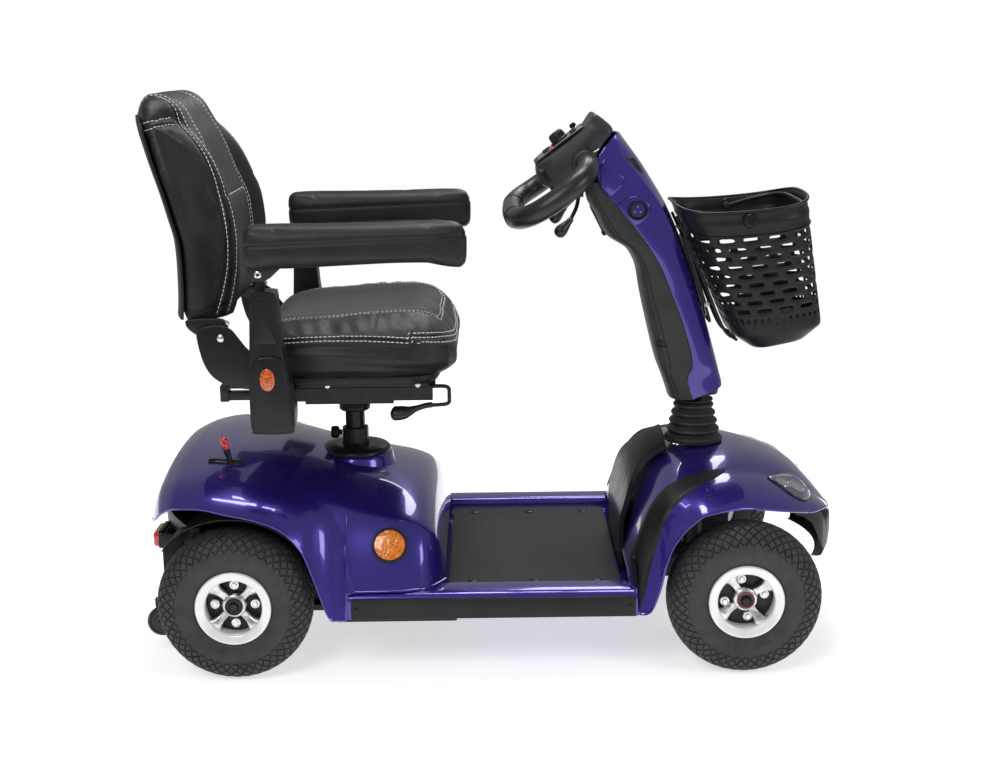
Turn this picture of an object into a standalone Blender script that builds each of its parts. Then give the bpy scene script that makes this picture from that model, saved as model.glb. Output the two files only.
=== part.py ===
"""Four-wheeled mobility scooter, built as an assembly of separate parts.

Every part is modelled in one drawing frame, in metres: X runs forward from the rear axle, Y to the
rider's left and Z up from the floor. An empty called "scooter" moves that frame so that the world
origin lies on the floor under the middle of the scooter. Each moving part hangs from an empty that
sits on its joint's axis.
"""

import math

import bmesh
import bpy
from mathutils import Matrix, Vector

# ---------------------------------------------------------------- driving dimensions
FRAME_SHIFT = -0.4385        # rear axle to the middle of the scooter
GAP = 0.0005                 # play between parts that touch
WELD = 0.000002
SIDES = (("right", -1), ("left", 1))

# Wheels
WHEELBASE = 0.850
TYRE_RADIUS = 0.130
TYRE_STEPS = 24
WHEEL_Y = 0.2505             # middle plane of each tyre
BEAD_RADIUS = 0.0632
RIM_RADIUS = 0.0617
RIM_INNER_RADIUS = 0.047
RIM_HALF_WIDTH = 0.031
RIM_FACE = 0.0345            # the rim's outer lip stands this far from the tyre's middle plane
HUB_RADIUS = 0.019
AXLE_RADIUS = 0.008
HUB_BORE = 0.0092
AXLE_END_Y = 0.2695

# Chassis
TRAY_BOTTOM = 0.088
TRAY_TOP = 0.098
SPINE_TOP = 0.124
SPINE_HALF_WIDTH = 0.045
SEAT_X = 0.185               # seat post
POST_RADIUS = 0.0175
SLEEVE_RADIUS = 0.0235
SLEEVE_BORE = 0.0188
SLEEVE_TOP = 0.365
ARM_Y = 0.147                # rear frame arms, middle
ANTI_TIP_X = -0.146
ANTI_TIP_Z = 0.062
ANTI_TIP_RADIUS = 0.026

# Steering
COLUMN_X = 0.795
KINGPIN_Y = 0.172
STEER_ARM = 0.055            # length of every steering arm, pointing back
LINK_BOTTOM = 0.1285
ROD_THICKNESS = 0.0055
TILT_Z = 0.425               # height of the tiller's tilt pivot

# Covers and deck
COVER_WALL = 0.0028
SILL_TOP = 0.153
SILL_BOTTOM = 0.1085
SILL_Y = 0.285
DECK_TOP = 0.1305
DECK_HALF_WIDTH = 0.2235
MAT_TOP = 0.138
DECK_REAR = 0.354
DECK_FRONT = 0.650

# Seat
RECLINE_X = -0.010
RECLINE_Z = 0.572
ARMREST_PIVOT_X = 0.066
ARMREST_PIVOT_Z = 0.685
ARMREST_Y = 0.265
ARM_BAR_X = 0.080
ARM_BAR_Z = 0.463
RAIL_Y = 0.100

# Cover stations: distance forward, top, crease half width, crease height, foot half width, foot height
SILL_FOOT = SILL_TOP + 0.0015
LEG_FOOT = SILL_BOTTOM
REAR_COVER = (
    (-0.1500, 0.2620, 0.1100, 0.2570, 0.1500, 0.2520),
    (-0.1460, 0.2900, 0.1400, 0.2780, 0.1850, 0.2540),
    (-0.1360, 0.3210, 0.1600, 0.3050, 0.2150, 0.2640),
    (-0.1180, 0.3430, 0.1780, 0.3240, 0.2430, 0.2830),
    (-0.0900, 0.3510, 0.1920, 0.3350, 0.2660, 0.2990),
    (-0.0500, 0.3520, 0.2000, 0.3390, 0.2800, 0.3020),
    (0.0000, 0.3500, 0.2010, 0.3330, 0.2860, 0.2930),
    (0.0450, 0.3465, 0.2020, 0.3236, 0.2870, 0.2830),
    (0.0840, 0.3410, 0.2030, 0.3140, 0.2870, 0.2660),
    (0.1170, 0.3350, 0.2035, 0.3034, 0.2870, 0.2300),
    (0.1370, 0.3300, 0.2040, 0.2980, 0.2870, 0.1770),
    (0.1540, 0.3250, 0.2050, 0.2937, 0.2870, 0.1250),
    (0.1640, 0.3220, 0.2060, 0.2909, 0.2860, LEG_FOOT),
    (0.1865, 0.3150, 0.2080, 0.2848, 0.2850, LEG_FOOT),
    (0.1875, 0.3148, 0.2080, 0.2846, 0.2840, SILL_FOOT),
    (0.2350, 0.3040, 0.2140, 0.2729, 0.2830, SILL_FOOT),
    (0.2800, 0.2920, 0.2200, 0.2625, 0.2800, SILL_FOOT),
    (0.3100, 0.2770, 0.2160, 0.2524, 0.2720, SILL_FOOT),
    (0.3300, 0.2530, 0.2050, 0.2360, 0.2550, SILL_FOOT),
    (0.3430, 0.2160, 0.1950, 0.2050, 0.2370, SILL_FOOT),
    (0.3500, 0.1800, 0.1880, 0.1740, 0.2240, SILL_FOOT),
)
FRONT_COVER = (
    (0.6580, 0.1700, 0.2000, 0.1680, 0.2620, SILL_FOOT),
    (0.6670, 0.2080, 0.2120, 0.2040, 0.2790, SILL_FOOT),
    (0.6695, 0.2160, 0.2130, 0.2110, 0.2810, 0.1110),
    (0.6800, 0.2460, 0.2140, 0.2390, 0.2840, 0.1110),
    (0.6900, 0.2680, 0.2120, 0.2590, 0.2850, 0.1150),
    (0.7060, 0.2940, 0.2080, 0.2810, 0.2850, 0.1530),
    (0.7160, 0.3060, 0.2050, 0.2910, 0.2840, 0.1970),
    (0.7280, 0.3160, 0.2000, 0.2990, 0.2820, 0.2280),
    (0.7500, 0.3250, 0.1900, 0.3060, 0.2790, 0.2560),
    (0.7840, 0.3320, 0.1720, 0.3120, 0.2740, 0.2790),
    (0.8360, 0.3340, 0.1500, 0.3150, 0.2580, 0.2830),
    (0.8800, 0.3280, 0.1350, 0.3090, 0.2430, 0.2770),
    (0.9200, 0.3170, 0.1250, 0.2980, 0.2250, 0.2680),
    (0.9550, 0.3020, 0.1150, 0.2840, 0.2000, 0.2585),
    (0.9770, 0.2880, 0.1050, 0.2720, 0.1800, 0.2515),
    (0.9950, 0.2720, 0.0950, 0.2590, 0.1580, 0.2490),
    (1.0120, 0.2540, 0.0820, 0.2450, 0.1300, 0.2450),
    (1.0240, 0.2400, 0.0700, 0.2350, 0.1000, 0.2300),
)
CROWN_POWER = 2.4            # how flat the top of a cover stays before its crease
SIDE_PULL = (0.66, 0.24)     # how the side leaves the crease: share of its width and of its height
COVER_SHARES = (0.0, 0.45, 0.75, 1.0, 1.25, 1.5, 1.75, 2.0)   # 0 middle, 1 crease, 2 foot

# Tiller levels: height, rear face, seam, front face, half width
TILLER = (
    (0.4180, 0.7480, 0.7920, 0.8400, 0.0480),
    (0.4400, 0.7410, 0.7890, 0.8430, 0.0500),
    (0.4800, 0.7260, 0.7820, 0.8330, 0.0510),
    (0.5550, 0.7070, 0.7650, 0.8120, 0.0520),
    (0.6100, 0.6950, 0.7470, 0.7955, 0.0530),
    (0.6500, 0.6880, 0.7290, 0.7825, 0.0550),
    (0.6850, 0.6700, 0.7100, 0.7705, 0.0570),
    (0.7100, 0.6340, 0.6910, 0.7615, 0.0580),
    (0.7500, 0.6130, 0.6590, 0.7440, 0.0590),
    (0.7700, 0.6020, 0.6430, 0.7340, 0.0590),
)
TILLER_HEAD = (
    (0.8000, 0.6220, 0.6220, 0.7160, 0.0590),
    (0.8340, 0.6130, 0.6130, 0.6945, 0.0585),
    (0.8620, 0.6270, 0.6270, 0.6740, 0.0570),
    (0.8850, 0.6460, 0.6460, 0.6570, 0.0520),
)

# Materials: colour, metallic, roughness
MATERIALS = {
    "blue_paint": ((0.055, 0.035, 0.42), 0.6, 0.22),
    "black_plastic": ((0.035, 0.036, 0.038), 0.0, 0.5),
    "grey_plastic": ((0.055, 0.056, 0.060), 0.0, 0.45),
    "steel_frame": ((0.030, 0.030, 0.032), 0.3, 0.4),
    "bright_steel": ((0.55, 0.55, 0.56), 1.0, 0.3),
    "tyre_rubber": ((0.030, 0.031, 0.033), 0.0, 0.8),
    "soft_rubber": ((0.020, 0.020, 0.021), 0.0, 0.7),
    "white_rim": ((0.80, 0.80, 0.82), 0.1, 0.3),
    "black_leather": ((0.030, 0.030, 0.032), 0.0, 0.5),
    "amber_lens": ((0.80, 0.25, 0.02), 0.0, 0.2),
    "red_lens": ((0.60, 0.02, 0.02), 0.0, 0.2),
    "clear_lens": ((0.75, 0.76, 0.78), 0.0, 0.1),
}


# ---------------------------------------------------------------- scene and small helpers
def clear_scene():
    for old in list(bpy.data.objects):
        bpy.data.objects.remove(old, do_unlink=True)


def new_collection(name):
    collection = bpy.data.collections.new(name)
    bpy.context.scene.collection.children.link(collection)
    return collection


def make_materials():
    made = {}
    for slot, (colour, metallic, roughness) in MATERIALS.items():
        material = bpy.data.materials.new(slot)
        material.use_nodes = True
        shader = material.node_tree.nodes["Principled BSDF"]
        shader.inputs["Base Color"].default_value = (*colour, 1.0)
        shader.inputs["Metallic"].default_value = metallic
        shader.inputs["Roughness"].default_value = roughness
        made[slot] = material
    return made


def mesh_object(name, bm):
    mesh = bpy.data.meshes.new(name)
    bm.to_mesh(mesh)
    bm.free()
    made = bpy.data.objects.new(name, mesh)
    PARTS.objects.link(made)
    return made


def face_outwards(bm):
    bmesh.ops.recalc_face_normals(bm, faces=bm.faces)
    if bm.calc_volume(signed=True) < 0:
        bmesh.ops.reverse_faces(bm, faces=bm.faces)


def baked(source, name=None):
    """The object as its modifiers or bevel make it, welded and with its faces pointing out."""
    depsgraph = bpy.context.evaluated_depsgraph_get()
    mesh = bpy.data.meshes.new_from_object(source.evaluated_get(depsgraph))
    bm = bmesh.new()
    bm.from_mesh(mesh)
    bm.transform(source.matrix_world)
    bmesh.ops.remove_doubles(bm, verts=bm.verts, dist=WELD)
    face_outwards(bm)
    name = name or source.name
    bpy.data.objects.remove(source, do_unlink=True)
    bpy.data.meshes.remove(mesh)
    return mesh_object(name, bm)


def combined(operation, target, tools):
    """The target with every tool joined to it or cut from it."""
    for index, tool in enumerate(tools):
        boolean = target.modifiers.new(f"{operation} {index}", "BOOLEAN")
        boolean.operation = operation
        boolean.object = tool
    result = baked(target)
    for tool in tools:
        bpy.data.objects.remove(tool, do_unlink=True)
    return result


def joined(name, *pieces):
    result = combined("UNION", pieces[0], pieces[1:])
    result.name = name
    return result


def cut(target, *tools):
    return combined("DIFFERENCE", target, tools)


def soften(target, width, segments=1, angle=40):
    """Rounds the edges of a solid."""
    bevel = target.modifiers.new("round edges", "BEVEL")
    bevel.width = width
    bevel.segments = segments
    bevel.limit_method = "ANGLE"
    bevel.angle_limit = math.radians(angle)
    return baked(target)


# ---------------------------------------------------------------- shapes
def block(name, low, high):
    low = Vector(low)
    high = Vector(high)
    size = high - low
    bm = bmesh.new()
    bmesh.ops.create_cube(bm, size=1.0, matrix=Matrix.Translation((low + high) / 2) @ Matrix.Diagonal((*size, 1)))
    return mesh_object(name, bm)


def side_block(name, side, x, y, z):
    """A block on one side of the scooter, with x, y and z as (low, high) and y counted outwards."""
    y_low, y_high = sorted((side * y[0], side * y[1]))
    return block(name, (x[0], y_low, z[0]), (x[1], y_high, z[1]))


def rod(name, start, end, radius, sides=16, end_radius=None):
    start = Vector(start)
    end = Vector(end)
    turn = (end - start).to_track_quat("Z", "Y").to_matrix().to_4x4()
    bm = bmesh.new()
    bmesh.ops.create_cone(
        bm,
        cap_ends=True,
        segments=sides,
        radius1=radius,
        radius2=radius if end_radius is None else end_radius,
        depth=(end - start).length,
        matrix=Matrix.Translation((start + end) / 2) @ turn,
    )
    return mesh_object(name, bm)


def ball(name, centre, radii, segments=14, rings=8):
    bm = bmesh.new()
    bmesh.ops.create_uvsphere(
        bm,
        u_segments=segments,
        v_segments=rings,
        radius=1.0,
        matrix=Matrix.Translation(centre) @ Matrix.Diagonal((*radii, 1)),
    )
    return mesh_object(name, bm)


def turned(name, profile, centre, axis, steps, closed=True, phase=0.0):
    """A profile of (radius, height) points turned about an axis through the centre."""
    mesh = bpy.data.meshes.new(name)
    edges = [(i, i + 1) for i in range(len(profile) - 1)]
    if closed:
        edges.append((len(profile) - 1, 0))
    mesh.from_pydata([(radius, 0.0, height) for radius, height in profile], edges, [])
    made = bpy.data.objects.new(name, mesh)
    PARTS.objects.link(made)
    screw = made.modifiers.new("turn", "SCREW")
    screw.steps = steps
    screw.render_steps = steps
    screw.use_merge_vertices = True
    screw.merge_threshold = 0.00001
    turn = Vector(axis).to_track_quat("Z", "Y").to_matrix().to_4x4()
    made.matrix_world = Matrix.Translation(centre) @ turn @ Matrix.Rotation(phase, 4, "Z")
    bpy.context.view_layer.update()
    return baked(made)


def plate(name, outline, low, high, axis="Y"):
    """A flat outline given a thickness: (x, z) points along Y, (y, z) along X or (x, y) along Z."""
    curve = bpy.data.curves.new(name, "CURVE")
    curve.dimensions = "2D"
    curve.fill_mode = "BOTH"
    curve.extrude = (high - low) / 2
    spline = curve.splines.new("POLY")
    spline.points.add(len(outline) - 1)
    for point, (u, v) in zip(spline.points, outline):
        point.co = (u, v, 0.0, 1.0)
    spline.use_cyclic_u = True
    made = bpy.data.objects.new(name, curve)
    PARTS.objects.link(made)
    middle = (low + high) / 2
    if axis == "Y":
        made.matrix_world = Matrix.Translation((0, middle, 0)) @ Matrix.Rotation(math.pi / 2, 4, "X")
    elif axis == "X":
        across = Matrix(((0, 0, 1, 0), (1, 0, 0, 0), (0, 1, 0, 0), (0, 0, 0, 1)))
        made.matrix_world = Matrix.Translation((middle, 0, 0)) @ across
    else:
        made.matrix_world = Matrix.Translation((0, 0, middle))
    bpy.context.view_layer.update()
    return baked(made)


def tube(name, points, radius, smooth=False, bevel_resolution=1, resolution=3):
    """A bent round bar through the points, straight between them or smooth."""
    curve = bpy.data.curves.new(name, "CURVE")
    curve.dimensions = "3D"
    curve.bevel_depth = radius
    curve.bevel_resolution = bevel_resolution
    curve.use_fill_caps = True
    curve.resolution_u = resolution
    if smooth:
        spline = curve.splines.new("BEZIER")
        spline.bezier_points.add(len(points) - 1)
        for point, place in zip(spline.bezier_points, points):
            point.co = place
            point.handle_left_type = "AUTO"
            point.handle_right_type = "AUTO"
    else:
        spline = curve.splines.new("POLY")
        spline.points.add(len(points) - 1)
        for point, place in zip(spline.points, points):
            point.co = (*place, 1.0)
    made = bpy.data.objects.new(name, curve)
    PARTS.objects.link(made)
    return baked(made)


def grid_mesh(name, rows, closed_rows=False, cap_first=False, cap_last=False):
    """A surface through rows of points. Closed rows are rings, which caps can close."""
    bm = bmesh.new()
    made_rows = [[bm.verts.new(point) for point in row] for row in rows]
    count = len(rows[0])
    last = count if closed_rows else count - 1
    for lower, upper in zip(made_rows, made_rows[1:]):
        for i in range(last):
            j = (i + 1) % count
            bm.faces.new((lower[i], lower[j], upper[j], upper[i]))
    if cap_first:
        bm.faces.new(made_rows[0])
    if cap_last:
        bm.faces.new(made_rows[-1])
    face_outwards(bm)
    return mesh_object(name, bm)


def shell(name, rows, wall, towards, **options):
    """An open surface thickened on the side of the point it faces."""
    made = grid_mesh(name, rows, **options)
    face = made.data.polygons[len(made.data.polygons) // 2]
    inward = face.normal.dot(Vector(towards) - face.center) > 0
    solidify = made.modifiers.new("wall", "SOLIDIFY")
    solidify.thickness = wall
    solidify.offset = 1.0 if inward else -1.0
    return baked(made)


def eased(value, power):
    """A signed power, which squares off a circle's corners."""
    return math.copysign(abs(value) ** power, value)


def ring_point(angle, half_x, half_y, squareness):
    """A point of a rounded rectangle in plan, about its middle."""
    power = 2 / squareness
    return half_x * eased(math.cos(angle), power), half_y * eased(math.sin(angle), power)


# ---------------------------------------------------------------- cover surfaces
def cover_section(station, share, lift=0.0):
    """A point of a cover's section, on the left for positive shares."""
    x, top, crease_y, crease_z, foot_y, foot_z = station
    reach = abs(share)
    if reach <= 1:
        y, z = crease_y * reach, top - (top - crease_z) * reach ** CROWN_POWER
    else:
        t = reach - 1
        pull_y = crease_y + SIDE_PULL[0] * (foot_y - crease_y)
        pull_z = crease_z - SIDE_PULL[1] * (crease_z - foot_z)
        y = (1 - t) ** 2 * crease_y + 2 * t * (1 - t) * pull_y + t * t * foot_y
        z = (1 - t) ** 2 * crease_z + 2 * t * (1 - t) * pull_z + t * t * foot_z
    return Vector((x, math.copysign(y, share), z + lift))


def cover_rows(stations):
    shares = [-share for share in COVER_SHARES[:0:-1]] + list(COVER_SHARES)
    return [[cover_section(station, share) for share in shares] for station in stations]


def cover_shell(name, stations):
    middle = stations[len(stations) // 2]
    return shell(name, cover_rows(stations), COVER_WALL, (middle[0], 0.0, middle[5] - 0.1))


def cover_patch(name, stations, side, first, last, steps, lift, thickness):
    """A raised patch on a cover: it covers some stations and some of the section's facets."""
    chosen = stations[first:last + 1]
    shares = [side * share for share in COVER_SHARES[steps[0]:steps[1] + 1]]
    lower = [[cover_section(station, share, lift) for share in shares] for station in chosen]
    upper = [[cover_section(station, share, lift + thickness) for share in shares] for station in chosen]
    rings = [low + high[::-1] for low, high in zip(lower, upper)]
    return grid_mesh(name, rings, closed_rows=True, cap_first=True, cap_last=True)


# ---------------------------------------------------------------- wheels
def make_tyre(name, x, side):
    half = ((0.130, 0.020), (0.1255, 0.033), (0.112, 0.0400), (0.088, 0.0395))
    stretch = 1 / math.cos(math.pi / TYRE_STEPS)
    outer = [(radius * stretch, height) for radius, height in half]
    bead = [(BEAD_RADIUS * stretch, 0.0300)]
    upper = outer + bead
    profile = upper + [(radius, -height) for radius, height in reversed(upper)]
    centre = (x, side * WHEEL_Y, TYRE_RADIUS)
    return turned(name, profile, centre, (0, 1, 0), TYRE_STEPS, phase=math.pi / TYRE_STEPS)


def make_rim(name, x, side, spoke_turn):
    """A ring with a hub and four flat spokes set back from its face."""
    centre = Vector((x, side * WHEEL_Y, TYRE_RADIUS))
    out = Vector((0, side, 0))
    ring = turned(
        name,
        ((RIM_RADIUS, RIM_FACE), (RIM_RADIUS, -RIM_HALF_WIDTH), (RIM_INNER_RADIUS + 0.006, -RIM_HALF_WIDTH),
         (RIM_INNER_RADIUS, RIM_FACE)),
        centre, out, 20)
    hub = rod("hub", centre - out * 0.029, centre + out * 0.020, HUB_RADIUS, 12)
    spokes = []
    for index in range(4):
        angle = spoke_turn + index * math.pi / 2
        turn = Matrix.Translation(centre) @ Matrix.Rotation(angle, 4, "Y")
        spoke = block("spoke", (HUB_RADIUS - 0.006, 0.006, -0.007), (RIM_INNER_RADIUS + 0.006, 0.018, 0.007))
        flip = Matrix.Diagonal((1, side, 1, 1))
        spoke.data.transform(turn @ flip)
        spokes.append(baked(spoke))
    wheel = joined(name, ring, hub, *spokes)
    bore = rod("bore", centre - out * 0.05, centre + out * 0.05, HUB_BORE, 12)
    return cut(wheel, bore)


# ---------------------------------------------------------------- chassis
def make_main_frame():
    pieces = [
        block("tray", (0.062, -0.190, TRAY_BOTTOM), (0.345, 0.190, TRAY_TOP)),
        block("spine", (0.335, -SPINE_HALF_WIDTH, TRAY_BOTTOM), (0.870, SPINE_HALF_WIDTH, SPINE_TOP)),
        rod("post sleeve", (SEAT_X, 0, TRAY_TOP - 0.004), (SEAT_X, 0, SLEEVE_TOP), SLEEVE_RADIUS, 16),
        block("front beam", (0.837, -0.162, 0.115), (0.863, 0.162, 0.145)),
        rod("head tube", (COLUMN_X, 0, 0.150), (COLUMN_X, 0, 0.300), 0.024, 16),
        block("head bracket", (0.8130, -0.014, SPINE_TOP - 0.004), (0.861, 0.014, 0.292)),
    ]
    for _, side in SIDES:
        pieces += [
            side_block("rear arm", side, (-0.160, 0.075), (0.142, 0.152), (0.086, TRAY_TOP - 0.0005)),
            side_block("axle seat", side, (-0.012, 0.012), (0.1425, 0.1515), (0.096, 0.1125)),
            side_block("drop plate", side, (-0.1595, -0.132), (0.1425, 0.1515), (0.050, 0.090)),
            rod("caster pin", (ANTI_TIP_X, side * 0.150, ANTI_TIP_Z), (ANTI_TIP_X, side * 0.1745, ANTI_TIP_Z), 0.004, 10),
            rod("kingpin sleeve", (WHEELBASE, side * KINGPIN_Y, 0.106), (WHEELBASE, side * KINGPIN_Y, 0.154), 0.0135, 12),
        ]
    frame = joined("main_frame", *pieces)
    bores = [
        rod("post bore", (SEAT_X, 0, 0.05), (SEAT_X, 0, 0.5), SLEEVE_BORE + 0.0002, 16),
        rod("head bore", (COLUMN_X, 0, 0.146), (COLUMN_X, 0, 0.32), 0.0170, 16),
    ]
    for _, side in SIDES:
        bores.append(rod("kingpin bore", (WHEELBASE, side * KINGPIN_Y, 0.08), (WHEELBASE, side * KINGPIN_Y, 0.18), 0.0075, 12))
    return cut(frame, *bores)


def make_transaxle():
    """Gearbox, axle tubes and half shafts, with the motor and its brake behind."""
    gearbox = soften(block("gearbox", (-0.055, -0.055, 0.080), (0.055, 0.055, 0.182)), 0.010)
    tubes = rod("axle tube", (0, -0.160, TYRE_RADIUS), (0, 0.160, TYRE_RADIUS), 0.017, 12)
    shafts = rod("half shafts", (0, -AXLE_END_Y, TYRE_RADIUS), (0, AXLE_END_Y, TYRE_RADIUS), AXLE_RADIUS, 12)
    motor = rod("motor", (-0.050, 0, 0.140), (-0.118, 0, 0.140), 0.040, 16)
    brake = rod("brake", (-0.115, 0, 0.140), (-0.134, 0, 0.140), 0.028, 12)
    return joined("transaxle", gearbox, tubes, shafts, motor, brake)


def make_battery_pack():
    """Two sealed batteries, one on each side of the seat post, held together by a strap."""
    pieces = [block("strap", (0.222, -0.120, 0.245), (0.246, 0.120, 0.249))]
    for _, side in SIDES:
        case = side_block("case", side, (0.088, 0.286), (0.036, 0.172), (TRAY_TOP + GAP, 0.246))
        pieces.append(soften(case, 0.004))
        for x in (0.100, 0.256):
            pieces.append(side_block("terminal", side, (x, x + 0.018), (0.060, 0.078), (0.244, 0.252)))
    return joined("battery_pack", *pieces)


def make_controller():
    """The motor controller with its cooling fins, in front of the batteries."""
    case = block("case", (0.294, -0.070, TRAY_TOP + GAP), (0.326, 0.070, 0.200))
    fins = [
        block("fin", (0.325, y - 0.003, 0.104), (0.334, y + 0.003, 0.196))
        for y in (-0.054, -0.027, 0.0, 0.027, 0.054)
    ]
    return joined("controller", case, *fins)


def make_rear_cover():
    """Seat box with wheel arches, a boss for the seat post and a slot for the freewheel lever."""
    cover = cover_shell("rear_cover", REAR_COVER)
    boss = turned(
        "boss",
        ((0.0300, 0.334), (0.0600, 0.334), (0.0680, 0.318), (0.0680, 0.288), (0.0300, 0.288)),
        (SEAT_X, 0, 0), (0, 0, 1), 24)
    cover = joined("rear_cover", cover, boss)
    hole = rod("post hole", (SEAT_X, 0, 0.25), (SEAT_X, 0, 0.40), 0.030, 24)
    slot = block("lever slot", (-0.052, -0.158, 0.33), (0.004, -0.142, 0.40))
    return cut(cover, hole, slot)


def plan_arc(front_x, end_x, half_width, inset, count=9):
    """A shallow curve in plan across the scooter, from right to left."""
    points = []
    for i in range(count):
        share = 2 * i / (count - 1) - 1
        points.append((front_x - inset + (end_x - front_x) * share ** 2, share * (half_width - abs(inset) * 0.3)))
    return points


def make_rear_bumper():
    """Trim under the rear cover, with the carrier of the tail lights."""
    outer = plan_arc(-0.152, -0.112, 0.205, 0.0)
    inner = plan_arc(-0.152, -0.112, 0.205, -0.014)
    strip = plate("strip", outer + inner[::-1], 0.226, 0.2485, axis="Z")
    carrier = soften(block("carrier", (-0.134, -0.185, 0.198), (-0.098, 0.185, 0.230)), 0.005)
    return joined("rear_bumper", strip, carrier)


def make_tail_light(name, side):
    light = side_block(name, side, (-0.150, -0.1345), (0.118, 0.178), (0.203, 0.2255))
    return soften(light, 0.004)


def make_floor_pan():
    """Deck plate between two hollow sills."""
    wall = 0.004
    deck_edge = DECK_HALF_WIDTH + wall / 2
    deck = block("deck", (0.340, -deck_edge, DECK_TOP - wall + 0.0002), (0.6635, deck_edge, DECK_TOP))
    sills = []
    for _, side in SIDES:
        outline = [
            (side * SILL_Y, SILL_BOTTOM), (side * SILL_Y, SILL_TOP), (side * DECK_HALF_WIDTH, SILL_TOP),
            (side * DECK_HALF_WIDTH, DECK_TOP - wall), (side * (DECK_HALF_WIDTH + wall), DECK_TOP - wall),
            (side * (DECK_HALF_WIDTH + wall), SILL_TOP - wall), (side * (SILL_Y - wall), SILL_TOP - wall),
            (side * (SILL_Y - wall), SILL_BOTTOM),
        ]
        sills.append(plate("sill", outline, 0.190, 0.664, axis="X"))
    return joined("floor_pan", deck, *sills)


def rounded_rectangle(low, high, radius, count=4):
    """A rectangle with round corners, as points in plan."""
    points = []
    corners = ((high[0], high[1], 0), (low[0], high[1], 90), (low[0], low[1], 180), (high[0], low[1], 270))
    for x, y, start in corners:
        centre_x = x - radius if x == high[0] else x + radius
        centre_y = y - radius if y == high[1] else y + radius
        for i in range(count + 1):
            angle = math.radians(start + 90 * i / count)
            points.append((centre_x + radius * math.cos(angle), centre_y + radius * math.sin(angle)))
    return points


def make_floor_mat():
    outline = rounded_rectangle((DECK_REAR, -0.2216), (DECK_FRONT, 0.2216), 0.020)
    return plate("floor_mat", outline, DECK_TOP + GAP, MAT_TOP, axis="Z")


def make_front_cover():
    cover = cover_shell("front_cover", FRONT_COVER)
    hole = rod("column hole", (COLUMN_X, 0, 0.28), (COLUMN_X, 0, 0.40), 0.030, 24)
    return cut(cover, hole)


def make_knee_panel():
    """Black panel that rises from the deck to the back of the steering column."""
    outer = [
        (0.6525, 0.1395), (0.6515, 0.215), (0.6585, 0.250), (0.6700, 0.287),
        (0.6870, 0.320), (0.7110, 0.345), (0.7370, 0.358),
    ]
    rows = []
    for x, z in outer:
        row = []
        for i in range(-3, 4):
            share = i / 3
            row.append((x + 0.0015 * share ** 2, 0.125 * share, z - 0.004 * share ** 2))
        rows.append(row)
    return shell("knee_panel", rows, 0.0035, (0.80, 0.0, 0.15))


def make_front_bumper():
    outer = plan_arc(1.049, 1.030, 0.150, 0.0)
    inner = plan_arc(1.049, 1.030, 0.150, 0.012)
    lower = plate("lower", outer + inner[::-1], 0.112, 0.2185, axis="Z")
    wide_outer = plan_arc(1.0488, 1.0200, 0.183, 0.0)
    wide_inner = plan_arc(1.0488, 1.0200, 0.183, 0.0105)
    upper = plate("upper", wide_outer + wide_inner[::-1], 0.196, 0.2187, axis="Z")
    return joined("front_bumper", lower, upper)


def make_indicator(name, side):
    """Round lamp on the side of the seat box, set square to the surface."""
    centre = Vector((0.2593, side * 0.2564, 0.2267))
    out = Vector((0, side * 0.869, 0.494)).normalized()
    return rod(name, centre, centre + out * 0.0085, 0.027, 24, end_radius=0.024)


def make_freewheel_lever():
    base = (-0.015, -0.150, 0.328)
    stick = tube("stick", (base, (-0.018, -0.150, 0.352), (-0.025, -0.150, 0.374)), 0.0045)
    tip = ball("tip", (-0.0262, -0.150, 0.382), (0.006, 0.006, 0.010), 10, 6)
    return joined("freewheel_lever", stick, tip)


def make_anti_tip_wheel(name, side):
    centre = (ANTI_TIP_X, side * 0.1635, ANTI_TIP_Z)
    profile = (
        (0.0050, 0.0090), (0.0210, 0.0090), (ANTI_TIP_RADIUS, 0.0055),
        (ANTI_TIP_RADIUS, -0.0055), (0.0210, -0.0090), (0.0050, -0.0090),
    )
    return turned(name, profile, centre, (0, 1, 0), 16)


# ---------------------------------------------------------------- steering
def make_knuckle(name, side):
    """Kingpin, fork, stub axle and steering arm of one front wheel."""
    x = WHEELBASE
    pin_y = side * KINGPIN_Y
    arm_x = x - STEER_ARM
    pieces = [
        side_block(name, side, (x - 0.014, x + 0.014), (0.189, 0.196), (0.0975, 0.1625)),
        side_block("top plate", side, (x - 0.014, x + 0.014), (0.160, 0.192), (0.1575, 0.1625)),
        side_block("bottom plate", side, (x - 0.014, x + 0.014), (0.160, 0.192), (0.0975, 0.1025)),
        rod("kingpin", (x, pin_y, 0.100), (x, pin_y, 0.160), 0.006, 12),
        rod("stub axle", (x, side * 0.192, TYRE_RADIUS), (x, side * AXLE_END_Y, TYRE_RADIUS), AXLE_RADIUS, 12),
        side_block("arm", side, (arm_x - 0.009, x), (0.1895, 0.1955), (LINK_BOTTOM, LINK_BOTTOM + 0.006)),
        side_block("arm end", side, (arm_x - 0.009, arm_x + 0.009), (0.163, 0.192), (LINK_BOTTOM, LINK_BOTTOM + 0.006)),
        rod("arm pin", (arm_x, pin_y, LINK_BOTTOM + 0.003), (arm_x, pin_y, LINK_BOTTOM + 0.020), 0.004, 10),
    ]
    return joined(name, *pieces)


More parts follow.
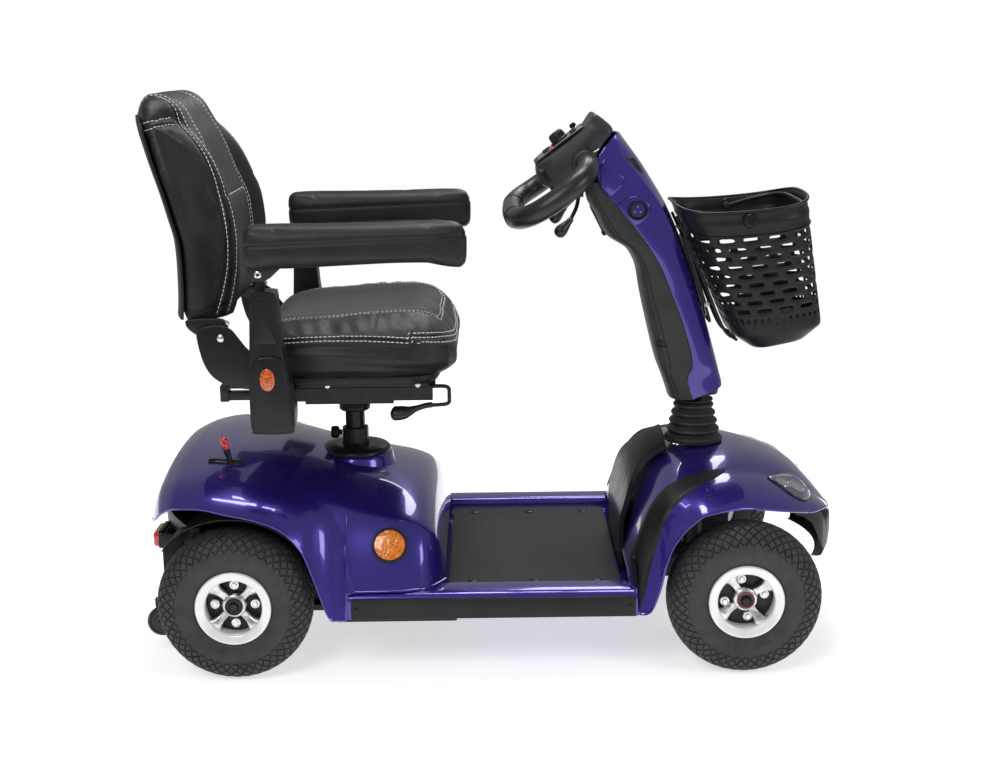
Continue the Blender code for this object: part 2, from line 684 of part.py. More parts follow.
def make_tie_rod(name, side):
    """Rod from the column's arm to one knuckle's arm, with an eye at each end."""
    bottom = LINK_BOTTOM + 0.006 + GAP + (0.0 if side < 0 else ROD_THICKNESS + GAP)
    top = bottom + ROD_THICKNESS
    inner = Vector((COLUMN_X - STEER_ARM, 0, 0))
    outer = Vector((WHEELBASE - STEER_ARM, side * KINGPIN_Y, 0))
    along = (outer - inner).normalized()
    across = Vector((-along.y, along.x, 0)) * 0.005
    corners = [inner + across, outer + across, outer - across, inner - across]
    bar = plate(name, [(point.x, point.y) for point in corners], bottom, top, axis="Z")
    eyes = []
    bores = []
    for end in (inner, outer):
        low = Vector((end.x, end.y, bottom))
        high = Vector((end.x, end.y, top))
        eyes.append(rod("eye", low, high, 0.009, 16))
        bores.append(rod("bore", low - Vector((0, 0, 0.01)), high + Vector((0, 0, 0.01)), 0.0047, 10))
    return cut(joined(name, bar, *eyes), *bores)


def make_steering_stem():
    """Column with the steering arm at its foot and the tilt lug at its head."""
    arm_x = COLUMN_X - STEER_ARM
    pieces = [
        rod("stem", (COLUMN_X, 0, LINK_BOTTOM), (COLUMN_X, 0, 0.412), 0.0155, 16),
        block("arm", (arm_x - 0.009, -0.009, LINK_BOTTOM), (COLUMN_X, 0.009, LINK_BOTTOM + 0.006)),
        rod("arm pin", (arm_x, 0, LINK_BOTTOM + 0.003), (arm_x, 0, LINK_BOTTOM + 0.020), 0.004, 10),
        rod("lug", (COLUMN_X, -0.0125, TILT_Z), (COLUMN_X, 0.0125, TILT_Z), 0.0145, 16),
        block("neck", (COLUMN_X - 0.012, -0.0125, 0.400), (COLUMN_X + 0.012, 0.0125, 0.422)),
    ]
    stem = joined("steering_stem", *pieces)
    bore = rod("pivot bore", (COLUMN_X, -0.03, TILT_Z), (COLUMN_X, 0.03, TILT_Z), 0.0065, 12)
    return cut(stem, bore)


def make_bellows():
    """Pleated boot around the column."""
    bottom, top = 0.3356, 0.3980
    low_radius, high_radius = 0.050, 0.035
    pleats = 4
    outer = [(0.0530, bottom), (0.0530, bottom + 0.004)]
    for i in range(2 * pleats):
        share = (i + 0.5) / (2 * pleats)
        radius = low_radius + (high_radius - low_radius) * share
        depth = 0.0035 if i % 2 else -0.0005
        outer.append((radius - depth, bottom + 0.006 + (top - bottom - 0.008) * share))
    outer.append((high_radius, top))
    inner = [(0.0210, top), (0.0310, bottom)]
    return turned("bellows", outer + inner, (COLUMN_X, 0, 0), (0, 0, 1), 16)


def make_tiller_post():
    """Steel post inside the tiller, with the fork and pin of the tilt joint."""
    pieces = [
        tube("post", ((COLUMN_X - 0.001, 0, 0.449), (0.778, 0, 0.500), (0.742, 0, 0.630), (0.688, 0, 0.745), (0.650, 0, 0.800)), 0.012),
        block("bridge", (COLUMN_X - 0.012, -0.0178, 0.4435), (COLUMN_X + 0.012, 0.0178, 0.456)),
        rod("pin", (COLUMN_X, -0.0178, TILT_Z), (COLUMN_X, 0.0178, TILT_Z), 0.005, 12),
    ]
    for _, side in SIDES:
        pieces.append(side_block("fork", side, (COLUMN_X - 0.011, COLUMN_X + 0.011), (0.0132, 0.0176), (0.4158, 0.450)))
    return joined("tiller_post", *pieces)


def tiller_rows(levels, front):
    """Half sections of the tiller, open towards the seam."""
    rows = []
    for z, rear, seam, nose, half_width in levels:
        reach = (nose - seam - GAP) if front else (seam - rear - GAP)
        sign = 1 if front else -1
        row = []
        for i in range(-5, 6):
            angle = math.radians(90 * i / 5)
            across, along = half_width * eased(math.sin(angle), 0.6), reach * abs(math.cos(angle)) ** 0.6
            row.append((seam + sign * (GAP + along), across, z))
        rows.append(row)
    return rows


def make_tiller_housing():
    return shell("tiller_housing", tiller_rows(TILLER, False), 0.003, (0.79, 0.0, 0.58))


def make_tiller_cover():
    levels = TILLER[1:] + TILLER_HEAD
    return shell("tiller_cover", tiller_rows(levels, True), 0.003, (0.66, 0.0, 0.58))


def make_console():
    """Dark control head, with its face sloping up and forward."""
    outline = [
        (0.5170, 0.8380), (0.5130, 0.8250), (0.5200, 0.8000), (0.5400, 0.7930),
        (0.5900, 0.8020), (0.6080, 0.8120), (0.6085, 0.8330), (0.6240, 0.8640), (0.6420, 0.8870),
        (0.6400, 0.8980), (0.6170, 0.9180), (0.6090, 0.9180), (0.5950, 0.8960),
    ]
    console = soften(plate("console", outline, -0.056, 0.056), 0.004)
    pocket = rod("button pocket", horn_place(-0.0040), horn_place(0.0200), 0.0088, 16)
    return cut(console, pocket)


FACE_LOW = Vector((0.5170, 0, 0.8380))
FACE_HIGH = Vector((0.5950, 0, 0.8960))
FACE_UP = Vector((FACE_LOW.z - FACE_HIGH.z, 0, FACE_HIGH.x - FACE_LOW.x)).normalized()


def face_place(share, y, lift):
    """A point over the console's face: share runs from its rear edge to its front edge."""
    place = FACE_LOW.lerp(FACE_HIGH, share) + FACE_UP * lift
    return Vector((place.x, y, place.z))


def make_speed_dial():
    skirt = rod("skirt", face_place(0.52, 0, GAP), face_place(0.52, 0, 0.007), 0.0165, 20)
    grip = rod("grip", face_place(0.52, 0, 0.005), face_place(0.52, 0, 0.019), 0.0150, 12, end_radius=0.0135)
    return joined("speed_dial", skirt, grip)


def make_ignition_key():
    """Key switch with the bow of its key turned flat."""
    barrel = rod("barrel", face_place(0.86, 0.030, GAP), face_place(0.86, 0.030, 0.004), 0.009, 16)
    bow = block("bow", (-0.006, -0.0012, 0.0), (0.006, 0.0012, 0.010))
    turn = FACE_UP.to_track_quat("Z", "Y").to_matrix().to_4x4()
    bow.data.transform(Matrix.Translation(face_place(0.86, 0.030, 0.003)) @ turn)
    return joined("ignition_key", barrel, bow)


def horn_place(lift):
    return face_place(0.30, -0.034, lift)


def make_horn_button():
    return rod("horn_button", horn_place(-0.0013), horn_place(0.0065), 0.0080, 16)


def make_handlebar():
    """Closed delta loop, from one side of the console round to the other."""
    half = [
        (0.5950, 0.0570, 0.8370), (0.5960, 0.1050, 0.8380), (0.5930, 0.1550, 0.8340), (0.5800, 0.1880, 0.8200),
        (0.5480, 0.2010, 0.7950), (0.5120, 0.1950, 0.7710), (0.4880, 0.1680, 0.7580), (0.4760, 0.1150, 0.7520),
    ]
    right = [(x, -y, z) for x, y, z in half]
    points = right + [(0.4720, 0.0, 0.7500)] + half[::-1]
    return tube("handlebar", points, 0.018, smooth=True, bevel_resolution=2, resolution=2)


def make_throttle_lever():
    """Rocking lever under the handlebar, with a grip on each side."""
    pieces = [block("hub", (0.5800, -0.012, 0.7740), (0.5960, 0.012, 0.7880))]
    for _, side in SIDES:
        route = ((0.588, side * 0.004, 0.780), (0.580, side * 0.060, 0.762), (0.566, side * 0.098, 0.742))
        pieces.append(tube("arm", route, 0.0035))
        pieces.append(rod("neck", (0.568, side * 0.096, 0.744), (0.554, side * 0.101, 0.729), 0.0055, 10, end_radius=0.009))
        pieces.append(ball("grip", (0.5505, side * 0.101, 0.7255), (0.0105, 0.0100, 0.0105), 10, 6))
    return joined("throttle_lever", *pieces)


def make_tilt_lever():
    """Thin lever behind the tiller that frees its tilt."""
    stick = tube("stick", ((0.6265, 0, 0.7080), (0.6020, 0, 0.7600)), 0.0030)
    foot = rod("foot", (0.6265, -0.012, 0.7080), (0.6265, 0.012, 0.7080), 0.0040, 10)
    return joined("tilt_lever", stick, foot)


# ---------------------------------------------------------------- basket
BASKET_LEVELS = (
    ((0.884, 0.513), (0.984, 0.533), 0.084),
    ((0.850, 0.536), (1.012, 0.559), 0.103),
    ((0.749, 0.767), (0.977, 0.783), 0.130),
)
BASKET_UP = Vector((-0.36, 0, 0.933))
HANDLE_X = 0.866
HANDLE_Z = 0.744
RIM_DIP = 0.022              # the basket's rim is lower along its sides


def make_basket():
    rings = []
    for rear, front, half_width in BASKET_LEVELS:
        middle = ((rear[0] + front[0]) / 2, (rear[1] + front[1]) / 2)
        half_length = (front[0] - rear[0]) / 2
        slope = (front[1] - rear[1]) / (front[0] - rear[0])
        dip = RIM_DIP if half_width == BASKET_LEVELS[-1][2] else 0.0
        ring = []
        for i in range(20):
            x, y = ring_point(2 * math.pi * i / 20, half_length, half_width, 5.0)
            drop = dip * abs(y / half_width) ** 4 * (1 - 0.45 * abs(x / half_length) ** 4)
            ring.append((middle[0] + x, y, middle[1] + slope * x - drop))
        rings.append(ring)
    basket = shell("basket", rings, 0.003, (0.90, 0.0, 0.70), closed_rows=True, cap_first=True)
    return basket


def make_basket_bracket():
    """Plate on the front of the tiller that the basket hooks on to."""
    low, high = Vector((0.8060, 0.5820)), Vector((0.7665, 0.7020))
    out = Vector((high.y - low.y, low.x - high.x)).normalized()
    outline = [low + out * 0.001, low + out * 0.0065, high + out * 0.0065, high + out * 0.001]
    return plate("basket_bracket", [tuple(point) for point in outline], -0.032, 0.032)


def make_basket_handle():
    """Wire handle that rests inside the basket, under the front of its rim."""
    half = [
        (HANDLE_X, 0.1185, HANDLE_Z), (0.8820, 0.1190, 0.7480), (0.9100, 0.1175, 0.7560),
        (0.9440, 0.1080, 0.7640), (0.9600, 0.0800, 0.7680), (0.9630, 0.0400, 0.7690),
    ]
    points = [(x, -y, z) for x, y, z in half] + half[::-1]
    bow = tube("bow", points, 0.0030)
    pieces = [bow]
    for _, side in SIDES:
        pieces.append(rod("boss", (HANDLE_X, side * 0.1140, HANDLE_Z), (HANDLE_X, side * 0.1225, HANDLE_Z), 0.0070, 12))
    return joined("basket_handle", *pieces)


# ---------------------------------------------------------------- seat
def make_seat_stem():
    stem = rod("stem", (SEAT_X, 0, 0.130), (SEAT_X, 0, 0.405), POST_RADIUS, 16)
    collar = rod("collar", (SEAT_X, 0, 0.397), (SEAT_X, 0, 0.4190), 0.028, 16)
    return joined("seat_stem", stem, collar)


def make_height_knob():
    x_end = SEAT_X - SLEEVE_RADIUS - GAP
    screw = rod("screw", (x_end, 0, 0.355), (x_end - 0.006, 0, 0.355), 0.005, 12)
    knob = rod("knob", (x_end - 0.004, 0, 0.355), (x_end - 0.020, 0, 0.355), 0.0115, 12, end_radius=0.010)
    return joined("height_knob", screw, knob)


def make_swivel_base():
    """Turntable on the stem, with the fixed rails of the seat slide."""
    pieces = [
        rod("turntable", (SEAT_X, 0, 0.4195), (SEAT_X, 0, 0.4340), 0.045, 24),
        block("bridge", (0.110, -0.104, 0.4320), (0.262, 0.104, 0.4400)),
    ]
    for _, side in SIDES:
        pieces.append(side_block("rail", side, (0.030, 0.330), (RAIL_Y - 0.012, RAIL_Y + 0.012), (0.4390, 0.4620)))
    return joined("swivel_base", *pieces)


def make_swivel_lever():
    stick = tube("stick", ((0.235, 0.048, 0.4250), (0.262, 0.110, 0.4220), (0.270, 0.150, 0.4200)), 0.0035)
    grip = ball("grip", (0.273, 0.166, 0.4190), (0.009, 0.020, 0.007), 10, 6)
    return joined("swivel_lever", stick, grip)


def make_seat_pan():
    """Moulded pan with the sliders, the armrest receivers and the ears of the backrest hinge."""
    pieces = [
        soften(block("pan", (0.006, -0.218, 0.4840), (0.368, 0.218, 0.5020)), 0.007),
        block("cross plate", (0.050, -0.224, 0.4720), (0.110, 0.224, 0.4860)),
        side_block("lever lug", -1, (0.300, 0.3240), (0.1140, 0.1260), (0.4580, 0.4860)),
    ]
    for _, side in SIDES:
        ear = [
            (0.012, 0.486), (0.012, 0.578), (0.006, 0.589), (-0.010, 0.594), (-0.028, 0.594), (-0.048, 0.585),
            (-0.047, 0.544), (-0.033, 0.512), (-0.010, 0.492),
        ]
        low, high = sorted((side * 0.2130, side * 0.2190))
        pieces += [
            plate("ear", ear, low, high),
            side_block("slider", side, (-0.018, 0.335), (RAIL_Y - 0.014, RAIL_Y + 0.014), (0.4630, 0.4860)),
            side_block("receiver", side, (ARM_BAR_X - 0.017, ARM_BAR_X + 0.017), (0.130, 0.224), (0.4480, 0.4780)),
        ]
    pan = joined("seat_pan", *pieces)
    bores = [
        rod("bar bore", (ARM_BAR_X, side * 0.120, ARM_BAR_Z), (ARM_BAR_X, side * 0.240, ARM_BAR_Z), 0.0105, 16)
        for _, side in SIDES
    ]
    return cut(pan, *bores)


def make_slide_lever():
    """U-shaped rod under the front of the seat, with a drop-shaped grip."""
    y = -0.1200
    rod_points = ((0.3250, y, 0.4655), (0.3520, y, 0.4655), (0.3590, y, 0.4590), (0.3590, y, 0.4400), (0.3520, y, 0.4335), (0.3180, y, 0.4320))
    bar = tube("bar", rod_points, 0.0035)
    neck = rod("neck", (0.3280, y, 0.4325), (0.2850, y, 0.4230), 0.0050, 10, end_radius=0.0105)
    grip = ball("grip", (0.2760, y, 0.4190), (0.0190, 0.0100, 0.0130), 10, 6)
    return joined("slide_lever", bar, neck, grip)


# Seat cushion stations: distance forward, top, bottom, half width
CUSHION = (
    (0.030, 0.560, 0.5150, 0.170),
    (0.036, 0.576, 0.5080, 0.190),
    (0.056, 0.592, 0.5040, 0.206),
    (0.100, 0.603, 0.5030, 0.222),
    (0.160, 0.611, 0.5030, 0.230),
    (0.220, 0.617, 0.5030, 0.232),
    (0.290, 0.616, 0.5030, 0.228),
    (0.332, 0.602, 0.5030, 0.214),
    (0.366, 0.572, 0.5040, 0.190),
    (0.383, 0.540, 0.5120, 0.150),
)


def make_seat_cushion():
    rings = []
    for x, top, bottom, half_width in CUSHION:
        ring = []
        for i in range(16):
            y, z = ring_point(2 * math.pi * (i + 0.5) / 16, half_width, (top - bottom) / 2, 3.6)
            ring.append((x, y, (top + bottom) / 2 + z))
        rings.append(ring)
    return grid_mesh("seat_cushion", rings, closed_rows=True, cap_first=True, cap_last=True)


# Backrest levels: height, rear face in the middle, front face, half width
BACKREST = (
    (0.618, -0.0900, 0.0030, 0.1850),
    (0.650, -0.0910, 0.0080, 0.2000),
    (0.680, -0.0930, 0.0100, 0.2025),
    (0.720, -0.0980, 0.0110, 0.2150),
    (0.765, -0.1080, 0.0060, 0.2200),
    (0.810, -0.1200, -0.0080, 0.2200),
    (0.850, -0.1330, -0.0240, 0.2150),
    (0.885, -0.1440, -0.0460, 0.2050),
    (0.920, -0.1550, -0.0780, 0.1900),
    (0.945, -0.1640, -0.1050, 0.1700),
    (0.962, -0.1680, -0.1280, 0.1400),
)
BACK_WRAP = 0.036            # how far the sides of the shell come forward
BACK_WALL = 0.012


def back_shell_x(rear, share):
    return rear + BACK_WRAP * abs(share) ** 2.5


def make_backrest_shell():
    rows = []
    for z, rear, _, half_width in BACKREST:
        rows.append([
            (back_shell_x(rear, share), (half_width + 0.004) * share, z + 0.004)
            for share in (-1.0, -0.8, -0.5, 0.0, 0.5, 0.8, 1.0)
        ])
    back = shell("backrest_shell", rows, BACK_WALL, (0.30, 0.0, 0.75))
    arms = []
    for _, side in SIDES:
        outline = [
            (-0.058, 0.684), (-0.040, 0.684), (-0.030, 0.660), (0.004, 0.585), (0.005, 0.568), (-0.006, 0.557),
            (-0.022, 0.560), (-0.048, 0.600), (-0.066, 0.650),
        ]
        low, high = sorted((side * 0.2045, side * 0.2115))
        arms.append(plate("arm", outline, low, high))
    return joined("backrest_shell", back, *arms)


def make_backrest_cushion():
    rings = []
    lateral = (-1.0, -0.8, -0.5, 0.0, 0.5, 0.8, 1.0)
    for z, rear, front, half_width in BACKREST:
        back = []
        face = []
        for share in lateral:
            y = (half_width - 0.002) * share
            x_back = back_shell_x(rear, share) + BACK_WALL + 0.003
            x_edge = back_shell_x(rear, 1.0) + BACK_WALL + 0.008
            x_front = x_edge + (front - x_edge) * (1 - abs(share) ** 6)
            back.append((x_back, y, z))
            face.append((x_front, y, z))
        rings.append(back + face[::-1])
    return grid_mesh("backrest_cushion", rings, closed_rows=True, cap_first=True, cap_last=True)


def make_armrest_post(name, side):
    outline = [
        (0.0560, 0.4290), (0.1080, 0.4290), (0.1160, 0.4400), (0.1160, 0.4700), (0.1090, 0.5150), (0.0990, 0.5580),
        (0.0930, 0.5620), (0.0880, 0.6540), (0.0540, 0.6540), (0.0520, 0.5620), (0.0470, 0.5300), (0.0450, 0.4550),
    ]
    low, high = sorted((side * 0.2500, side * 0.2920))
    post = soften(plate("post", outline, low, high), 0.004)
    lug = rod("lug", (ARMREST_PIVOT_X, side * 0.2620, ARMREST_PIVOT_Z), (ARMREST_PIVOT_X, side * 0.2680, ARMREST_PIVOT_Z), 0.0120, 16)
    neck = side_block("neck", side, (0.0550, 0.0770), (0.2621, 0.2679), (0.6480, ARMREST_PIVOT_Z))
    pin = rod("pin", (ARMREST_PIVOT_X, side * 0.2540, ARMREST_PIVOT_Z), (ARMREST_PIVOT_X, side * 0.2765, ARMREST_PIVOT_Z), 0.0040, 12)
    bar = rod("bar", (ARM_BAR_X, side * 0.1450, ARM_BAR_Z), (ARM_BAR_X, side * 0.2540, ARM_BAR_Z), 0.0095, 16)
    return joined(name, post, lug, neck, pin, bar)


def make_armrest(name, side):
    """Padded arm with two ears round the pivot pin."""
    outline = [
        (0.0530, 0.6990), (0.3900, 0.7030), (0.3985, 0.7140), (0.3985, 0.7530), (0.3900, 0.7650), (0.3740, 0.7680),
        (0.0560, 0.7680), (0.0470, 0.7600), (0.0470, 0.7060),
    ]
    low, high = sorted((side * 0.2360, side * 0.2945))
    pad = soften(plate("pad", outline, low, high), 0.008)
    ears = []
    for y in ((0.2555, 0.2600), (0.2700, 0.2745)):
        ears.append(side_block("ear", side, (0.0560, 0.0760), y, (0.6750, 0.7020)))
    arm = joined(name, pad, *ears)
    bore = rod("bore", (ARMREST_PIVOT_X, side * 0.2500, ARMREST_PIVOT_Z), (ARMREST_PIVOT_X, side * 0.2800, ARMREST_PIVOT_Z), 0.0050, 12)
    return cut(arm, bore)


# ---------------------------------------------------------------- assembly
# Pivots: name, place in the drawing frame, the pivot it hangs from
PIVOT_LIST = (
    ("steering", (COLUMN_X, 0, LINK_BOTTOM), "scooter"),
    ("tiller tilt", (COLUMN_X, 0, TILT_Z), "steering"),
    ("throttle", (0.588, 0, 0.781), "tiller tilt"),
    ("dial", tuple(face_place(0.52, 0, 0)), "tiller tilt"),
    ("key", tuple(face_place(0.86, 0.030, 0)), "tiller tilt"),
    ("horn", tuple(face_place(0.30, -0.034, 0)), "tiller tilt"),
    ("tilt lever", (0.6265, 0, 0.708), "tiller tilt"),
    ("basket lift", (0.80, 0, 0.60), "tiller tilt"),
    ("basket handle", (HANDLE_X, 0, HANDLE_Z), "basket lift"),
    ("freewheel", (-0.015, -0.150, 0.330), "scooter"),
    ("height knob", (SEAT_X, 0, 0.355), "scooter"),
    ("seat height", (SEAT_X, 0, 0.130), "scooter"),
    ("seat swivel", (SEAT_X, 0, 0.4195), "seat height"),
    ("swivel lever", (0.235, 0.048, 0.425), "seat swivel"),
    ("seat slide", (SEAT_X, 0, 0.463), "seat swivel"),
    ("slide lever", (0.325, -0.120, 0.4655), "seat slide"),
    ("backrest", (RECLINE_X, 0, RECLINE_Z), "seat slide"),
)


def make_pivots():
    root = bpy.data.objects.new("scooter", None)
    root.location = (FRAME_SHIFT, 0, 0)
    PARTS.objects.link(root)
    places = {"scooter": Vector((0, 0, 0))}
    empties = {"scooter": root}
    listed = list(PIVOT_LIST)
    for word, side in SIDES:
        listed += [
            (f"rear wheel {word}", (0, side * WHEEL_Y, TYRE_RADIUS), "scooter"),
            (f"anti-tip {word}", (ANTI_TIP_X, side * 0.1635, ANTI_TIP_Z), "scooter"),
            (f"knuckle {word}", (WHEELBASE, side * KINGPIN_Y, TYRE_RADIUS), "scooter"),
            (f"front wheel {word}", (WHEELBASE, side * WHEEL_Y, TYRE_RADIUS), f"knuckle {word}"),
            (f"tie rod {word}", (COLUMN_X - STEER_ARM, 0, LINK_BOTTOM), "steering"),
            (f"arm width {word}", (ARM_BAR_X, side * 0.24, ARM_BAR_Z), "seat slide"),
            (f"armrest {word}", (ARMREST_PIVOT_X, side * ARMREST_Y, ARMREST_PIVOT_Z), f"arm width {word}"),
        ]
    for name, place, parent in listed:
        empty = bpy.data.objects.new(name, None)
        places[name] = Vector(place)
        empty.location = places[name] - places[parent]
        empty.parent = empties[parent]
        PARTS.objects.link(empty)
        empties[name] = empty
    return empties, places


def attach(part, pivot, slot):
    """Hangs a part from its pivot, gives it its material and shades its round faces smooth."""
    part.parent = EMPTIES[pivot]
    part.matrix_parent_inverse = Matrix.Translation(-PLACES[pivot])
    part.data.materials.append(PAINTS[slot])
    part.data.shade_smooth()
    part.data.set_sharp_from_angle(angle=math.radians(35))


def build_chassis():
    attach(make_main_frame(), "scooter", "steel_frame")
    attach(make_transaxle(), "scooter", "steel_frame")
    attach(make_battery_pack(), "scooter", "grey_plastic")
    attach(make_controller(), "scooter", "grey_plastic")
    attach(make_rear_cover(), "scooter", "blue_paint")
    attach(make_rear_bumper(), "scooter", "black_plastic")
    attach(make_floor_pan(), "scooter", "blue_paint")
    attach(make_floor_mat(), "scooter", "soft_rubber")
    attach(make_front_cover(), "scooter", "blue_paint")
    attach(make_knee_panel(), "scooter", "black_plastic")
    attach(make_front_bumper(), "scooter", "black_plastic")
    attach(make_freewheel_lever(), "freewheel", "red_lens")
    for word, side in SIDES:
        lens = cover_patch(f"headlight_{word}", FRONT_COVER, side, 12, 14, (2, 5), 0.0012, 0.0035)
        attach(lens, "scooter", "clear_lens")
        attach(make_tail_light(f"tail_light_{word}", side), "scooter", "red_lens")
        attach(make_indicator(f"indicator_{word}", side), "scooter", "amber_lens")


def build_wheels():
    for word, side in SIDES:
        for end, x, spoke_turn in (("rear", 0.0, math.pi / 4), ("front", WHEELBASE, 0.0)):
            attach(make_tyre(f"{end}_tyre_{word}", x, side), f"{end} wheel {word}", "tyre_rubber")
            attach(make_rim(f"{end}_rim_{word}", x, side, spoke_turn), f"{end} wheel {word}", "white_rim")
        attach(make_anti_tip_wheel(f"anti_tip_wheel_{word}", side), f"anti-tip {word}", "soft_rubber")


def build_steering():
    attach(make_steering_stem(), "steering", "steel_frame")
    attach(make_bellows(), "steering", "soft_rubber")
    for word, side in SIDES:
        attach(make_knuckle(f"knuckle_{word}", side), f"knuckle {word}", "steel_frame")
        attach(make_tie_rod(f"tie_rod_{word}", side), f"tie rod {word}", "bright_steel")
    attach(make_tiller_post(), "tiller tilt", "steel_frame")
    attach(make_tiller_housing(), "tiller tilt", "black_plastic")
    attach(make_tiller_cover(), "tiller tilt", "blue_paint")
    attach(make_console(), "tiller tilt", "grey_plastic")
    attach(make_handlebar(), "tiller tilt", "soft_rubber")
    attach(make_basket_bracket(), "tiller tilt", "steel_frame")
    attach(make_throttle_lever(), "throttle", "black_plastic")
    attach(make_speed_dial(), "dial", "black_plastic")
    attach(make_ignition_key(), "key", "bright_steel")
    attach(make_horn_button(), "horn", "black_plastic")
    attach(make_tilt_lever(), "tilt lever", "steel_frame")
    attach(make_basket(), "basket lift", "black_plastic")
    attach(make_basket_handle(), "basket handle", "black_plastic")


def build_seat():
    attach(make_height_knob(), "height knob", "black_plastic")
    attach(make_seat_stem(), "seat height", "steel_frame")
    attach(make_swivel_base(), "seat swivel", "steel_frame")
    attach(make_swivel_lever(), "swivel lever", "black_plastic")
    attach(make_seat_pan(), "seat slide", "black_plastic")
    attach(make_seat_cushion(), "seat slide", "black_leather")
    attach(make_slide_lever(), "slide lever", "black_plastic")
    attach(make_backrest_shell(), "backrest", "black_plastic")
    attach(make_backrest_cushion(), "backrest", "black_leather")
    for word, side in SIDES:
        attach(make_armrest_post(f"armrest_post_{word}", side), f"arm width {word}", "black_plastic")
        attach(make_armrest(f"armrest_{word}", side), f"armrest {word}", "black_leather")


clear_scene()
PARTS = new_collection("mobility_scooter")
PAINTS = make_materials()
EMPTIES, PLACES = make_pivots()
build_chassis()
build_wheels()
build_steering()
build_seat()
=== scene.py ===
import math
from functools import lru_cache

import bmesh
import bpy
import numpy as np
from mathutils import Matrix, Vector
from mathutils.bvhtree import BVHTree
from mathutils.kdtree import KDTree


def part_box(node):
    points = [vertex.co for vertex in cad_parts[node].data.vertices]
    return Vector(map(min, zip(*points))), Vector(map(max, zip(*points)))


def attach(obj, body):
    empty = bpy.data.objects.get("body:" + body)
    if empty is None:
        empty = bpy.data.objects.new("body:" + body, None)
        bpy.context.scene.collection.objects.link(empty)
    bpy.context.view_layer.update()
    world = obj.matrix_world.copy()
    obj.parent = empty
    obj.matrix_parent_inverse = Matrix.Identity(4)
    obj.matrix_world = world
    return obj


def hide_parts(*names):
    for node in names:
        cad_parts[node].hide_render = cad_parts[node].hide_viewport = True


# Looks of a four-wheeled mobility scooter. Shapes are written in metres in a drawing frame whose X starts
# at the rear axle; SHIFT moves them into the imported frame. Y is to the rider's left, Z up from the floor.
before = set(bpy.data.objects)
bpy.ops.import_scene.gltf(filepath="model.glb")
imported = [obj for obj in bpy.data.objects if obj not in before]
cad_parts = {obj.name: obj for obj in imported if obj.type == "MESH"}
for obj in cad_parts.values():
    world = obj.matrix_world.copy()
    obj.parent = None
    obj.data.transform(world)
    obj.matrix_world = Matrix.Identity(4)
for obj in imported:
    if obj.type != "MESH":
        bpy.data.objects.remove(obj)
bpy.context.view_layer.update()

SIDES = (("right", -1), ("left", 1))
SHIFT = (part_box("rear_tyre_right")[0][0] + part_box("rear_tyre_right")[1][0]) / 2
WHEEL_Y = (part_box("rear_tyre_left")[0][1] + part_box("rear_tyre_left")[1][1]) / 2
WHEELBASE = (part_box("front_tyre_right")[0][0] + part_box("front_tyre_right")[1][0]) / 2 - SHIFT
TYRE_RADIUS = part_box("rear_tyre_right")[1][2] / 2
COLUMN_X = 0.795
SEAT_X = 0.185
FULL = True


# ---------------------------------------------------------------- materials
def shader_of(name, colour, roughness, metallic=0.0, **sockets):
    material = bpy.data.materials.new(name)
    material.use_nodes = True
    shader = material.node_tree.nodes["Principled BSDF"]
    shader.inputs["Base Color"].default_value = (*colour, 1.0)
    shader.inputs["Roughness"].default_value = roughness
    shader.inputs["Metallic"].default_value = metallic
    for socket, value in sockets.items():
        shader.inputs[socket.replace("_", " ")].default_value = value
    return material


def add_node(material, kind, **settings):
    node = material.node_tree.nodes.new(kind)
    for key, value in settings.items():
        if key in node.inputs:
            node.inputs[key].default_value = value
        else:
            setattr(node, key, value)
    return node


def wire(material, source, output, target, socket):
    material.node_tree.links.new(source.outputs[output], target.inputs[socket])


def textured(material, kind, stretch, **settings):
    """A texture in the object's own coordinates, stretched along its axes."""
    place = add_node(material, "ShaderNodeTexCoord")
    mapping = add_node(material, "ShaderNodeMapping")
    mapping.inputs["Scale"].default_value = stretch
    wire(material, place, "Object", mapping, "Vector")
    texture = add_node(material, kind, **settings)
    wire(material, mapping, "Vector", texture, "Vector")
    return texture


def noise(material, scale, detail=4.0, stretch=(1.0, 1.0, 1.0)):
    return textured(material, "ShaderNodeTexNoise", stretch, Scale=scale, Detail=detail)


def cells(material, scale):
    return textured(material, "ShaderNodeTexVoronoi", (1.0, 1.0, 1.0), Scale=scale, feature="F1")


def tint(material, source, output, dark, light, low=0.3, high=0.7):
    """Mottles the base colour between two tones."""
    ramp = add_node(material, "ShaderNodeValToRGB")
    ramp.color_ramp.elements[0].position = low
    ramp.color_ramp.elements[0].color = (*dark, 1.0)
    ramp.color_ramp.elements[1].position = high
    ramp.color_ramp.elements[1].color = (*light, 1.0)
    wire(material, source, output, ramp, "Fac")
    shader = material.node_tree.nodes["Principled BSDF"]
    wire(material, ramp, "Color", shader, "Base Color")


def vary_roughness(material, source, output, low, high):
    spread = add_node(material, "ShaderNodeMapRange")
    spread.inputs["To Min"].default_value = low
    spread.inputs["To Max"].default_value = high
    wire(material, source, output, spread, "Value")
    shader = material.node_tree.nodes["Principled BSDF"]
    wire(material, spread, "Result", shader, "Roughness")


def bump(material, source, output, strength, distance, below=None):
    """Raises the surface by a texture, on top of another bump where one is given."""
    made = add_node(material, "ShaderNodeBump", Strength=strength, Distance=distance)
    wire(material, source, output, made, "Height")
    if below is not None:
        wire(material, below, "Normal", made, "Normal")
    shader = material.node_tree.nodes["Principled BSDF"]
    wire(material, made, "Normal", shader, "Normal")
    return made


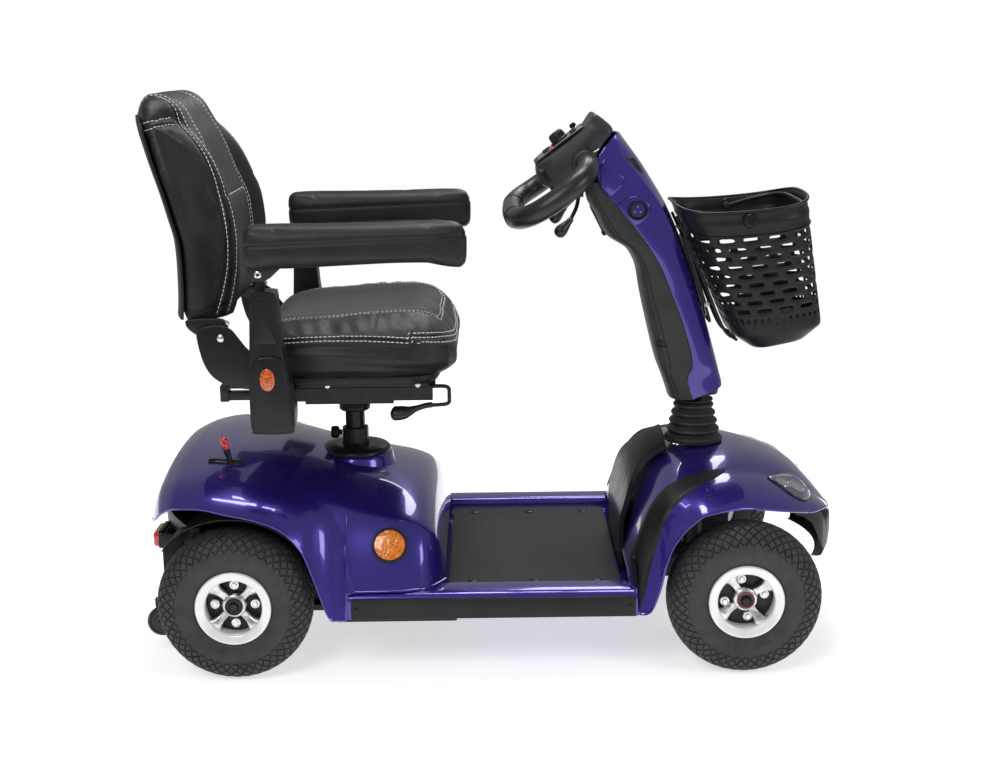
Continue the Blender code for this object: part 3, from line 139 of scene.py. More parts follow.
def paint_material():
    """Metallic clear-coated blue with fine flake and a trace of orange peel."""
    made = shader_of("metallic_blue", (0.030, 0.016, 0.24), 0.24, 0.55, Coat_Weight=1.0,
                     Coat_Roughness=0.03)
    tint(made, noise(made, 3.0), "Fac", (0.026, 0.014, 0.21), (0.037, 0.022, 0.29))
    flake = noise(made, 1800.0, 1.0)
    vary_roughness(made, flake, "Fac", 0.20, 0.30)
    bump(made, noise(made, 90.0, 2.0), "Fac", 0.03, 0.0005)
    return made


def plastic_material(name, dark, light, roughness, grain=900.0, depth=0.0003, strength=0.35):
    """Moulded plastic with spark-eroded grain and slightly worn tone."""
    made = shader_of(name, dark, roughness, Specular_IOR_Level=0.30)
    tint(made, noise(made, 18.0), "Fac", dark, light)
    fine = noise(made, grain, 3.0)
    vary_roughness(made, noise(made, 35.0), "Fac", roughness - 0.07, roughness + 0.08)
    bump(made, fine, "Fac", strength, depth)
    return made


def leather_material(name, dark, light, roughness=0.42):
    """Synthetic leather: pebbled grain with finer pores, shinier on the high spots."""
    made = shader_of(name, dark, roughness, Specular_IOR_Level=0.32)
    tint(made, noise(made, 14.0), "Fac", dark, light)
    grain = cells(made, 620.0)
    vary_roughness(made, noise(made, 40.0), "Fac", roughness - 0.08, roughness + 0.10)
    first = bump(made, grain, "Distance", 0.35, 0.0006)
    bump(made, noise(made, 220.0, 5.0), "Fac", 0.30, 0.0008, first)
    return made


def perforated_material():
    """Grey technical fabric of the seat's middle: small round holes in a staggered net."""
    made = shader_of("perforated_fabric", (0.035, 0.038, 0.041), 0.66, Sheen_Weight=0.12,
                     Sheen_Roughness=0.4)
    holes = cells(made, 330.0)
    tint(made, holes, "Distance", (0.008, 0.009, 0.0105), (0.030, 0.034, 0.038), 0.16, 0.34)
    first = bump(made, holes, "Distance", 0.6, 0.0010)
    bump(made, noise(made, 1100.0, 3.0), "Fac", 0.30, 0.0003, first)
    return made


def rubber_material(name, dark, light, roughness, scale=60.0):
    """Rubber with a dusty bloom."""
    made = shader_of(name, dark, roughness)
    cloud = noise(made, scale, 6.0)
    tint(made, cloud, "Fac", dark, light)
    vary_roughness(made, cloud, "Fac", roughness - 0.08, roughness + 0.10)
    bump(made, noise(made, 700.0, 4.0), "Fac", 0.25, 0.0004)
    return made


def metal_material(name, dark, light, roughness, metallic=1.0, stretch=(1.0, 1.0, 1.0), scale=120.0):
    made = shader_of(name, light, roughness, metallic)
    streaks = noise(made, scale, 5.0, stretch)
    tint(made, streaks, "Fac", dark, light)
    vary_roughness(made, streaks, "Fac", roughness - 0.06, roughness + 0.10)
    bump(made, streaks, "Fac", 0.12, 0.0002)
    return made


def lens_material(name, dark, light):
    """Moulded lens: a prism pattern under a smooth clear face."""
    made = shader_of(name, light, 0.12, Coat_Weight=1.0, Coat_Roughness=0.02)
    prisms = cells(made, 190.0)
    tint(made, prisms, "Distance", dark, light, 0.1, 0.65)
    bump(made, prisms, "Distance", 0.8, 0.0012)
    return made


PAINT = paint_material()
MATT_BLACK = plastic_material("black_trim", (0.006, 0.0063, 0.0066), (0.012, 0.0124, 0.013), 0.44)
SATIN_BLACK = plastic_material("black_moulding", (0.007, 0.0073, 0.0076), (0.014, 0.0144, 0.015), 0.31,
                               500.0, 0.0002, 0.2)
GREY_PLASTIC = plastic_material("grey_moulding", (0.026, 0.028, 0.031), (0.042, 0.044, 0.048), 0.38, 600.0,
                                0.0003, 0.25)
PANEL_GREY = plastic_material("panel_print", (0.12, 0.12, 0.125), (0.26, 0.26, 0.27), 0.34, 300.0, 0.0002,
                              0.15)
HOUSING_BLACK = plastic_material("grained_housing", (0.022, 0.024, 0.023), (0.034, 0.036, 0.035), 0.50)
LEATHER = leather_material("black_hide", (0.009, 0.0094, 0.0102), (0.018, 0.0187, 0.020))
GREY_LEATHER = leather_material("grey_hide", (0.026, 0.0265, 0.028), (0.052, 0.053, 0.055), 0.44)
FABRIC = perforated_material()
THREAD = plastic_material("white_thread", (0.55, 0.55, 0.56), (0.78, 0.78, 0.78), 0.7, 2500.0, 0.0004, 0.8)
TREAD_RUBBER = rubber_material("tread_rubber", (0.016, 0.017, 0.018), (0.034, 0.036, 0.038), 0.62)
SOFT_RUBBER = rubber_material("dark_rubber", (0.010, 0.010, 0.011), (0.020, 0.020, 0.021), 0.52)
GRIP_RUBBER = rubber_material("grip_rubber", (0.008, 0.008, 0.0086), (0.015, 0.015, 0.016), 0.34, 30.0)
MAT_RUBBER = rubber_material("mat_rubber", (0.022, 0.023, 0.024), (0.034, 0.035, 0.036), 0.66, 25.0)
LACQUER = shader_of("white_lacquer", (0.86, 0.86, 0.88), 0.25, 0.15, Coat_Weight=0.6, Coat_Roughness=0.08)
tint(LACQUER, noise(LACQUER, 30.0), "Fac", (0.80, 0.80, 0.82), (0.90, 0.90, 0.92))
CAST_ALLOY = metal_material("cast_alloy", (0.50, 0.50, 0.51), (0.78, 0.78, 0.79), 0.26)
BRIGHT = metal_material("bright_fastener", (0.55, 0.55, 0.56), (0.85, 0.85, 0.86), 0.18)
STEEL = metal_material("black_steel", (0.012, 0.012, 0.013), (0.026, 0.026, 0.028), 0.40, 0.35)
REFLECTOR = shader_of("lamp_mirror", (0.80, 0.81, 0.83), 0.10, 1.0)
tint(REFLECTOR, noise(REFLECTOR, 60.0), "Fac", (0.66, 0.67, 0.70), (0.88, 0.89, 0.91))
AMBER = lens_material("amber_lens", (0.38, 0.075, 0.003), (0.80, 0.23, 0.012))
DEEP_AMBER = lens_material("deep_amber_lens", (0.22, 0.030, 0.002), (0.62, 0.110, 0.006))
RED = lens_material("red_lens", (0.32, 0.004, 0.004), (0.72, 0.02, 0.02))
HUB_RING = metal_material("hub_ring", (0.10, 0.025, 0.020), (0.22, 0.07, 0.055), 0.40, 0.5)
INNER_STEEL = metal_material("inner_steel", (0.020, 0.020, 0.021), (0.045, 0.045, 0.047), 0.48, 0.4)
CLEAR = shader_of("clear_cover", (0.95, 0.96, 0.98), 0.04, Transmission_Weight=1.0, IOR=1.45)
vary_roughness(CLEAR, noise(CLEAR, 40.0), "Fac", 0.02, 0.07)


# ---------------------------------------------------------------- mesh helpers
def piece(name, bm, material, body, replaces=(), angle=38):
    """A finished piece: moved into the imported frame, faces outwards, riding on its body."""
    bm.transform(Matrix.Translation((SHIFT, 0, 0)))
    bmesh.ops.remove_doubles(bm, verts=bm.verts, dist=0.000001)
    bmesh.ops.recalc_face_normals(bm, faces=bm.faces)
    mesh = bpy.data.meshes.new(name)
    bm.to_mesh(mesh)
    bm.free()
    made = bpy.data.objects.new(name, mesh)
    bpy.context.scene.collection.objects.link(made)
    for one in material if isinstance(material, (list, tuple)) else (material,):
        mesh.materials.append(one)
    smooth(made, angle)
    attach(made, body)
    if replaces:
        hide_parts(*((replaces,) if isinstance(replaces, str) else replaces))
    return made


def smooth(made, angle=38):
    made.data.shade_smooth()
    made.data.set_sharp_from_angle(angle=math.radians(angle))


def applied(made, angle=None):
    """The object's mesh as its modifiers make it."""
    depsgraph = bpy.context.evaluated_depsgraph_get()
    depsgraph.update()
    mesh = bpy.data.meshes.new_from_object(made.evaluated_get(depsgraph))
    old = made.data
    made.modifiers.clear()
    made.data = mesh
    bpy.data.meshes.remove(old)
    if angle:
        smooth(made, angle)
    return made


def bevelled(made, width, segments=2, limit=35, angle=40):
    bevel = made.modifiers.new("bevel", "BEVEL")
    bevel.width = width
    bevel.segments = segments
    bevel.limit_method = "ANGLE"
    bevel.angle_limit = math.radians(limit)
    bevel.harden_normals = False
    return applied(made, angle)


def thickened(made, wall, inner=None, angle=40):
    """Gives a sheet its wall, on the side away from its normals, with its own inner material."""
    solid = made.modifiers.new("wall", "SOLIDIFY")
    solid.thickness = wall
    solid.offset = -1.0
    solid.use_even_offset = True
    if inner is not None:
        made.data.materials.append(inner)
        solid.material_offset = 1
    return applied(made, angle)


def surface(bm, rows, closed=False, cap_first=False, cap_last=False, material=0):
    made = [[bm.verts.new(point) for point in row] for row in rows]
    count = len(rows[0])
    for lower, upper in zip(made, made[1:]):
        for i in range(count if closed else count - 1):
            j = (i + 1) % count
            face = bm.faces.new((lower[i], lower[j], upper[j], upper[i]))
            face.material_index = material
    if cap_first:
        bm.faces.new(made[0]).material_index = material
    if cap_last:
        bm.faces.new(made[-1]).material_index = material
    return made


def loft(bm, rings):
    """A closed form through rings, with both ends capped."""
    surface(bm, rings, closed=True, cap_first=True, cap_last=True)


def spline(points, samples, closed=False):
    """Points along a smooth curve through the given ones (uniform Catmull-Rom), evenly by span."""
    points = np.array(points, float)
    count = len(points)
    if closed:
        stations = np.linspace(0, count, samples, endpoint=False)
    else:
        stations = np.linspace(0, count - 1, samples)
    out = []
    for station in stations:
        i = int(min(math.floor(station), count - (1 if closed else 2)))
        t = station - i
        if closed:
            around = [points[(i + k) % count] for k in (-1, 0, 1, 2)]
        else:
            first = points[i - 1] if i > 0 else 2 * points[0] - points[1]
            last = points[i + 2] if i + 2 < count else 2 * points[-1] - points[-2]
            around = [first, points[i], points[i + 1], last]
        a, b, c, d = around
        out.append(0.5 * (2 * b + (c - a) * t + (2 * a - 5 * b + 4 * c - d) * t ** 2
                          + (3 * b - a - 3 * c + d) * t ** 3))
    return np.array(out)


def monotone(xs, ys, x):
    """Smooth interpolation that never overshoots its table."""
    xs = np.asarray(xs, float)
    ys = np.asarray(ys, float)
    x = np.clip(np.asarray(x, float), xs[0], xs[-1])
    step = np.diff(xs)
    slope = np.diff(ys) / step
    tangent = np.zeros(len(xs))
    tangent[0], tangent[-1] = slope[0], slope[-1]
    for i in range(1, len(xs) - 1):
        if slope[i - 1] * slope[i] > 0:
            tangent[i] = 2 * slope[i - 1] * slope[i] / (slope[i - 1] + slope[i])
    i = np.clip(np.searchsorted(xs, x) - 1, 0, len(xs) - 2)
    t = (x - xs[i]) / step[i]
    return ((2 * t ** 3 - 3 * t ** 2 + 1) * ys[i] + (t ** 3 - 2 * t ** 2 + t) * step[i] * tangent[i]
            + (3 * t ** 2 - 2 * t ** 3) * ys[i + 1] + (t ** 3 - t ** 2) * step[i] * tangent[i + 1])


def step_up(low, high, value):
    """0 below low, 1 above high, eased between."""
    t = np.clip((np.asarray(value, float) - low) / (high - low), 0, 1)
    return t * t * (3 - 2 * t)


def tube(bm, points, radius, sides=12, closed=False, caps=True, material=0, flat=1.0):
    """A round bar along points; radius may be one number or one for each point."""
    points = [Vector(point) for point in points]
    count = len(points)
    radii = [float(r) for r in (radius if hasattr(radius, "__len__") else [radius] * count)]
    tangents = []
    for i in range(count):
        after = points[(i + 1) % count] if closed or i + 1 < count else points[i]
        before = points[i - 1] if closed or i > 0 else points[i]
        tangents.append((after - before).normalized())
    side = tangents[0].orthogonal().normalized()
    rows = []
    for i, (point, tangent) in enumerate(zip(points, tangents)):
        side = (side - tangent * side.dot(tangent)).normalized()
        up = tangent.cross(side)
        ring = []
        for k in range(sides):
            angle = 2 * math.pi * k / sides
            ring.append(point + radii[i] * (side * math.cos(angle) + up * math.sin(angle) * flat))
        rows.append(ring)
    if closed:
        rows.append(rows[0])
        caps = False
    surface(bm, rows, closed=True, cap_first=caps, cap_last=caps, material=material)


def turned(bm, profile, centre, axis, steps=48, closed=False, material=0):
    """A profile of (radius, height) turned about an axis. Open ends on the axis close themselves."""
    turn = Vector(axis).normalized().to_track_quat("Z", "Y").to_matrix()
    centre = Vector(centre)
    rows = []
    for radius, height in list(profile) + ([profile[0]] if closed else []):
        rows.append([
            centre + turn @ Vector((radius * math.cos(a), radius * math.sin(a), height))
            for a in (2 * math.pi * k / steps for k in range(steps))
        ])
    surface(bm, rows, closed=True, cap_first=not closed, cap_last=not closed, material=material)


def prism(bm, outline, low, high, axis="Y", material=0):
    """An outline given a thickness: (x, z) along Y, (y, z) along X, (x, y) along Z."""
    place = {"Y": lambda u, v, w: (u, w, v), "X": lambda u, v, w: (w, u, v), "Z": lambda u, v,
             w: (u, v, w)}[axis]
    rows = [[place(u, v, w) for u, v in outline] for w in (low, high)]
    surface(bm, rows, closed=True, cap_first=True, cap_last=True, material=material)


def side_prism(bm, outline, side, near, far):
    """An (x, z) outline between two distances from the middle, on one side."""
    low, high = sorted((side * near, side * far))
    prism(bm, outline, low, high)


def block(bm, low, high, material=0):
    prism(bm, [(low[0], low[1]), (high[0], low[1]), (high[0], high[1]), (low[0], high[1])], low[2], high[2],
          "Z", material)


def side_block(bm, side, x, y, z, material=0):
    low, high = sorted((side * y[0], side * y[1]))
    block(bm, (x[0], low, z[0]), (x[1], high, z[1]), material)


def bolt(bm, centre, axis, radius=0.005, height=0.003, sides=6, material=0):
    """A washer with a chamfered hexagon head, or a domed screw with more sides."""
    turned(bm, ((radius * 1.45, 0), (radius * 1.45, height * 0.25), (radius * 1.2, height * 0.3)), centre,
           axis, 20, material=material)
    turned(bm, ((radius, height * 0.2), (radius, height * 0.85), (radius * 0.82, height),
                (radius * 0.4, height)),
           centre, axis, sides, material=material)


def rounded(low, high, radius, count=6):
    """A rectangle with round corners."""
    points = []
    for x, y, start in ((high[0], high[1], 0), (low[0], high[1], 90), (low[0], low[1], 180),
                        (high[0], low[1], 270)):
        cx = x - radius if x == high[0] else x + radius
        cy = y - radius if y == high[1] else y + radius
        for i in range(count + 1):
            a = math.radians(start + 90 * i / count)
            points.append((cx + radius * math.cos(a), cy + radius * math.sin(a)))
    return points


# ---------------------------------------------------------------- covers and deck
# Cover stations: distance forward, top, crease half width, crease height, foot half width, foot height
SILL_FOOT = 0.1545
LEG_FOOT = 0.1085
REAR_COVER = np.array((
    (-0.1500, 0.2620, 0.1100, 0.2570, 0.1500, 0.2520), (-0.1460, 0.2900, 0.1400, 0.2780, 0.1850, 0.2540),
    (-0.1360, 0.3210, 0.1600, 0.3050, 0.2150, 0.2640), (-0.1180, 0.3430, 0.1780, 0.3240, 0.2430, 0.2830),
    (-0.0900, 0.3510, 0.1920, 0.3350, 0.2660, 0.2990), (-0.0500, 0.3520, 0.2000, 0.3390, 0.2800, 0.3020),
    (0.0000, 0.3500, 0.2010, 0.3330, 0.2860, 0.2930), (0.0450, 0.3465, 0.2020, 0.3236, 0.2870, 0.2830),
    (0.0840, 0.3410, 0.2030, 0.3140, 0.2870, 0.2660), (0.1170, 0.3350, 0.2035, 0.3034, 0.2870, 0.2300),
    (0.1370, 0.3300, 0.2040, 0.2980, 0.2870, 0.1770), (0.1540, 0.3250, 0.2050, 0.2937, 0.2870, 0.1250),
    (0.1640, 0.3220, 0.2060, 0.2909, 0.2860, LEG_FOOT), (0.1865, 0.3150, 0.2080, 0.2848, 0.2850, LEG_FOOT),
    (0.1875, 0.3148, 0.2080, 0.2846, 0.2840, SILL_FOOT), (0.2350, 0.3040, 0.2140, 0.2729, 0.2830, SILL_FOOT),
    (0.2800, 0.2920, 0.2200, 0.2625, 0.2800, SILL_FOOT), (0.3100, 0.2770, 0.2160, 0.2524, 0.2720, SILL_FOOT),
    (0.3300, 0.2530, 0.2050, 0.2360, 0.2550, SILL_FOOT), (0.3430, 0.2160, 0.1950, 0.2050, 0.2370, SILL_FOOT),
    (0.3500, 0.1800, 0.1880, 0.1740, 0.2240, SILL_FOOT),
))
FRONT_COVER = np.array((
    (0.6580, 0.1700, 0.2000, 0.1680, 0.2620, SILL_FOOT), (0.6670, 0.2080, 0.2120, 0.2040, 0.2790, SILL_FOOT),
    (0.6695, 0.2160, 0.2130, 0.2110, 0.2810, 0.1110), (0.6800, 0.2460, 0.2140, 0.2390, 0.2840, 0.1110),
    (0.6900, 0.2680, 0.2120, 0.2590, 0.2850, 0.1150), (0.7060, 0.2940, 0.2080, 0.2810, 0.2850, 0.1530),
    (0.7160, 0.3060, 0.2050, 0.2910, 0.2840, 0.1970), (0.7280, 0.3160, 0.2000, 0.2990, 0.2820, 0.2280),
    (0.7500, 0.3250, 0.1900, 0.3060, 0.2790, 0.2560), (0.7840, 0.3320, 0.1720, 0.3120, 0.2740, 0.2790),
    (0.8360, 0.3340, 0.1500, 0.3150, 0.2580, 0.2830), (0.8800, 0.3280, 0.1350, 0.3090, 0.2430, 0.2770),
    (0.9200, 0.3170, 0.1250, 0.2980, 0.2250, 0.2680), (0.9550, 0.3020, 0.1150, 0.2840, 0.2000, 0.2585),
    (0.9770, 0.2880, 0.1050, 0.2720, 0.1800, 0.2515), (0.9950, 0.2720, 0.0950, 0.2590, 0.1580, 0.2490),
    (1.0120, 0.2540, 0.0820, 0.2450, 0.1300, 0.2450), (1.0240, 0.2400, 0.0700, 0.2350, 0.1000, 0.2300),
))
CROWN_POWER = {"rear": 2.3, "front": 2.6}
SIDE_PULL = (0.66, 0.24)      # how the side leaves the crease: share of its width and of its height
CROWN_STEPS = 16
SIDE_STEPS = 30
COVER_WALL = 0.0028
FLARE = 0.0050                # the rear arch stands this far out from the side panel
INDICATOR_X = 0.2593           # round side lamp: distance forward and share down the side
INDICATOR_SHARE = 0.50
FLARE_EDGE = ((0.3148, 0.0797), (0.2983, 0.1225), (0.2727, 0.1537), (0.2259, 0.1787), (0.1715, 0.1948),
              (0.1000, 0.2060))

KNOWN_STATIONS = {}           # cover sections already worked out


def cover_station(table, x):
    """A cover's section at a distance forward, read from its table."""
    key = (id(table), float(x))
    if key not in KNOWN_STATIONS:
        KNOWN_STATIONS[key] = [float(monotone(table[:, 0], table[:, k], x)) for k in range(1, 6)]
    return KNOWN_STATIONS[key]


def cover_point(table, power, x, share):
    """A point on the right half of a cover: share 0 is the middle, 1 the crease and 2 the foot."""
    top, crease_y, crease_z, foot_y, foot_z = cover_station(table, x)
    if share <= 1:
        return np.array((x, -crease_y * share, top - (top - crease_z) * share ** power))
    t = share - 1
    pull_y = crease_y + SIDE_PULL[0] * (foot_y - crease_y)
    pull_z = crease_z - SIDE_PULL[1] * (crease_z - foot_z)
    y = (1 - t) ** 2 * crease_y + 2 * t * (1 - t) * pull_y + t * t * foot_y
    z = (1 - t) ** 2 * crease_z + 2 * t * (1 - t) * pull_z + t * t * foot_z
    return np.array((x, -y, z))


def rear_point(x, share):
    """The seat box: the wheel arch stands out from the panel in front of it."""
    point = cover_point(REAR_COVER, CROWN_POWER["rear"], x, share)
    heights = np.array(FLARE_EDGE)[::-1]
    edge = float(np.interp(point[2], heights[:, 0], heights[:, 1]))
    out = FLARE * float(step_up(-0.007, 0.007, edge - x)) * float(step_up(1.0, 1.35, share))
    point[1] -= out - FLARE * 0.6 * float(step_up(1.0, 1.35, share))
    return point


def front_point(x, share):
    return cover_point(FRONT_COVER, CROWN_POWER["front"], x, share)


def soft_rows(rows, passes):
    """Rounds creases: each pass moves points towards the middle of their neighbours along a row."""
    grid = np.array(rows)
    for _ in range(passes):
        grid[:, 1:-1] = 0.25 * grid[:, :-2] + 0.5 * grid[:, 1:-1] + 0.25 * grid[:, 2:]
    return grid


def cover_grid(point, xs, passes=4):
    shares = np.concatenate([np.linspace(0, 1, CROWN_STEPS + 1), 1 + np.linspace(0, 1, SIDE_STEPS + 1)[1:]])
    half = np.array([[point(x, share) for share in shares] for x in xs])
    mirror = half[:, :0:-1].copy()
    mirror[:, :, 1] *= -1
    return soft_rows(np.concatenate([mirror, half], axis=1), passes)


def stations(table, fine):
    """Evenly spread stations plus the table's own, so that its steps stay sharp."""
    xs = set(np.round(np.linspace(table[0, 0], table[-1, 0], fine), 6))
    return sorted(xs | set(table[:, 0]))


def normal_at(point, x, share, side=-1):
    step = 0.002
    along = point(x + step, share) - point(x - step, share)
    across = point(x, share + step) - point(x, share - step)
    found = Vector(along).cross(Vector(across)).normalized()
    if found.z < 0 and share < 1.4 or found.y > 0 and share >= 1.4:
        found = -found
    return Vector((found.x, -side * found.y, found.z))


def on_cover(point, x, share, lift, side=-1):
    base = point(x, share)
    return Vector((base[0], -side * base[1], base[2])) + normal_at(point, x, share, side) * lift


def cover_share(point, x, y):
    """The share of the section at which the cover reaches a distance from the middle."""
    shares = np.linspace(0, 2, 161)
    ys = np.array([-point(x, share)[1] for share in shares])
    return float(np.interp(abs(y), ys, shares))


def make_cover(name, table, point, node, hole=None):
    grid = cover_grid(point, stations(table, 150))
    bm = bmesh.new()
    surface(bm, grid)
    if hole is not None:
        centre, radius = hole
        middle = [f for f in bm.faces if (f.calc_center_median().xy - Vector(centre)).length < radius]
        bmesh.ops.delete(bm, geom=middle, context="FACES")
    cover = piece(name, bm, PAINT, "chassis", node, angle=50)
    if sum(p.normal.z * p.area for p in cover.data.polygons) < 0:
        cover.data.flip_normals()
    thickened(cover, COVER_WALL, MATT_BLACK, 50)
    beads = bmesh.new()
    for side in (0, -1):
        tube(beads, grid[:, side], 0.0021, 8)
    tube(beads, grid[0], 0.0018, 8)
    piece(name + "_rolled_edge", beads, PAINT, "chassis")


def cover_patch(name, point, outline, material, lift, thickness, body="chassis"):
    """A moulded pad on both sides of a cover, between two edges given as (x, inner share, outer share)."""
    table = np.array(outline)
    xs = np.linspace(table[0, 0], table[-1, 0], 60)
    inner = np.interp(xs, table[:, 0], table[:, 1])
    outer = np.interp(xs, table[:, 0], table[:, 2])
    for _ in range(6):
        inner[1:-1] = 0.25 * inner[:-2] + 0.5 * inner[1:-1] + 0.25 * inner[2:]
        outer[1:-1] = 0.25 * outer[:-2] + 0.5 * outer[1:-1] + 0.25 * outer[2:]
    for word, side in SIDES:
        rings = []
        for x, a, b in zip(xs, inner, outer):
            shares = np.linspace(a, b, 13)
            low = [on_cover(point, x, s, lift - thickness, side) for s in shares]
            crown = [thickness * min(1.0, 4.2 * min(i, 12 - i) / 12 + 0.35) for i in range(13)]
            high = [on_cover(point, x, s, lift - thickness + c, side) for s, c in zip(shares, crown)]
            rings.append(low + high[::-1])
        bm = bmesh.new()
        loft(bm, rings)
        piece(f"{name}_{word}", bm, material, body, angle=45)


def make_covers():
    """The painted seat box and front fairing."""
    make_cover("seat_box", REAR_COVER, rear_point, "rear_cover", ((SEAT_X, 0), 0.040))
    make_cover("front_fairing", FRONT_COVER, front_point, "front_cover", ((COLUMN_X, 0), 0.036))


def make_fairing_wall():
    """Painted wall across the front fairing, ahead of the mat."""
    bm = bmesh.new()
    wall_x, foot_z = 0.690, 0.1270
    high = [on_cover(front_point, wall_x, share, -0.0035, side) for side,
            run in ((-1, (1.96, 0.0)), (1, (0.0, 1.96)))
            for share in np.linspace(*run, 30)]
    surface(bm, [high] + [[Vector((wall_x, p[1], foot_z + (p[2] - foot_z) * t)) for p in high]
                          for t in (0.66, 0.33, 0.0)])
    piece("fairing_wall", bm, PAINT, "chassis", angle=60)


def make_post_boss():
    """Round boss under the seat post, with its black rubber ring."""
    bm = bmesh.new()
    turned(bm, ((0.0600, 0.3245), (0.0645, 0.3205), (0.0670, 0.3140), (0.0690, 0.3040), (0.0735, 0.2965),
                (0.0800, 0.2880), (0.0500, 0.2880)), (SEAT_X, 0, 0), (0, 0, 1), 96)
    piece("post_boss", bm, PAINT, "chassis", angle=60)
    bm = bmesh.new()
    turned(bm, ((0.0240, 0.3300), (0.0240, 0.3350), (0.0270, 0.3365), (0.0450, 0.3350), (0.0575, 0.3320),
                (0.0625, 0.3275),
                (0.0625, 0.3240), (0.0600, 0.3225), (0.0240, 0.3225)), (SEAT_X, 0, 0), (0, 0, 1), 96,
                closed=True)
    piece("post_boot", bm, SATIN_BLACK, "chassis", angle=50)


def make_fender_pads():
    """Black pads over the front wheels."""
    cover_patch("fender_pad", front_point, (
        (0.6640, 1.00, 1.97), (0.6760, 0.98, 1.96), (0.6830, 0.97, 1.82), (0.6950, 0.94, 1.60),
        (0.7120, 0.925, 1.49),
        (0.7420, 0.91, 1.39), (0.7800, 0.89, 1.24), (0.8130, 0.90, 1.10), (0.8300, 0.94, 0.99),
    ), MATT_BLACK, 0.0024, 0.0040)


def make_indicators():
    """Side indicators: a black bezel with a domed amber lens."""
    for word, side in SIDES:
        share = 1.0 + INDICATOR_SHARE
        centre = on_cover(rear_point, INDICATOR_X, share, 0.0, side)
        out = normal_at(rear_point, INDICATOR_X, share, side)
        bm = bmesh.new()
        turned(bm, ((0.0280, -0.004), (0.0300, 0.0010), (0.0295, 0.0030), (0.0272, 0.0042),
                    (0.0258, 0.0034), (0.0255, 0.0010)),
               centre, out, 64)
        piece(f"indicator_bezel_{word}", bm, SATIN_BLACK, "chassis", angle=60)
        bm = bmesh.new()
        turned(bm, ((0.0256, 0.0012), (0.0250, 0.0034), (0.0200, 0.0047), (0.0120, 0.0054),
                    (0.0040, 0.0057), (0.0006, 0.0057)),
               centre, out, 64)
        piece(f"indicator_lens_{word}", bm, AMBER, "chassis", f"indicator_{word}", angle=60)


def headlight_outline(side, scale, count=44):
    """The almond outline of a headlight in plan, about its middle."""
    corners = ((0.9060, 0.1370), (0.9300, 0.1110), (0.9560, 0.0920), (0.9760, 0.0920), (0.9850, 0.1100),
               (0.9800, 0.1440), (0.9640, 0.1700), (0.9400, 0.1740), (0.9180, 0.1570))
    ring = spline([(x, y, 0.0) for x, y in corners], count, closed=True)
    middle = ring.mean(axis=0)
    return [(middle[0] + (x - middle[0]) * scale, side * (middle[1] + (y - middle[1]) * scale)) for x, y,
            _ in ring]


def headlight_ring(side, scale, lift):
    points = []
    for x, y in headlight_outline(side, scale):
        points.append(on_cover(front_point, x, cover_share(front_point, x, y), lift, side))
    return points


def make_headlights():
    for word, side in SIDES:
        bezel = bmesh.new()
        rings = [headlight_ring(side, s, h) for s,
                 h in ((1.02, 0.0002), (1.0, 0.0020), (0.95, 0.0022), (0.92, 0.0006), (0.90, -0.0030))]
        surface(bezel, rings, closed=True, cap_last=True)
        piece(f"headlight_housing_{word}", bezel, SATIN_BLACK, "chassis", angle=60)
        bowls = bmesh.new()
        for u, radius in ((0.28, 0.0135), (0.66, 0.0165)):
            x = 0.916 + 0.062 * u
            y = side * (0.1480 - 0.0270 * u)
            share = cover_share(front_point, x, y)
            centre = on_cover(front_point, x, share, -0.0024, side)
            out = normal_at(front_point, x, share, side)
            turned(bowls, ((radius, 0.0030), (radius * 0.96, 0.0036), (radius * 0.8, 0.0014),
                           (radius * 0.5, 0.0000),
                           (radius * 0.3, -0.0002), (radius * 0.28, 0.0016), (radius * 0.1, 0.0020)),
                           centre, out, 32)
        piece(f"headlight_bowls_{word}", bowls, REFLECTOR, "chassis", angle=60)
        strip = bmesh.new()
        inner = headlight_ring(side, 0.93, 0.0010)
        outer = headlight_ring(side, 0.72, -0.0008)
        half = len(inner) // 2
        surface(strip, [inner[-6:] + inner[:half // 2], outer[-6:] + outer[:half // 2]])
        surface(strip, [inner[half - 2:half + 9], outer[half - 2:half + 9]])
        piece(f"headlight_trim_{word}", strip, REFLECTOR, "chassis", angle=60)
        lens = bmesh.new()
        rings = [headlight_ring(side, s, h) for s,
                 h in ((0.955, 0.0016), (0.94, 0.0030), (0.80, 0.0040), (0.5, 0.0048), (0.2, 0.0050))]
        surface(lens, rings, closed=True, cap_last=True)
        glass = piece(f"headlight_lens_{word}", lens, CLEAR, "chassis", f"headlight_{word}",
                      angle=60)
        thickened(glass, 0.0008, None, 60)


# Press studs of the mat: distance forward and distance from the middle
MAT_STUDS = ((0.3950, 0.1900), (0.5020, 0.1900), (0.6080, 0.1900))


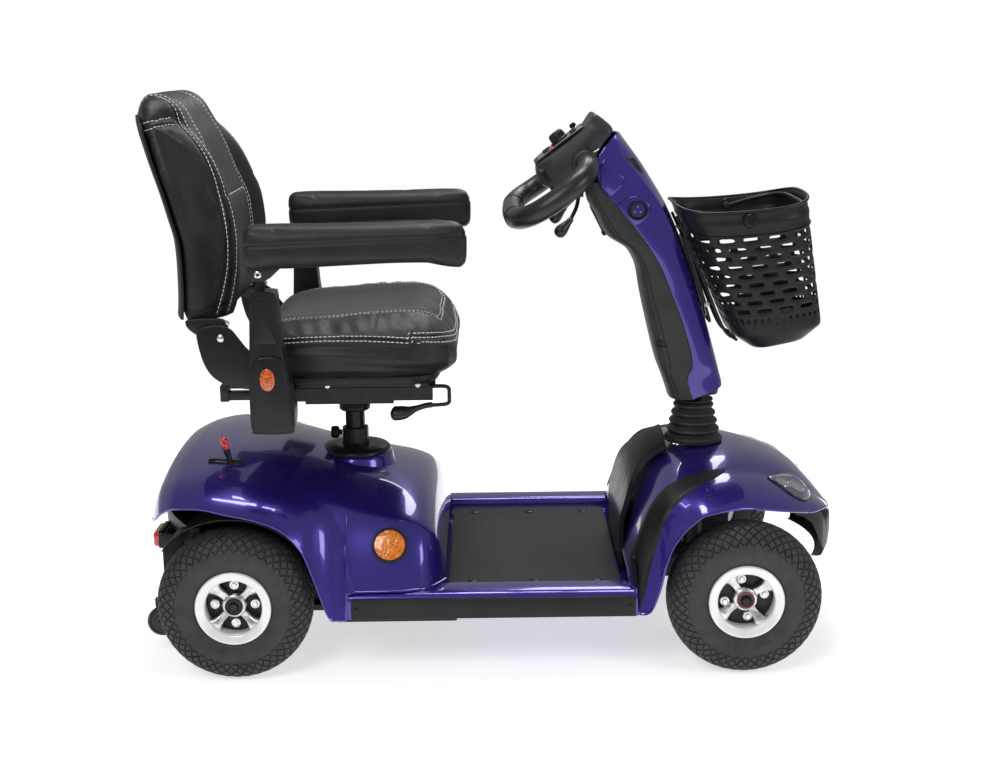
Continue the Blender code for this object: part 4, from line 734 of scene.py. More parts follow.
def make_deck():
    """Painted pan with rounded sills."""
    half_deck, sill_y, sill_top, sill_bottom, deck_top = 0.2235, 0.2850, 0.1530, 0.1085, 0.1305
    bm = bmesh.new()
    edge = [(half_deck - 0.006, deck_top - 0.003), (half_deck + 0.0000, deck_top - 0.0005),
            (half_deck + 0.0035, deck_top + 0.006),
            (half_deck + 0.005, sill_top - 0.008), (half_deck + 0.0090, sill_top - 0.0025),
            (half_deck + 0.015, sill_top - 0.0006),
            (half_deck + 0.030, sill_top), (sill_y - 0.018, sill_top - 0.0006),
            (sill_y - 0.008, sill_top - 0.0030),
            (sill_y - 0.002, sill_top - 0.0085), (sill_y, sill_top - 0.016), (sill_y, sill_bottom + 0.030),
            (sill_y - 0.001, sill_bottom)]
    curve = spline([(y, z, 0) for y, z in edge], 60)[:, :2]
    for _, side in SIDES:
        surface(bm, [[(x, side * y, z) for y, z in curve] for x in np.linspace(0.1870, 0.6690, 40)])
    across = np.linspace(-half_deck + 0.006, half_deck - 0.006, 12)
    surface(bm, [[(x, y, deck_top - 0.003) for y in across] for x in np.linspace(0.345, 0.702, 12)])
    pan = piece("deck_pan", bm, PAINT, "chassis", "floor_pan", angle=50)
    solid = pan.modifiers.new("wall", "SOLIDIFY")
    solid.thickness = 0.002
    solid.offset = 0.0
    applied(pan, 50)


def make_sill_strips():
    """Black strips with their screws along the sills."""
    for word, side in SIDES:
        bm = bmesh.new()
        outline = rounded((0.1950, 0.1100), (0.6660, 0.1445), 0.0030, 4)
        side_prism(bm, outline, side, 0.2835, 0.2885)
        for x in (0.1990, 0.6560):
            turned(bm, ((0.0034, 0.0), (0.0036, 0.0012), (0.0026, 0.0020), (0.0006, 0.0021)),
                   (x + 0.0030, side * 0.2884, 0.1275), (0, side, 0), 20)
        prism(bm, rounded((0.1700, 0.1020), (0.3700, 0.1130), 0.0030, 3),
              *sorted((side * 0.2500, side * 0.2790)))
        bevelled(piece(f"sill_strip_{word}", bm, MATT_BLACK, "chassis"), 0.0009, 2)


def make_mat():
    """Mat with fine ribs across, a plain border and six press studs."""
    low_x, high_x, mat_y, low_z, top_z = 0.3540, 0.6500, 0.2216, 0.1310, 0.1372
    bm = bmesh.new()
    prism(bm, rounded((low_x, -mat_y), (high_x, mat_y), 0.020, 8), low_z, top_z, "Z")
    mat = piece("floor_mat_sheet", bm, MAT_RUBBER, "chassis", "floor_mat")
    bevelled(mat, 0.0015, 3)
    bm = bmesh.new()
    for i in range(56):
        x = low_x + 0.016 + (high_x - low_x - 0.032) * i / 55
        prism(bm, [(x - 0.0017, top_z - 0.0005), (x - 0.0010, 0.1379), (x + 0.0010, 0.1379),
                   (x + 0.0017, top_z - 0.0005)],
              -mat_y + 0.014, mat_y - 0.014)
    piece("floor_mat_ribs", bm, MAT_RUBBER, "chassis")
    bm = bmesh.new()
    for x, spread in MAT_STUDS:
        for side in (-1, 1):
            turned(bm, ((0.0085, 0.1365), (0.0082, 0.1385), (0.0060, 0.1394), (0.0020, 0.1396)),
                   (x, side * spread, 0), (0, 0, 1), 24)
            block(bm, (x - 0.0045, side * spread - 0.0010, 0.1392),
                  (x + 0.0045, side * spread + 0.0010, 0.1400))
    piece("floor_mat_studs", bm, SATIN_BLACK, "chassis", angle=50)


# ---------------------------------------------------------------- wheels
TREAD_PITCHES = 44
TREAD_ROWS = 13
TREAD_REACH = math.radians(84)


def tyre_point(a, lift=0.0):
    """Radius and offset of the carcass at an angle round its section: 0 is the middle of the tread."""
    squared = 0.86
    c, s = math.cos(a), math.sin(a)
    radial = 0.0942 + (0.0332 + lift) * math.copysign(abs(c) ** squared, c)
    across = (0.0385 + lift) * math.copysign(abs(s) ** squared, s)
    return radial, across


def make_tyre(name, node, x, side, body):
    centre = Vector((x, side * WHEEL_Y, TYRE_RADIUS))
    profile = [(0.0632, -0.0300), (0.0660, -0.0335), (0.0720, -0.0358)]
    rings = ((-1.62, 0.0), (-1.56, 0.0010), (-1.50, 0.0), (-1.44, 0.0), (-1.40, 0.0008), (-1.36, 0.0))
    for a, lift in rings:
        profile.append((tyre_point(a, lift)[0] - (0.012 if a < -1.55 else 0.0), tyre_point(a, lift)[1]))
    body_rows = [tyre_point(a) for a in np.linspace(-1.25, 1.25, 25)]
    mirror = [(r, -h) for r, h in reversed(profile)]
    bm = bmesh.new()
    turned(bm, profile + body_rows + mirror + [(0.0620, 0.0290), (0.0620, -0.0290)], centre, (0, 1, 0), 120,
           closed=True)
    # diamond tread blocks, each row half a pitch on from its neighbour
    height = 0.0024
    for row in range(TREAD_ROWS):
        middle = TREAD_REACH * (2 * row / (TREAD_ROWS - 1) - 1)
        step = 2 * TREAD_REACH / (TREAD_ROWS - 1)
        outermost = row in (0, TREAD_ROWS - 1)
        for k in range(TREAD_PITCHES):
            around = 2 * math.pi * (k + 0.5 * (row % 2)) / TREAD_PITCHES
            reach = math.pi / TREAD_PITCHES
            base = []
            top = []
            for du, dv in ((1, 0), (0.5, 0.5), (0, 1), (-0.5, 0.5), (-1, 0), (-0.5, -0.5), (0, -1),
                           (0.5, -0.5)):
                if outermost and dv * middle > 0:
                    dv = 0.35 * dv
                for group, inset, lift in ((base, 0.93, -0.0006), (top, 0.74, height)):
                    angle = around + reach * du * inset
                    radius, offset = tyre_point(middle + step * dv * inset, lift)
                    group.append(centre
                                 + Vector((radius * math.cos(angle), offset, radius * math.sin(angle))))
            radius, offset = tyre_point(middle, height + 0.0002)
            crown = bm.verts.new(centre
                                 + Vector((radius * math.cos(around), offset, radius * math.sin(around))))
            low = [bm.verts.new(p) for p in base]
            high = [bm.verts.new(p) for p in top]
            floor_point = bm.verts.new(sum((v.co for v in low), Vector()) / 8)
            for i in range(8):
                j = (i + 1) % 8
                bm.faces.new((low[i], low[j], high[j], high[i]))
                bm.faces.new((high[i], high[j], crown))
                bm.faces.new((low[j], low[i], floor_point))
    piece(name, bm, TREAD_RUBBER, body, node, angle=32)


def spoke_outline():
    """Half of a spoke in the wheel's plane: narrow at the hub, splayed where it meets the ring."""
    half = ((0.0160, 0.0078), (0.0230, 0.0062), (0.0320, 0.0066), (0.0400, 0.0092), (0.0475, 0.0150),
            (0.0510, 0.0185))
    return list(half) + [(r, -w) for r, w in reversed(half)]


def make_rim(name, node, x, side, body, spoke_turn, cap_material):
    centre = Vector((x, side * WHEEL_Y, TYRE_RADIUS))
    out = Vector((0, side, 0))
    bm = bmesh.new()
    turned(bm, ((0.0630, 0.0310), (0.0632, 0.0345), (0.0618, 0.0362), (0.0596, 0.0364), (0.0575, 0.0350),
                (0.0500, 0.0342),
                (0.0480, 0.0325), (0.0470, 0.0290), (0.0490, 0.0050), (0.0540, -0.0280), (0.0610, -0.0300),
                (0.0625, -0.0280)),
           centre, out, 96, closed=True)
    piece(name, bm, LACQUER, body, node, angle=50)
    turn = Matrix.Translation(centre) @ Matrix.Diagonal((1, side, 1, 1))
    bm = bmesh.new()
    outline = spoke_outline()
    for k in range(4):
        spin = Matrix.Rotation(spoke_turn + k * math.pi / 2, 4, "Y")
        rows = []
        for depth, grow in ((0.0060, 1.0), (0.0165, 1.0), (0.0195, 0.72)):
            rows.append([turn @ spin @ Vector((r, depth + 0.0080 * step_up(0.020, 0.048, r), w * grow))
                         for r, w in outline])
        loft(bm, rows)
    turned(bm, ((0.0200, 0.0040), (0.0205, 0.0190), (0.0190, 0.0225), (0.0150, 0.0240), (0.0140, 0.0235)),
           centre, out, 48)
    spokes = piece(name + "_spokes", bm, CAST_ALLOY, body, angle=30)
    bevelled(spokes, 0.0012, 2, 30, 50)
    bm = bmesh.new()
    turned(bm, ((0.0500, 0.0020), (0.0480, 0.0045), (0.0200, 0.0045), (0.0180, 0.0070)), centre, out, 48)
    piece(name + "_drum", bm, INNER_STEEL, body, angle=50)
    bm = bmesh.new()
    for k in range(4):
        angle = spoke_turn + math.pi / 4 + k * math.pi / 2
        spot = centre + Vector((0.0335 * math.cos(angle), 0, 0.0335 * math.sin(angle)))
        turned(bm, ((0.0085, 0.0040), (0.0085, 0.0105), (0.0072, 0.0120)), spot, out, 24)
        bolt(bm, spot + out * 0.0115, out, 0.0052, 0.0050)
    piece(name + "_bolts", bm, BRIGHT, body, angle=35)
    bm = bmesh.new()
    turned(bm, ((0.0150, 0.0220), (0.0150, 0.0256), (0.0138, 0.0268), (0.0112, 0.0268), (0.0104, 0.0252)),
           centre, out, 48)
    piece(name + "_cap_ring", bm, cap_material, body, angle=40)
    bm = bmesh.new()
    turned(bm, ((0.0106, 0.0230), (0.0106, 0.0258), (0.0090, 0.0262)), centre, out, 32)
    bolt(bm, centre + out * 0.0250, out, 0.0068, 0.0040)
    piece(name + "_hub_nut", bm, STEEL, body, angle=35)


def make_wheels():
    for word, side in SIDES:
        for end, x, spoke_turn, cap in (("rear", 0.0, math.pi / 4, SATIN_BLACK),
                                        ("front", WHEELBASE, math.pi / 4 + 0.18, HUB_RING)):
            body = f"{end}_wheel_{word}"
            make_tyre(f"{end}_tread_{word}", f"{end}_tyre_{word}", x, side, body)
            make_rim(f"{end}_hub_{word}", f"{end}_rim_{word}", x, side, body, spoke_turn, cap)
        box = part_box(f"anti_tip_wheel_{word}")
        centre = Vector(((box[0][0] + box[1][0]) / 2 - SHIFT, (box[0][1] + box[1][1]) / 2,
                         (box[0][2] + box[1][2]) / 2))
        bm = bmesh.new()
        turned(bm, ((0.0050, 0.0088), (0.0120, 0.0088), (0.0130, 0.0070), (0.0190, 0.0070),
                    (0.0205, 0.0088), (0.0235, 0.0075),
                    (0.0255, 0.0045), (0.0260, 0), (0.0255, -0.0045), (0.0235, -0.0075), (0.0205, -0.0088),
                    (0.0190, -0.0070),
                    (0.0130, -0.0070), (0.0120, -0.0088), (0.0050, -0.0088)), centre, (0, 1, 0), 48,
                    closed=True)
        piece(f"caster_{word}", bm, SOFT_RUBBER, f"anti_tip_{word}",
              f"anti_tip_wheel_{word}", angle=35)


# ---------------------------------------------------------------- bumpers, tail lights, levers
def plan_arc(front_x, end_x, half_width, inset, count=33):
    points = []
    for i in range(count):
        share = 2 * i / (count - 1) - 1
        points.append((front_x - inset + (end_x - front_x) * share ** 2,
                       share * (half_width - abs(inset) * 0.3)))
    return points


def make_front_bumper():
    """An upright band that narrows downwards, with side wings swept back under the fairing."""
    rows = []
    for z, front, ends, half in ((0.2180, 1.0380, 1.0060, 0.124), (0.2150, 1.0410, 1.0090, 0.127),
                                 (0.2000, 1.0425, 1.0110, 0.126),
                                 (0.1800, 1.0425, 1.0130, 0.122), (0.1600, 1.0410, 1.0130, 0.116),
                                 (0.1480, 1.0370, 1.0110, 0.110), (0.1450, 1.0300, 1.0060, 0.106)):
        outer = plan_arc(front, ends, half, 0.0)
        inner = plan_arc(front, ends, half, 0.012)
        rows.append([(x, y, z) for x, y in outer + inner[::-1]])
    bm = bmesh.new()
    loft(bm, rows)
    piece("front_bumper_band", bm, MATT_BLACK, "chassis", "front_bumper", angle=50)
    for word, side in SIDES:
        bm = bmesh.new()
        rows = []
        for x, y, low, high in ((0.955, 0.150, 0.2360, 0.2460), (0.970, 0.148, 0.2320, 0.2440),
                                (0.985, 0.144, 0.2200, 0.2420),
                                (0.997, 0.138, 0.1950, 0.2380), (1.007, 0.130, 0.1720, 0.2280),
                                (1.012, 0.124, 0.1600, 0.2160)):
            rows.append([(x, side * (y - 0.008), low + 0.002), (x, side * y, low),
                         (x, side * (y + 0.001), (low + high) / 2),
                         (x, side * y, high), (x, side * (y - 0.008), high)])
        loft(bm, rows)
        piece(f"front_bumper_wing_{word}", bm, SATIN_BLACK, "chassis", angle=40)


def make_rear_trim():
    """Strip under the seat box, and the lamp carrier below it."""
    rows = []
    for z, back in ((0.2230, 0.0030), (0.2255, 0.0), (0.2500, -0.0010), (0.2570, 0.0010)):
        outer = plan_arc(-0.1545 + back, -0.0700, 0.246, 0.0)
        inner = plan_arc(-0.1545 + back, -0.0700, 0.246, -0.014)
        rows.append([(x, y, z) for x, y in outer + inner[::-1]])
    bm = bmesh.new()
    loft(bm, rows)
    piece("rear_trim", bm, MATT_BLACK, "chassis", "rear_bumper", angle=50)
    bm = bmesh.new()
    prism(bm, rounded((-0.1340, 0.1980), (-0.0980, 0.2280), 0.006, 4), -0.185, 0.185)
    prism(bm, rounded((-0.1150, 0.1750), (-0.0600, 0.2450), 0.010, 4), -0.120, 0.120)
    bevelled(piece("lamp_carrier", bm, SATIN_BLACK, "chassis"), 0.0015, 2)


# Middle of a rear lamp: distance from the middle, height
LAMP_Y, LAMP_Z = 0.1480, 0.2145


def make_rear_lamps():
    for word, side in SIDES:
        bm = bmesh.new()
        rows = []
        for x, grow in ((-0.1360, 1.0), (-0.1450, 1.0), (-0.1490, 0.93), (-0.1508, 0.78)):
            outline = rounded((LAMP_Y - 0.0310 * grow, LAMP_Z - 0.0125 * grow),
                              (LAMP_Y + 0.0310 * grow, LAMP_Z + 0.0125 * grow), 0.005, 5)
            rows.append([(x, side * y, z) for y, z in outline])
        loft(bm, rows)
        piece(f"rear_lamp_{word}", bm, RED, "chassis", f"tail_light_{word}", angle=50)
        bm = bmesh.new()
        outer = rounded((LAMP_Y - 0.0335, LAMP_Z - 0.0150), (LAMP_Y + 0.0335, LAMP_Z + 0.0150), 0.006, 5)
        inner = rounded((LAMP_Y - 0.0305, LAMP_Z - 0.0120), (LAMP_Y + 0.0305, LAMP_Z + 0.0120), 0.005, 5)
        rows = [[(x, side * y, z) for y, z in ring] for x,
                ring in ((-0.1335, outer), (-0.1400, outer), (-0.1400, inner), (-0.1335, inner))]
        surface(bm, rows, closed=True)
        piece(f"rear_lamp_bezel_{word}", bm, SATIN_BLACK, "chassis", angle=40)


def make_knee_panel():
    """Black panel behind the column, with fine upright ribs."""
    spine = spline([(0.6525, 0, 0.1395), (0.6515, 0, 0.215), (0.6585, 0, 0.250), (0.6700, 0, 0.287),
                    (0.6870, 0, 0.320), (0.7110, 0, 0.345), (0.7370, 0, 0.358)], 40)
    bm = bmesh.new()
    rows = []
    for x, _, z in spine:
        row = []
        half = 0.126 - 0.060 * step_up(0.26, 0.37, z)
        for i in range(61):
            share = i / 30 - 1
            rib = (0.0009 * (0.5 + 0.5 * math.cos(share * 26 * math.pi))
                   * float(step_up(0.97, 0.86, abs(share))))
            edge = float(step_up(0.90, 1.0, abs(share)))
            droop = 0.004 + 0.016 * float(step_up(0.28, 0.36, z))
            row.append((x + 0.0015 * share ** 2 - rib * 0.8 + 0.004 * edge, half * share,
                        z - droop * share ** 2 + rib * 0.5 - 0.003 * edge))
        rows.append(row)
    surface(bm, rows)
    panel = piece("knee_panel_skin", bm, SATIN_BLACK, "chassis", "knee_panel", angle=60)
    if panel.data.polygons[0].normal.x > 0:
        panel.data.flip_normals()
    thickened(panel, 0.003, None, 60)


def make_cover_levers():
    # freewheel lever with its red tip, on a black base plate
    bm = bmesh.new()
    tube(bm, spline([(-0.0150, -0.150, 0.328), (-0.0180, -0.150, 0.350), (-0.0225, -0.150, 0.368)], 12),
         [0.0052] * 4 + [0.0046] * 4 + [0.0058] * 4, 20)
    piece("freewheel_stick", bm, SATIN_BLACK, "freewheel", "freewheel_lever")
    bm = bmesh.new()
    turned(bm, ((0.0040, -0.004), (0.0062, 0.0), (0.0068, 0.008), (0.0060, 0.016), (0.0035, 0.0205),
                (0.0006, 0.0218)),
           (-0.0225, -0.150, 0.368), (-0.22, 0, 0.97), 32)
    piece("freewheel_tip", bm, RED, "freewheel", angle=60)
    share = cover_share(rear_point, -0.018, 0.150)
    bm = bmesh.new()
    rings = []
    for grow, lift in ((1.15, 0.0000), (1.12, 0.0018), (1.0, 0.0022), (0.80, 0.0022), (0.74, 0.0004)):
        ring = []
        for u, v in rounded((-0.030, -0.0085), (0.030, 0.0085), 0.0084, 8):
            x = -0.0240 + u * (0.9 + 0.1 * grow)
            ring.append(on_cover(rear_point, x, share + v * grow / 0.20, lift, -1))
        rings.append(ring)
    surface(bm, rings, closed=True, cap_last=True)
    piece("freewheel_plate", bm, SATIN_BLACK, "chassis", angle=50)


def make_liners():
    """Black inner wheel arches under the rear cover."""
    inner_y, foot_z, radius = 0.198, 0.150, 0.150
    for word, side in SIDES:
        rows = []
        for angle in np.linspace(math.radians(25), math.radians(150), 36):
            x, z = radius * math.cos(angle), TYRE_RADIUS + radius * math.sin(angle)
            outer = min(cover_station(REAR_COVER, x)[3] - 0.014, 0.272)
            row = [(x, side * inner_y, foot_z + (z - foot_z) * t) for t in (0.0, 0.5, 0.9)]
            row += [(x, side * (inner_y + (outer - inner_y) * t), z) for t in (0.05, 0.35, 0.70, 1.0)]
            rows.append(row)
        bm = bmesh.new()
        surface(bm, rows)
        liner = piece(f"rear_liner_{word}", bm, MATT_BLACK, "chassis", angle=50)
        thickened(liner, 0.0015, None, 50)


# ---------------------------------------------------------------- tiller
# Levels: height, rear face, seam between the two shells, front face, half width
TILLER = (
    (0.4180, 0.7480, 0.7920, 0.8400, 0.0480),
    (0.4400, 0.7410, 0.7870, 0.8430, 0.0500),
    (0.4620, 0.7330, 0.7770, 0.8380, 0.0505),
    (0.4800, 0.7260, 0.7850, 0.8330, 0.0510),
    (0.5550, 0.7070, 0.7670, 0.8120, 0.0520),
    (0.6100, 0.6950, 0.7460, 0.7955, 0.0530),
    (0.6500, 0.6880, 0.7300, 0.7825, 0.0550),
    (0.6850, 0.6700, 0.7100, 0.7705, 0.0570),
    (0.7100, 0.6340, 0.6930, 0.7615, 0.0580),
    (0.7500, 0.6130, 0.6600, 0.7440, 0.0590),
    (0.7700, 0.6020, 0.6440, 0.7340, 0.0590),
    (0.7870, 0.5990, 0.6280, 0.7240, 0.0588),
    (0.8030, 0.5985, 0.6190, 0.7140, 0.0580),
)
TILLER_HEAD = (
    (0.8340, 0.6130, 0.6130, 0.6945, 0.0585),
    (0.8620, 0.6270, 0.6270, 0.6740, 0.0570),
    (0.8850, 0.6460, 0.6460, 0.6570, 0.0520),
)
# How far the front face falls back from its middle to its creases, by height
CROWN_Z = (0.42, 0.60, 0.70, 0.743, 0.780, 0.814, 0.845, 0.885)
CROWN_DROP = (0.012, 0.012, 0.010, 0.011, 0.014, 0.020, 0.026, 0.010)


@lru_cache(maxsize=None)
def tiller_level(levels, z):
    table = np.array(levels)
    return [float(monotone(table[:, 0], table[:, k], z)) for k in range(1, 5)]


def make_tiller_rear():
    """Grained rear shell with a shallow channel down each side."""
    rows = []
    for z in np.linspace(0.418, 0.803, 78):
        rear, seam, _, half = tiller_level(TILLER, z)
        row = []
        for i in range(73):
            angle = math.radians(90 * (i / 36 - 1))
            across = half * math.copysign(abs(math.sin(angle)) ** 0.6, math.sin(angle))
            along = (seam - rear - 0.0005) * abs(math.cos(angle)) ** 0.6
            share = abs(math.degrees(angle)) / 90
            groove = (float(step_up(0.60, 0.63, share) * step_up(0.70, 0.67, share))
                      + float(step_up(0.985, 1.0, share)) * 0.7)
            low_groove = float(step_up(0.46, 0.48, share) * step_up(0.53, 0.51, share)
                               * step_up(0.46, 0.47, z) * step_up(0.655, 0.645, z))
            depth = 0.0016 * groove + 0.0012 * low_groove
            row.append((seam - 0.0005 - along + depth * abs(math.cos(angle)),
                        across - math.copysign(depth, across), z))
        rows.append(row)
    bm = bmesh.new()
    surface(bm, rows)
    housing = piece("tiller_rear_shell", bm, HOUSING_BLACK, "tiller", "tiller_housing",
                    angle=35)
    face_from(housing, Vector((0.79 + SHIFT, 0, 0.58)))
    thickened(housing, 0.003, None, 35)


def make_tiller_core():
    """Dark core between the two shells."""
    rows = []
    for z in np.linspace(0.425, 0.845, 60):
        rear, _, front, half = tiller_level(TILLER + TILLER_HEAD, z)
        row = []
        for k in range(32):
            x, y = ring_point(2 * math.pi * (k + 0.5) / 32, (front - rear) / 2 - 0.0055, half - 0.0055, 4.0)
            row.append(((rear + front) / 2 + x, y, z))
        rows.append(row)
    bm = bmesh.new()
    loft(bm, rows)
    piece("tiller_core", bm, MATT_BLACK, "tiller", angle=50)


def make_tiller_front():
    """Painted shell: side walls, a crease each side that sharpens upwards, and a crowned front."""
    rows = []
    for z in np.linspace(0.440, 0.885, 90):
        _, seam, front, half = tiller_level(TILLER + TILLER_HEAD, z)
        reach = front - seam - 0.0006
        drop = min(float(monotone(CROWN_Z, CROWN_DROP, z)), reach * 0.8)
        sharp = float(step_up(0.66, 0.76, z))
        row = []
        for i in range(65):
            share = abs(i / 32 - 1)
            sign = 1 if i >= 32 else -1
            angle = math.radians(90 * share)
            soft = (half * math.sin(angle) ** 0.6, reach * abs(math.cos(angle)) ** 0.6)
            if share < 0.5:
                t = share / 0.5
                crisp = (half * 0.955 * t, reach - drop * t ** 2.2)
            else:
                t = (share - 0.5) / 0.5
                crisp = (half * (0.955 + 0.045 * t ** 0.8), (reach - drop) * (1 - t))
            across, along = (a + (b - a) * sharp for a, b in zip(soft, crisp))
            if share > 0.985:
                across -= 0.0008
            # the lower edge falls towards the rear shell
            fall = 0.020 * (1 - along / reach) * float(step_up(0.475, 0.440, z))
            row.append((seam + 0.0006 + along, sign * across, z - fall))
        rows.append(row)
    bm = bmesh.new()
    surface(bm, rows)
    cover = piece("tiller_front_shell", bm, PAINT, "tiller", "tiller_cover", angle=28)
    face_from(cover, Vector((0.66 + SHIFT, 0, 0.58)))
    thickened(cover, 0.003, SATIN_BLACK, 28)


def make_tiller_pads():
    """Raised pads on the sides of the front shell."""
    shield = [(0.6280, 0.8450), (0.6620, 0.8110), (0.6590, 0.7980), (0.6390, 0.7790), (0.6215, 0.7980),
              (0.6190, 0.8320)]
    plaque = [(0.6500, 0.7660), (0.6590, 0.7730), (0.6700, 0.7785), (0.6812, 0.7805), (0.6920, 0.7785),
              (0.7005, 0.7725),
              (0.7055, 0.7630), (0.7062, 0.7514), (0.7020, 0.7440), (0.6900, 0.7340), (0.6804, 0.7280)]
    for word, side in SIDES:
        bm = bmesh.new()
        for outline in (shield, plaque):
            side_prism(bm, outline, side, 0.0560, 0.0615)
        pads = piece(f"tiller_pads_{word}", bm, PAINT, "tiller")
        bevelled(pads, 0.0022, 3, 30, 30)


SOCKET_X, SOCKET_Z = 0.6850, 0.7560


def make_socket():
    """Charging socket in the lower pad on the right: ring, three pins and the keyed shroud."""
    bm = bmesh.new()
    turned(bm, ((0.0170, 0.0), (0.0172, 0.0022), (0.0160, 0.0034), (0.0142, 0.0034), (0.0135, 0.0010),
                (0.0110, 0.0006), (0.0004, 0.0005)),
           (SOCKET_X, -0.0608, SOCKET_Z), (0, -1, 0), 48)
    piece("socket_ring", bm, SATIN_BLACK, "tiller", angle=35)
    bm = bmesh.new()
    for k in range(3):
        angle = math.radians(90 + 120 * k)
        turned(bm, ((0.0015, 0), (0.0015, 0.0012), (0.0010, 0.0016)),
               (SOCKET_X + 0.0062 * math.cos(angle), -0.0612, SOCKET_Z + 0.0062 * math.sin(angle)),
               (0, -1, 0), 16)
    piece("socket_pins", bm, BRIGHT, "tiller", angle=35)
    bm = bmesh.new()
    ring = []
    for radius, lift in ((0.0100, 0.0), (0.0104, 0.0014), (0.0086, 0.0016)):
        ring.append([(SOCKET_X + radius * math.cos(a), -0.0612 - lift, SOCKET_Z + radius * math.sin(a))
                     for a in np.linspace(math.radians(70), math.radians(340), 28)])
    surface(bm, ring)
    piece("socket_key", bm, GREY_PLASTIC, "tiller", angle=35)


def make_latch_slots():
    """Latch slots in the sides of the rear shell."""
    for word, side in SIDES:
        bm = bmesh.new()
        rows = []
        for grow, lift in ((1.0, 0.0006), (0.82, 0.0010), (0.70, -0.0015)):
            rows.append([(0.7310 + u * grow, side * (0.0466 + lift), 0.5200 + v * grow) for u,
                         v in rounded((-0.0110, -0.0055), (0.0110, 0.0055), 0.0054, 8)])
        surface(bm, rows, closed=True, cap_last=True)
        piece(f"latch_slot_{word}", bm, MATT_BLACK, "tiller", angle=40)


def face_from(made, middle):
    """Turns a sheet's faces away from a point inside it."""
    outward = 0.0
    for polygon in made.data.polygons:
        outward += polygon.normal.dot(polygon.center - middle) * polygon.area
    if outward < 0:
        made.data.flip_normals()


FACE_LOW = Vector((0.5170, 0, 0.8380))
FACE_HIGH = Vector((0.5950, 0, 0.8960))
FACE_UP = Vector((FACE_LOW.z - FACE_HIGH.z, 0, FACE_HIGH.x - FACE_LOW.x)).normalized()
FACE_ALONG = (FACE_HIGH - FACE_LOW).normalized()
FACE_TURN = Matrix((FACE_ALONG, Vector((0, 1, 0)), FACE_UP)).transposed().to_4x4()


def face_place(share, y, lift):
    """A point over the console's face: share runs from its rear edge to its front edge."""
    place = FACE_LOW.lerp(FACE_HIGH, share) + FACE_UP * lift
    return Vector((place.x, y, place.z))


def make_console():
    """Body of the console, drawn out of its side profile: face, raised head in front, belly."""
    profile = spline([
        (0.5165, 0.8370), (0.5330, 0.8495), (0.5570, 0.8670), (0.5800, 0.8840), (0.5925, 0.8945),
        (0.6010, 0.9060), (0.6090, 0.9175),
        (0.6150, 0.9178), (0.6280, 0.9085), (0.6400, 0.8975), (0.6425, 0.8880), (0.6300, 0.8720),
        (0.6150, 0.8480), (0.6085, 0.8300),
        (0.6060, 0.8140), (0.5900, 0.8035), (0.5650, 0.7970), (0.5400, 0.7935), (0.5240, 0.7975),
        (0.5150, 0.8100), (0.5130, 0.8250),
    ], 126, closed=True)
    centre = np.array((0.575, 0.845))
    rows = []
    count = 45
    for i in range(count):
        share = 2 * i / (count - 1) - 1
        # the sides round over: full size in the middle, drawn in at both ends
        roll = 1 - abs(share) ** 7 * 0.10
        y = 0.0585 * math.copysign(1 - (1 - abs(share)) ** 1.25, share)
        row = []
        for u, v in profile:
            reach = np.array((u, v)) - centre
            size = roll if abs(share) < 0.999 else 0.86
            u2, v2 = centre + reach * size
            # the head keeps its full width, the rear of the belly tapers in
            slim = 1 - 0.16 * float(step_up(0.575, 0.515, u)) * float(step_up(0.845, 0.800, v))
            row.append((u2, y * slim, v2))
        rows.append(row)
    bm = bmesh.new()
    loft(bm, rows)
    piece("console_body", bm, GREY_PLASTIC, "tiller", "console", angle=60)


def make_console_ring():
    """Joint ring round the rear of the console."""
    bm = bmesh.new()
    middle = Vector((0.5290, 0, 0.8130))
    rows = []
    for along, grow in ((-0.0045, 1.01), (-0.0040, 1.045), (0.0040, 1.045), (0.0045, 1.01)):
        ring = []
        for y, v in rounded((-0.0530, -0.0300), (0.0530, 0.0270), 0.022, 10):
            ring.append(middle + FACE_ALONG * (along + 0.10 * v) + Vector((0, y * grow, 0)) + FACE_UP
                        * (v * grow + 0.002))
        rows.append(ring)
    loft(bm, rows)
    piece("console_ring", bm, SATIN_BLACK, "tiller", angle=35)


def make_console_face():
    """Plain printed face with a raised border."""
    outline = [(0.03, -0.047), (0.55, -0.050), (0.95, -0.046), (1.0, -0.040), (1.0, 0.040), (0.95, 0.046),
               (0.55, 0.050), (0.03, 0.047), (-0.02, 0.040), (-0.02, -0.040)]
    layers = (("console_border", SATIN_BLACK, "black_plastic", 1.0, 0.0030),
              ("console_print", PANEL_GREY, "grey_plastic", 0.93, 0.0036))
    low = 0.0002
    for name, material, slot, grow, high in layers:
        bm = bmesh.new()
        rows = []
        for shrink, lift in ((1.0, low), (1.0, high - 0.0006), (0.985, high)):
            ring = []
            for share, y in outline:
                s = 0.5 + (share - 0.5) * grow * shrink
                bow = 0.0012 * math.sin(math.pi * min(max(s, 0), 1))
                ring.append(face_place(s, y * grow * shrink, lift + bow))
            rows.append(ring)
        loft(bm, rows)
        piece(name, bm, material, "tiller", angle=40)


def make_console_keys():
    """Battery gauge and switches on the face."""
    bm = bmesh.new()
    for share, y, u, v in ((0.80, -0.014, 0.016, 0.006), (0.80, 0.014, 0.006, 0.006),
                           (0.22, 0.022, 0.007, 0.007), (0.22, -0.006, 0.007, 0.007)):
        rows = []
        for grow, lift in ((1.0, 0.0035), (1.0, 0.0058), (0.85, 0.0064)):
            rows.append([face_place(share, y, lift) + FACE_ALONG * (q * grow) + Vector((0, p * grow, 0))
                         for p, q in rounded((-u, -v), (u, v), 0.002, 3)])
        loft(bm, rows)
    piece("console_keys", bm, MATT_BLACK, "tiller", angle=40)


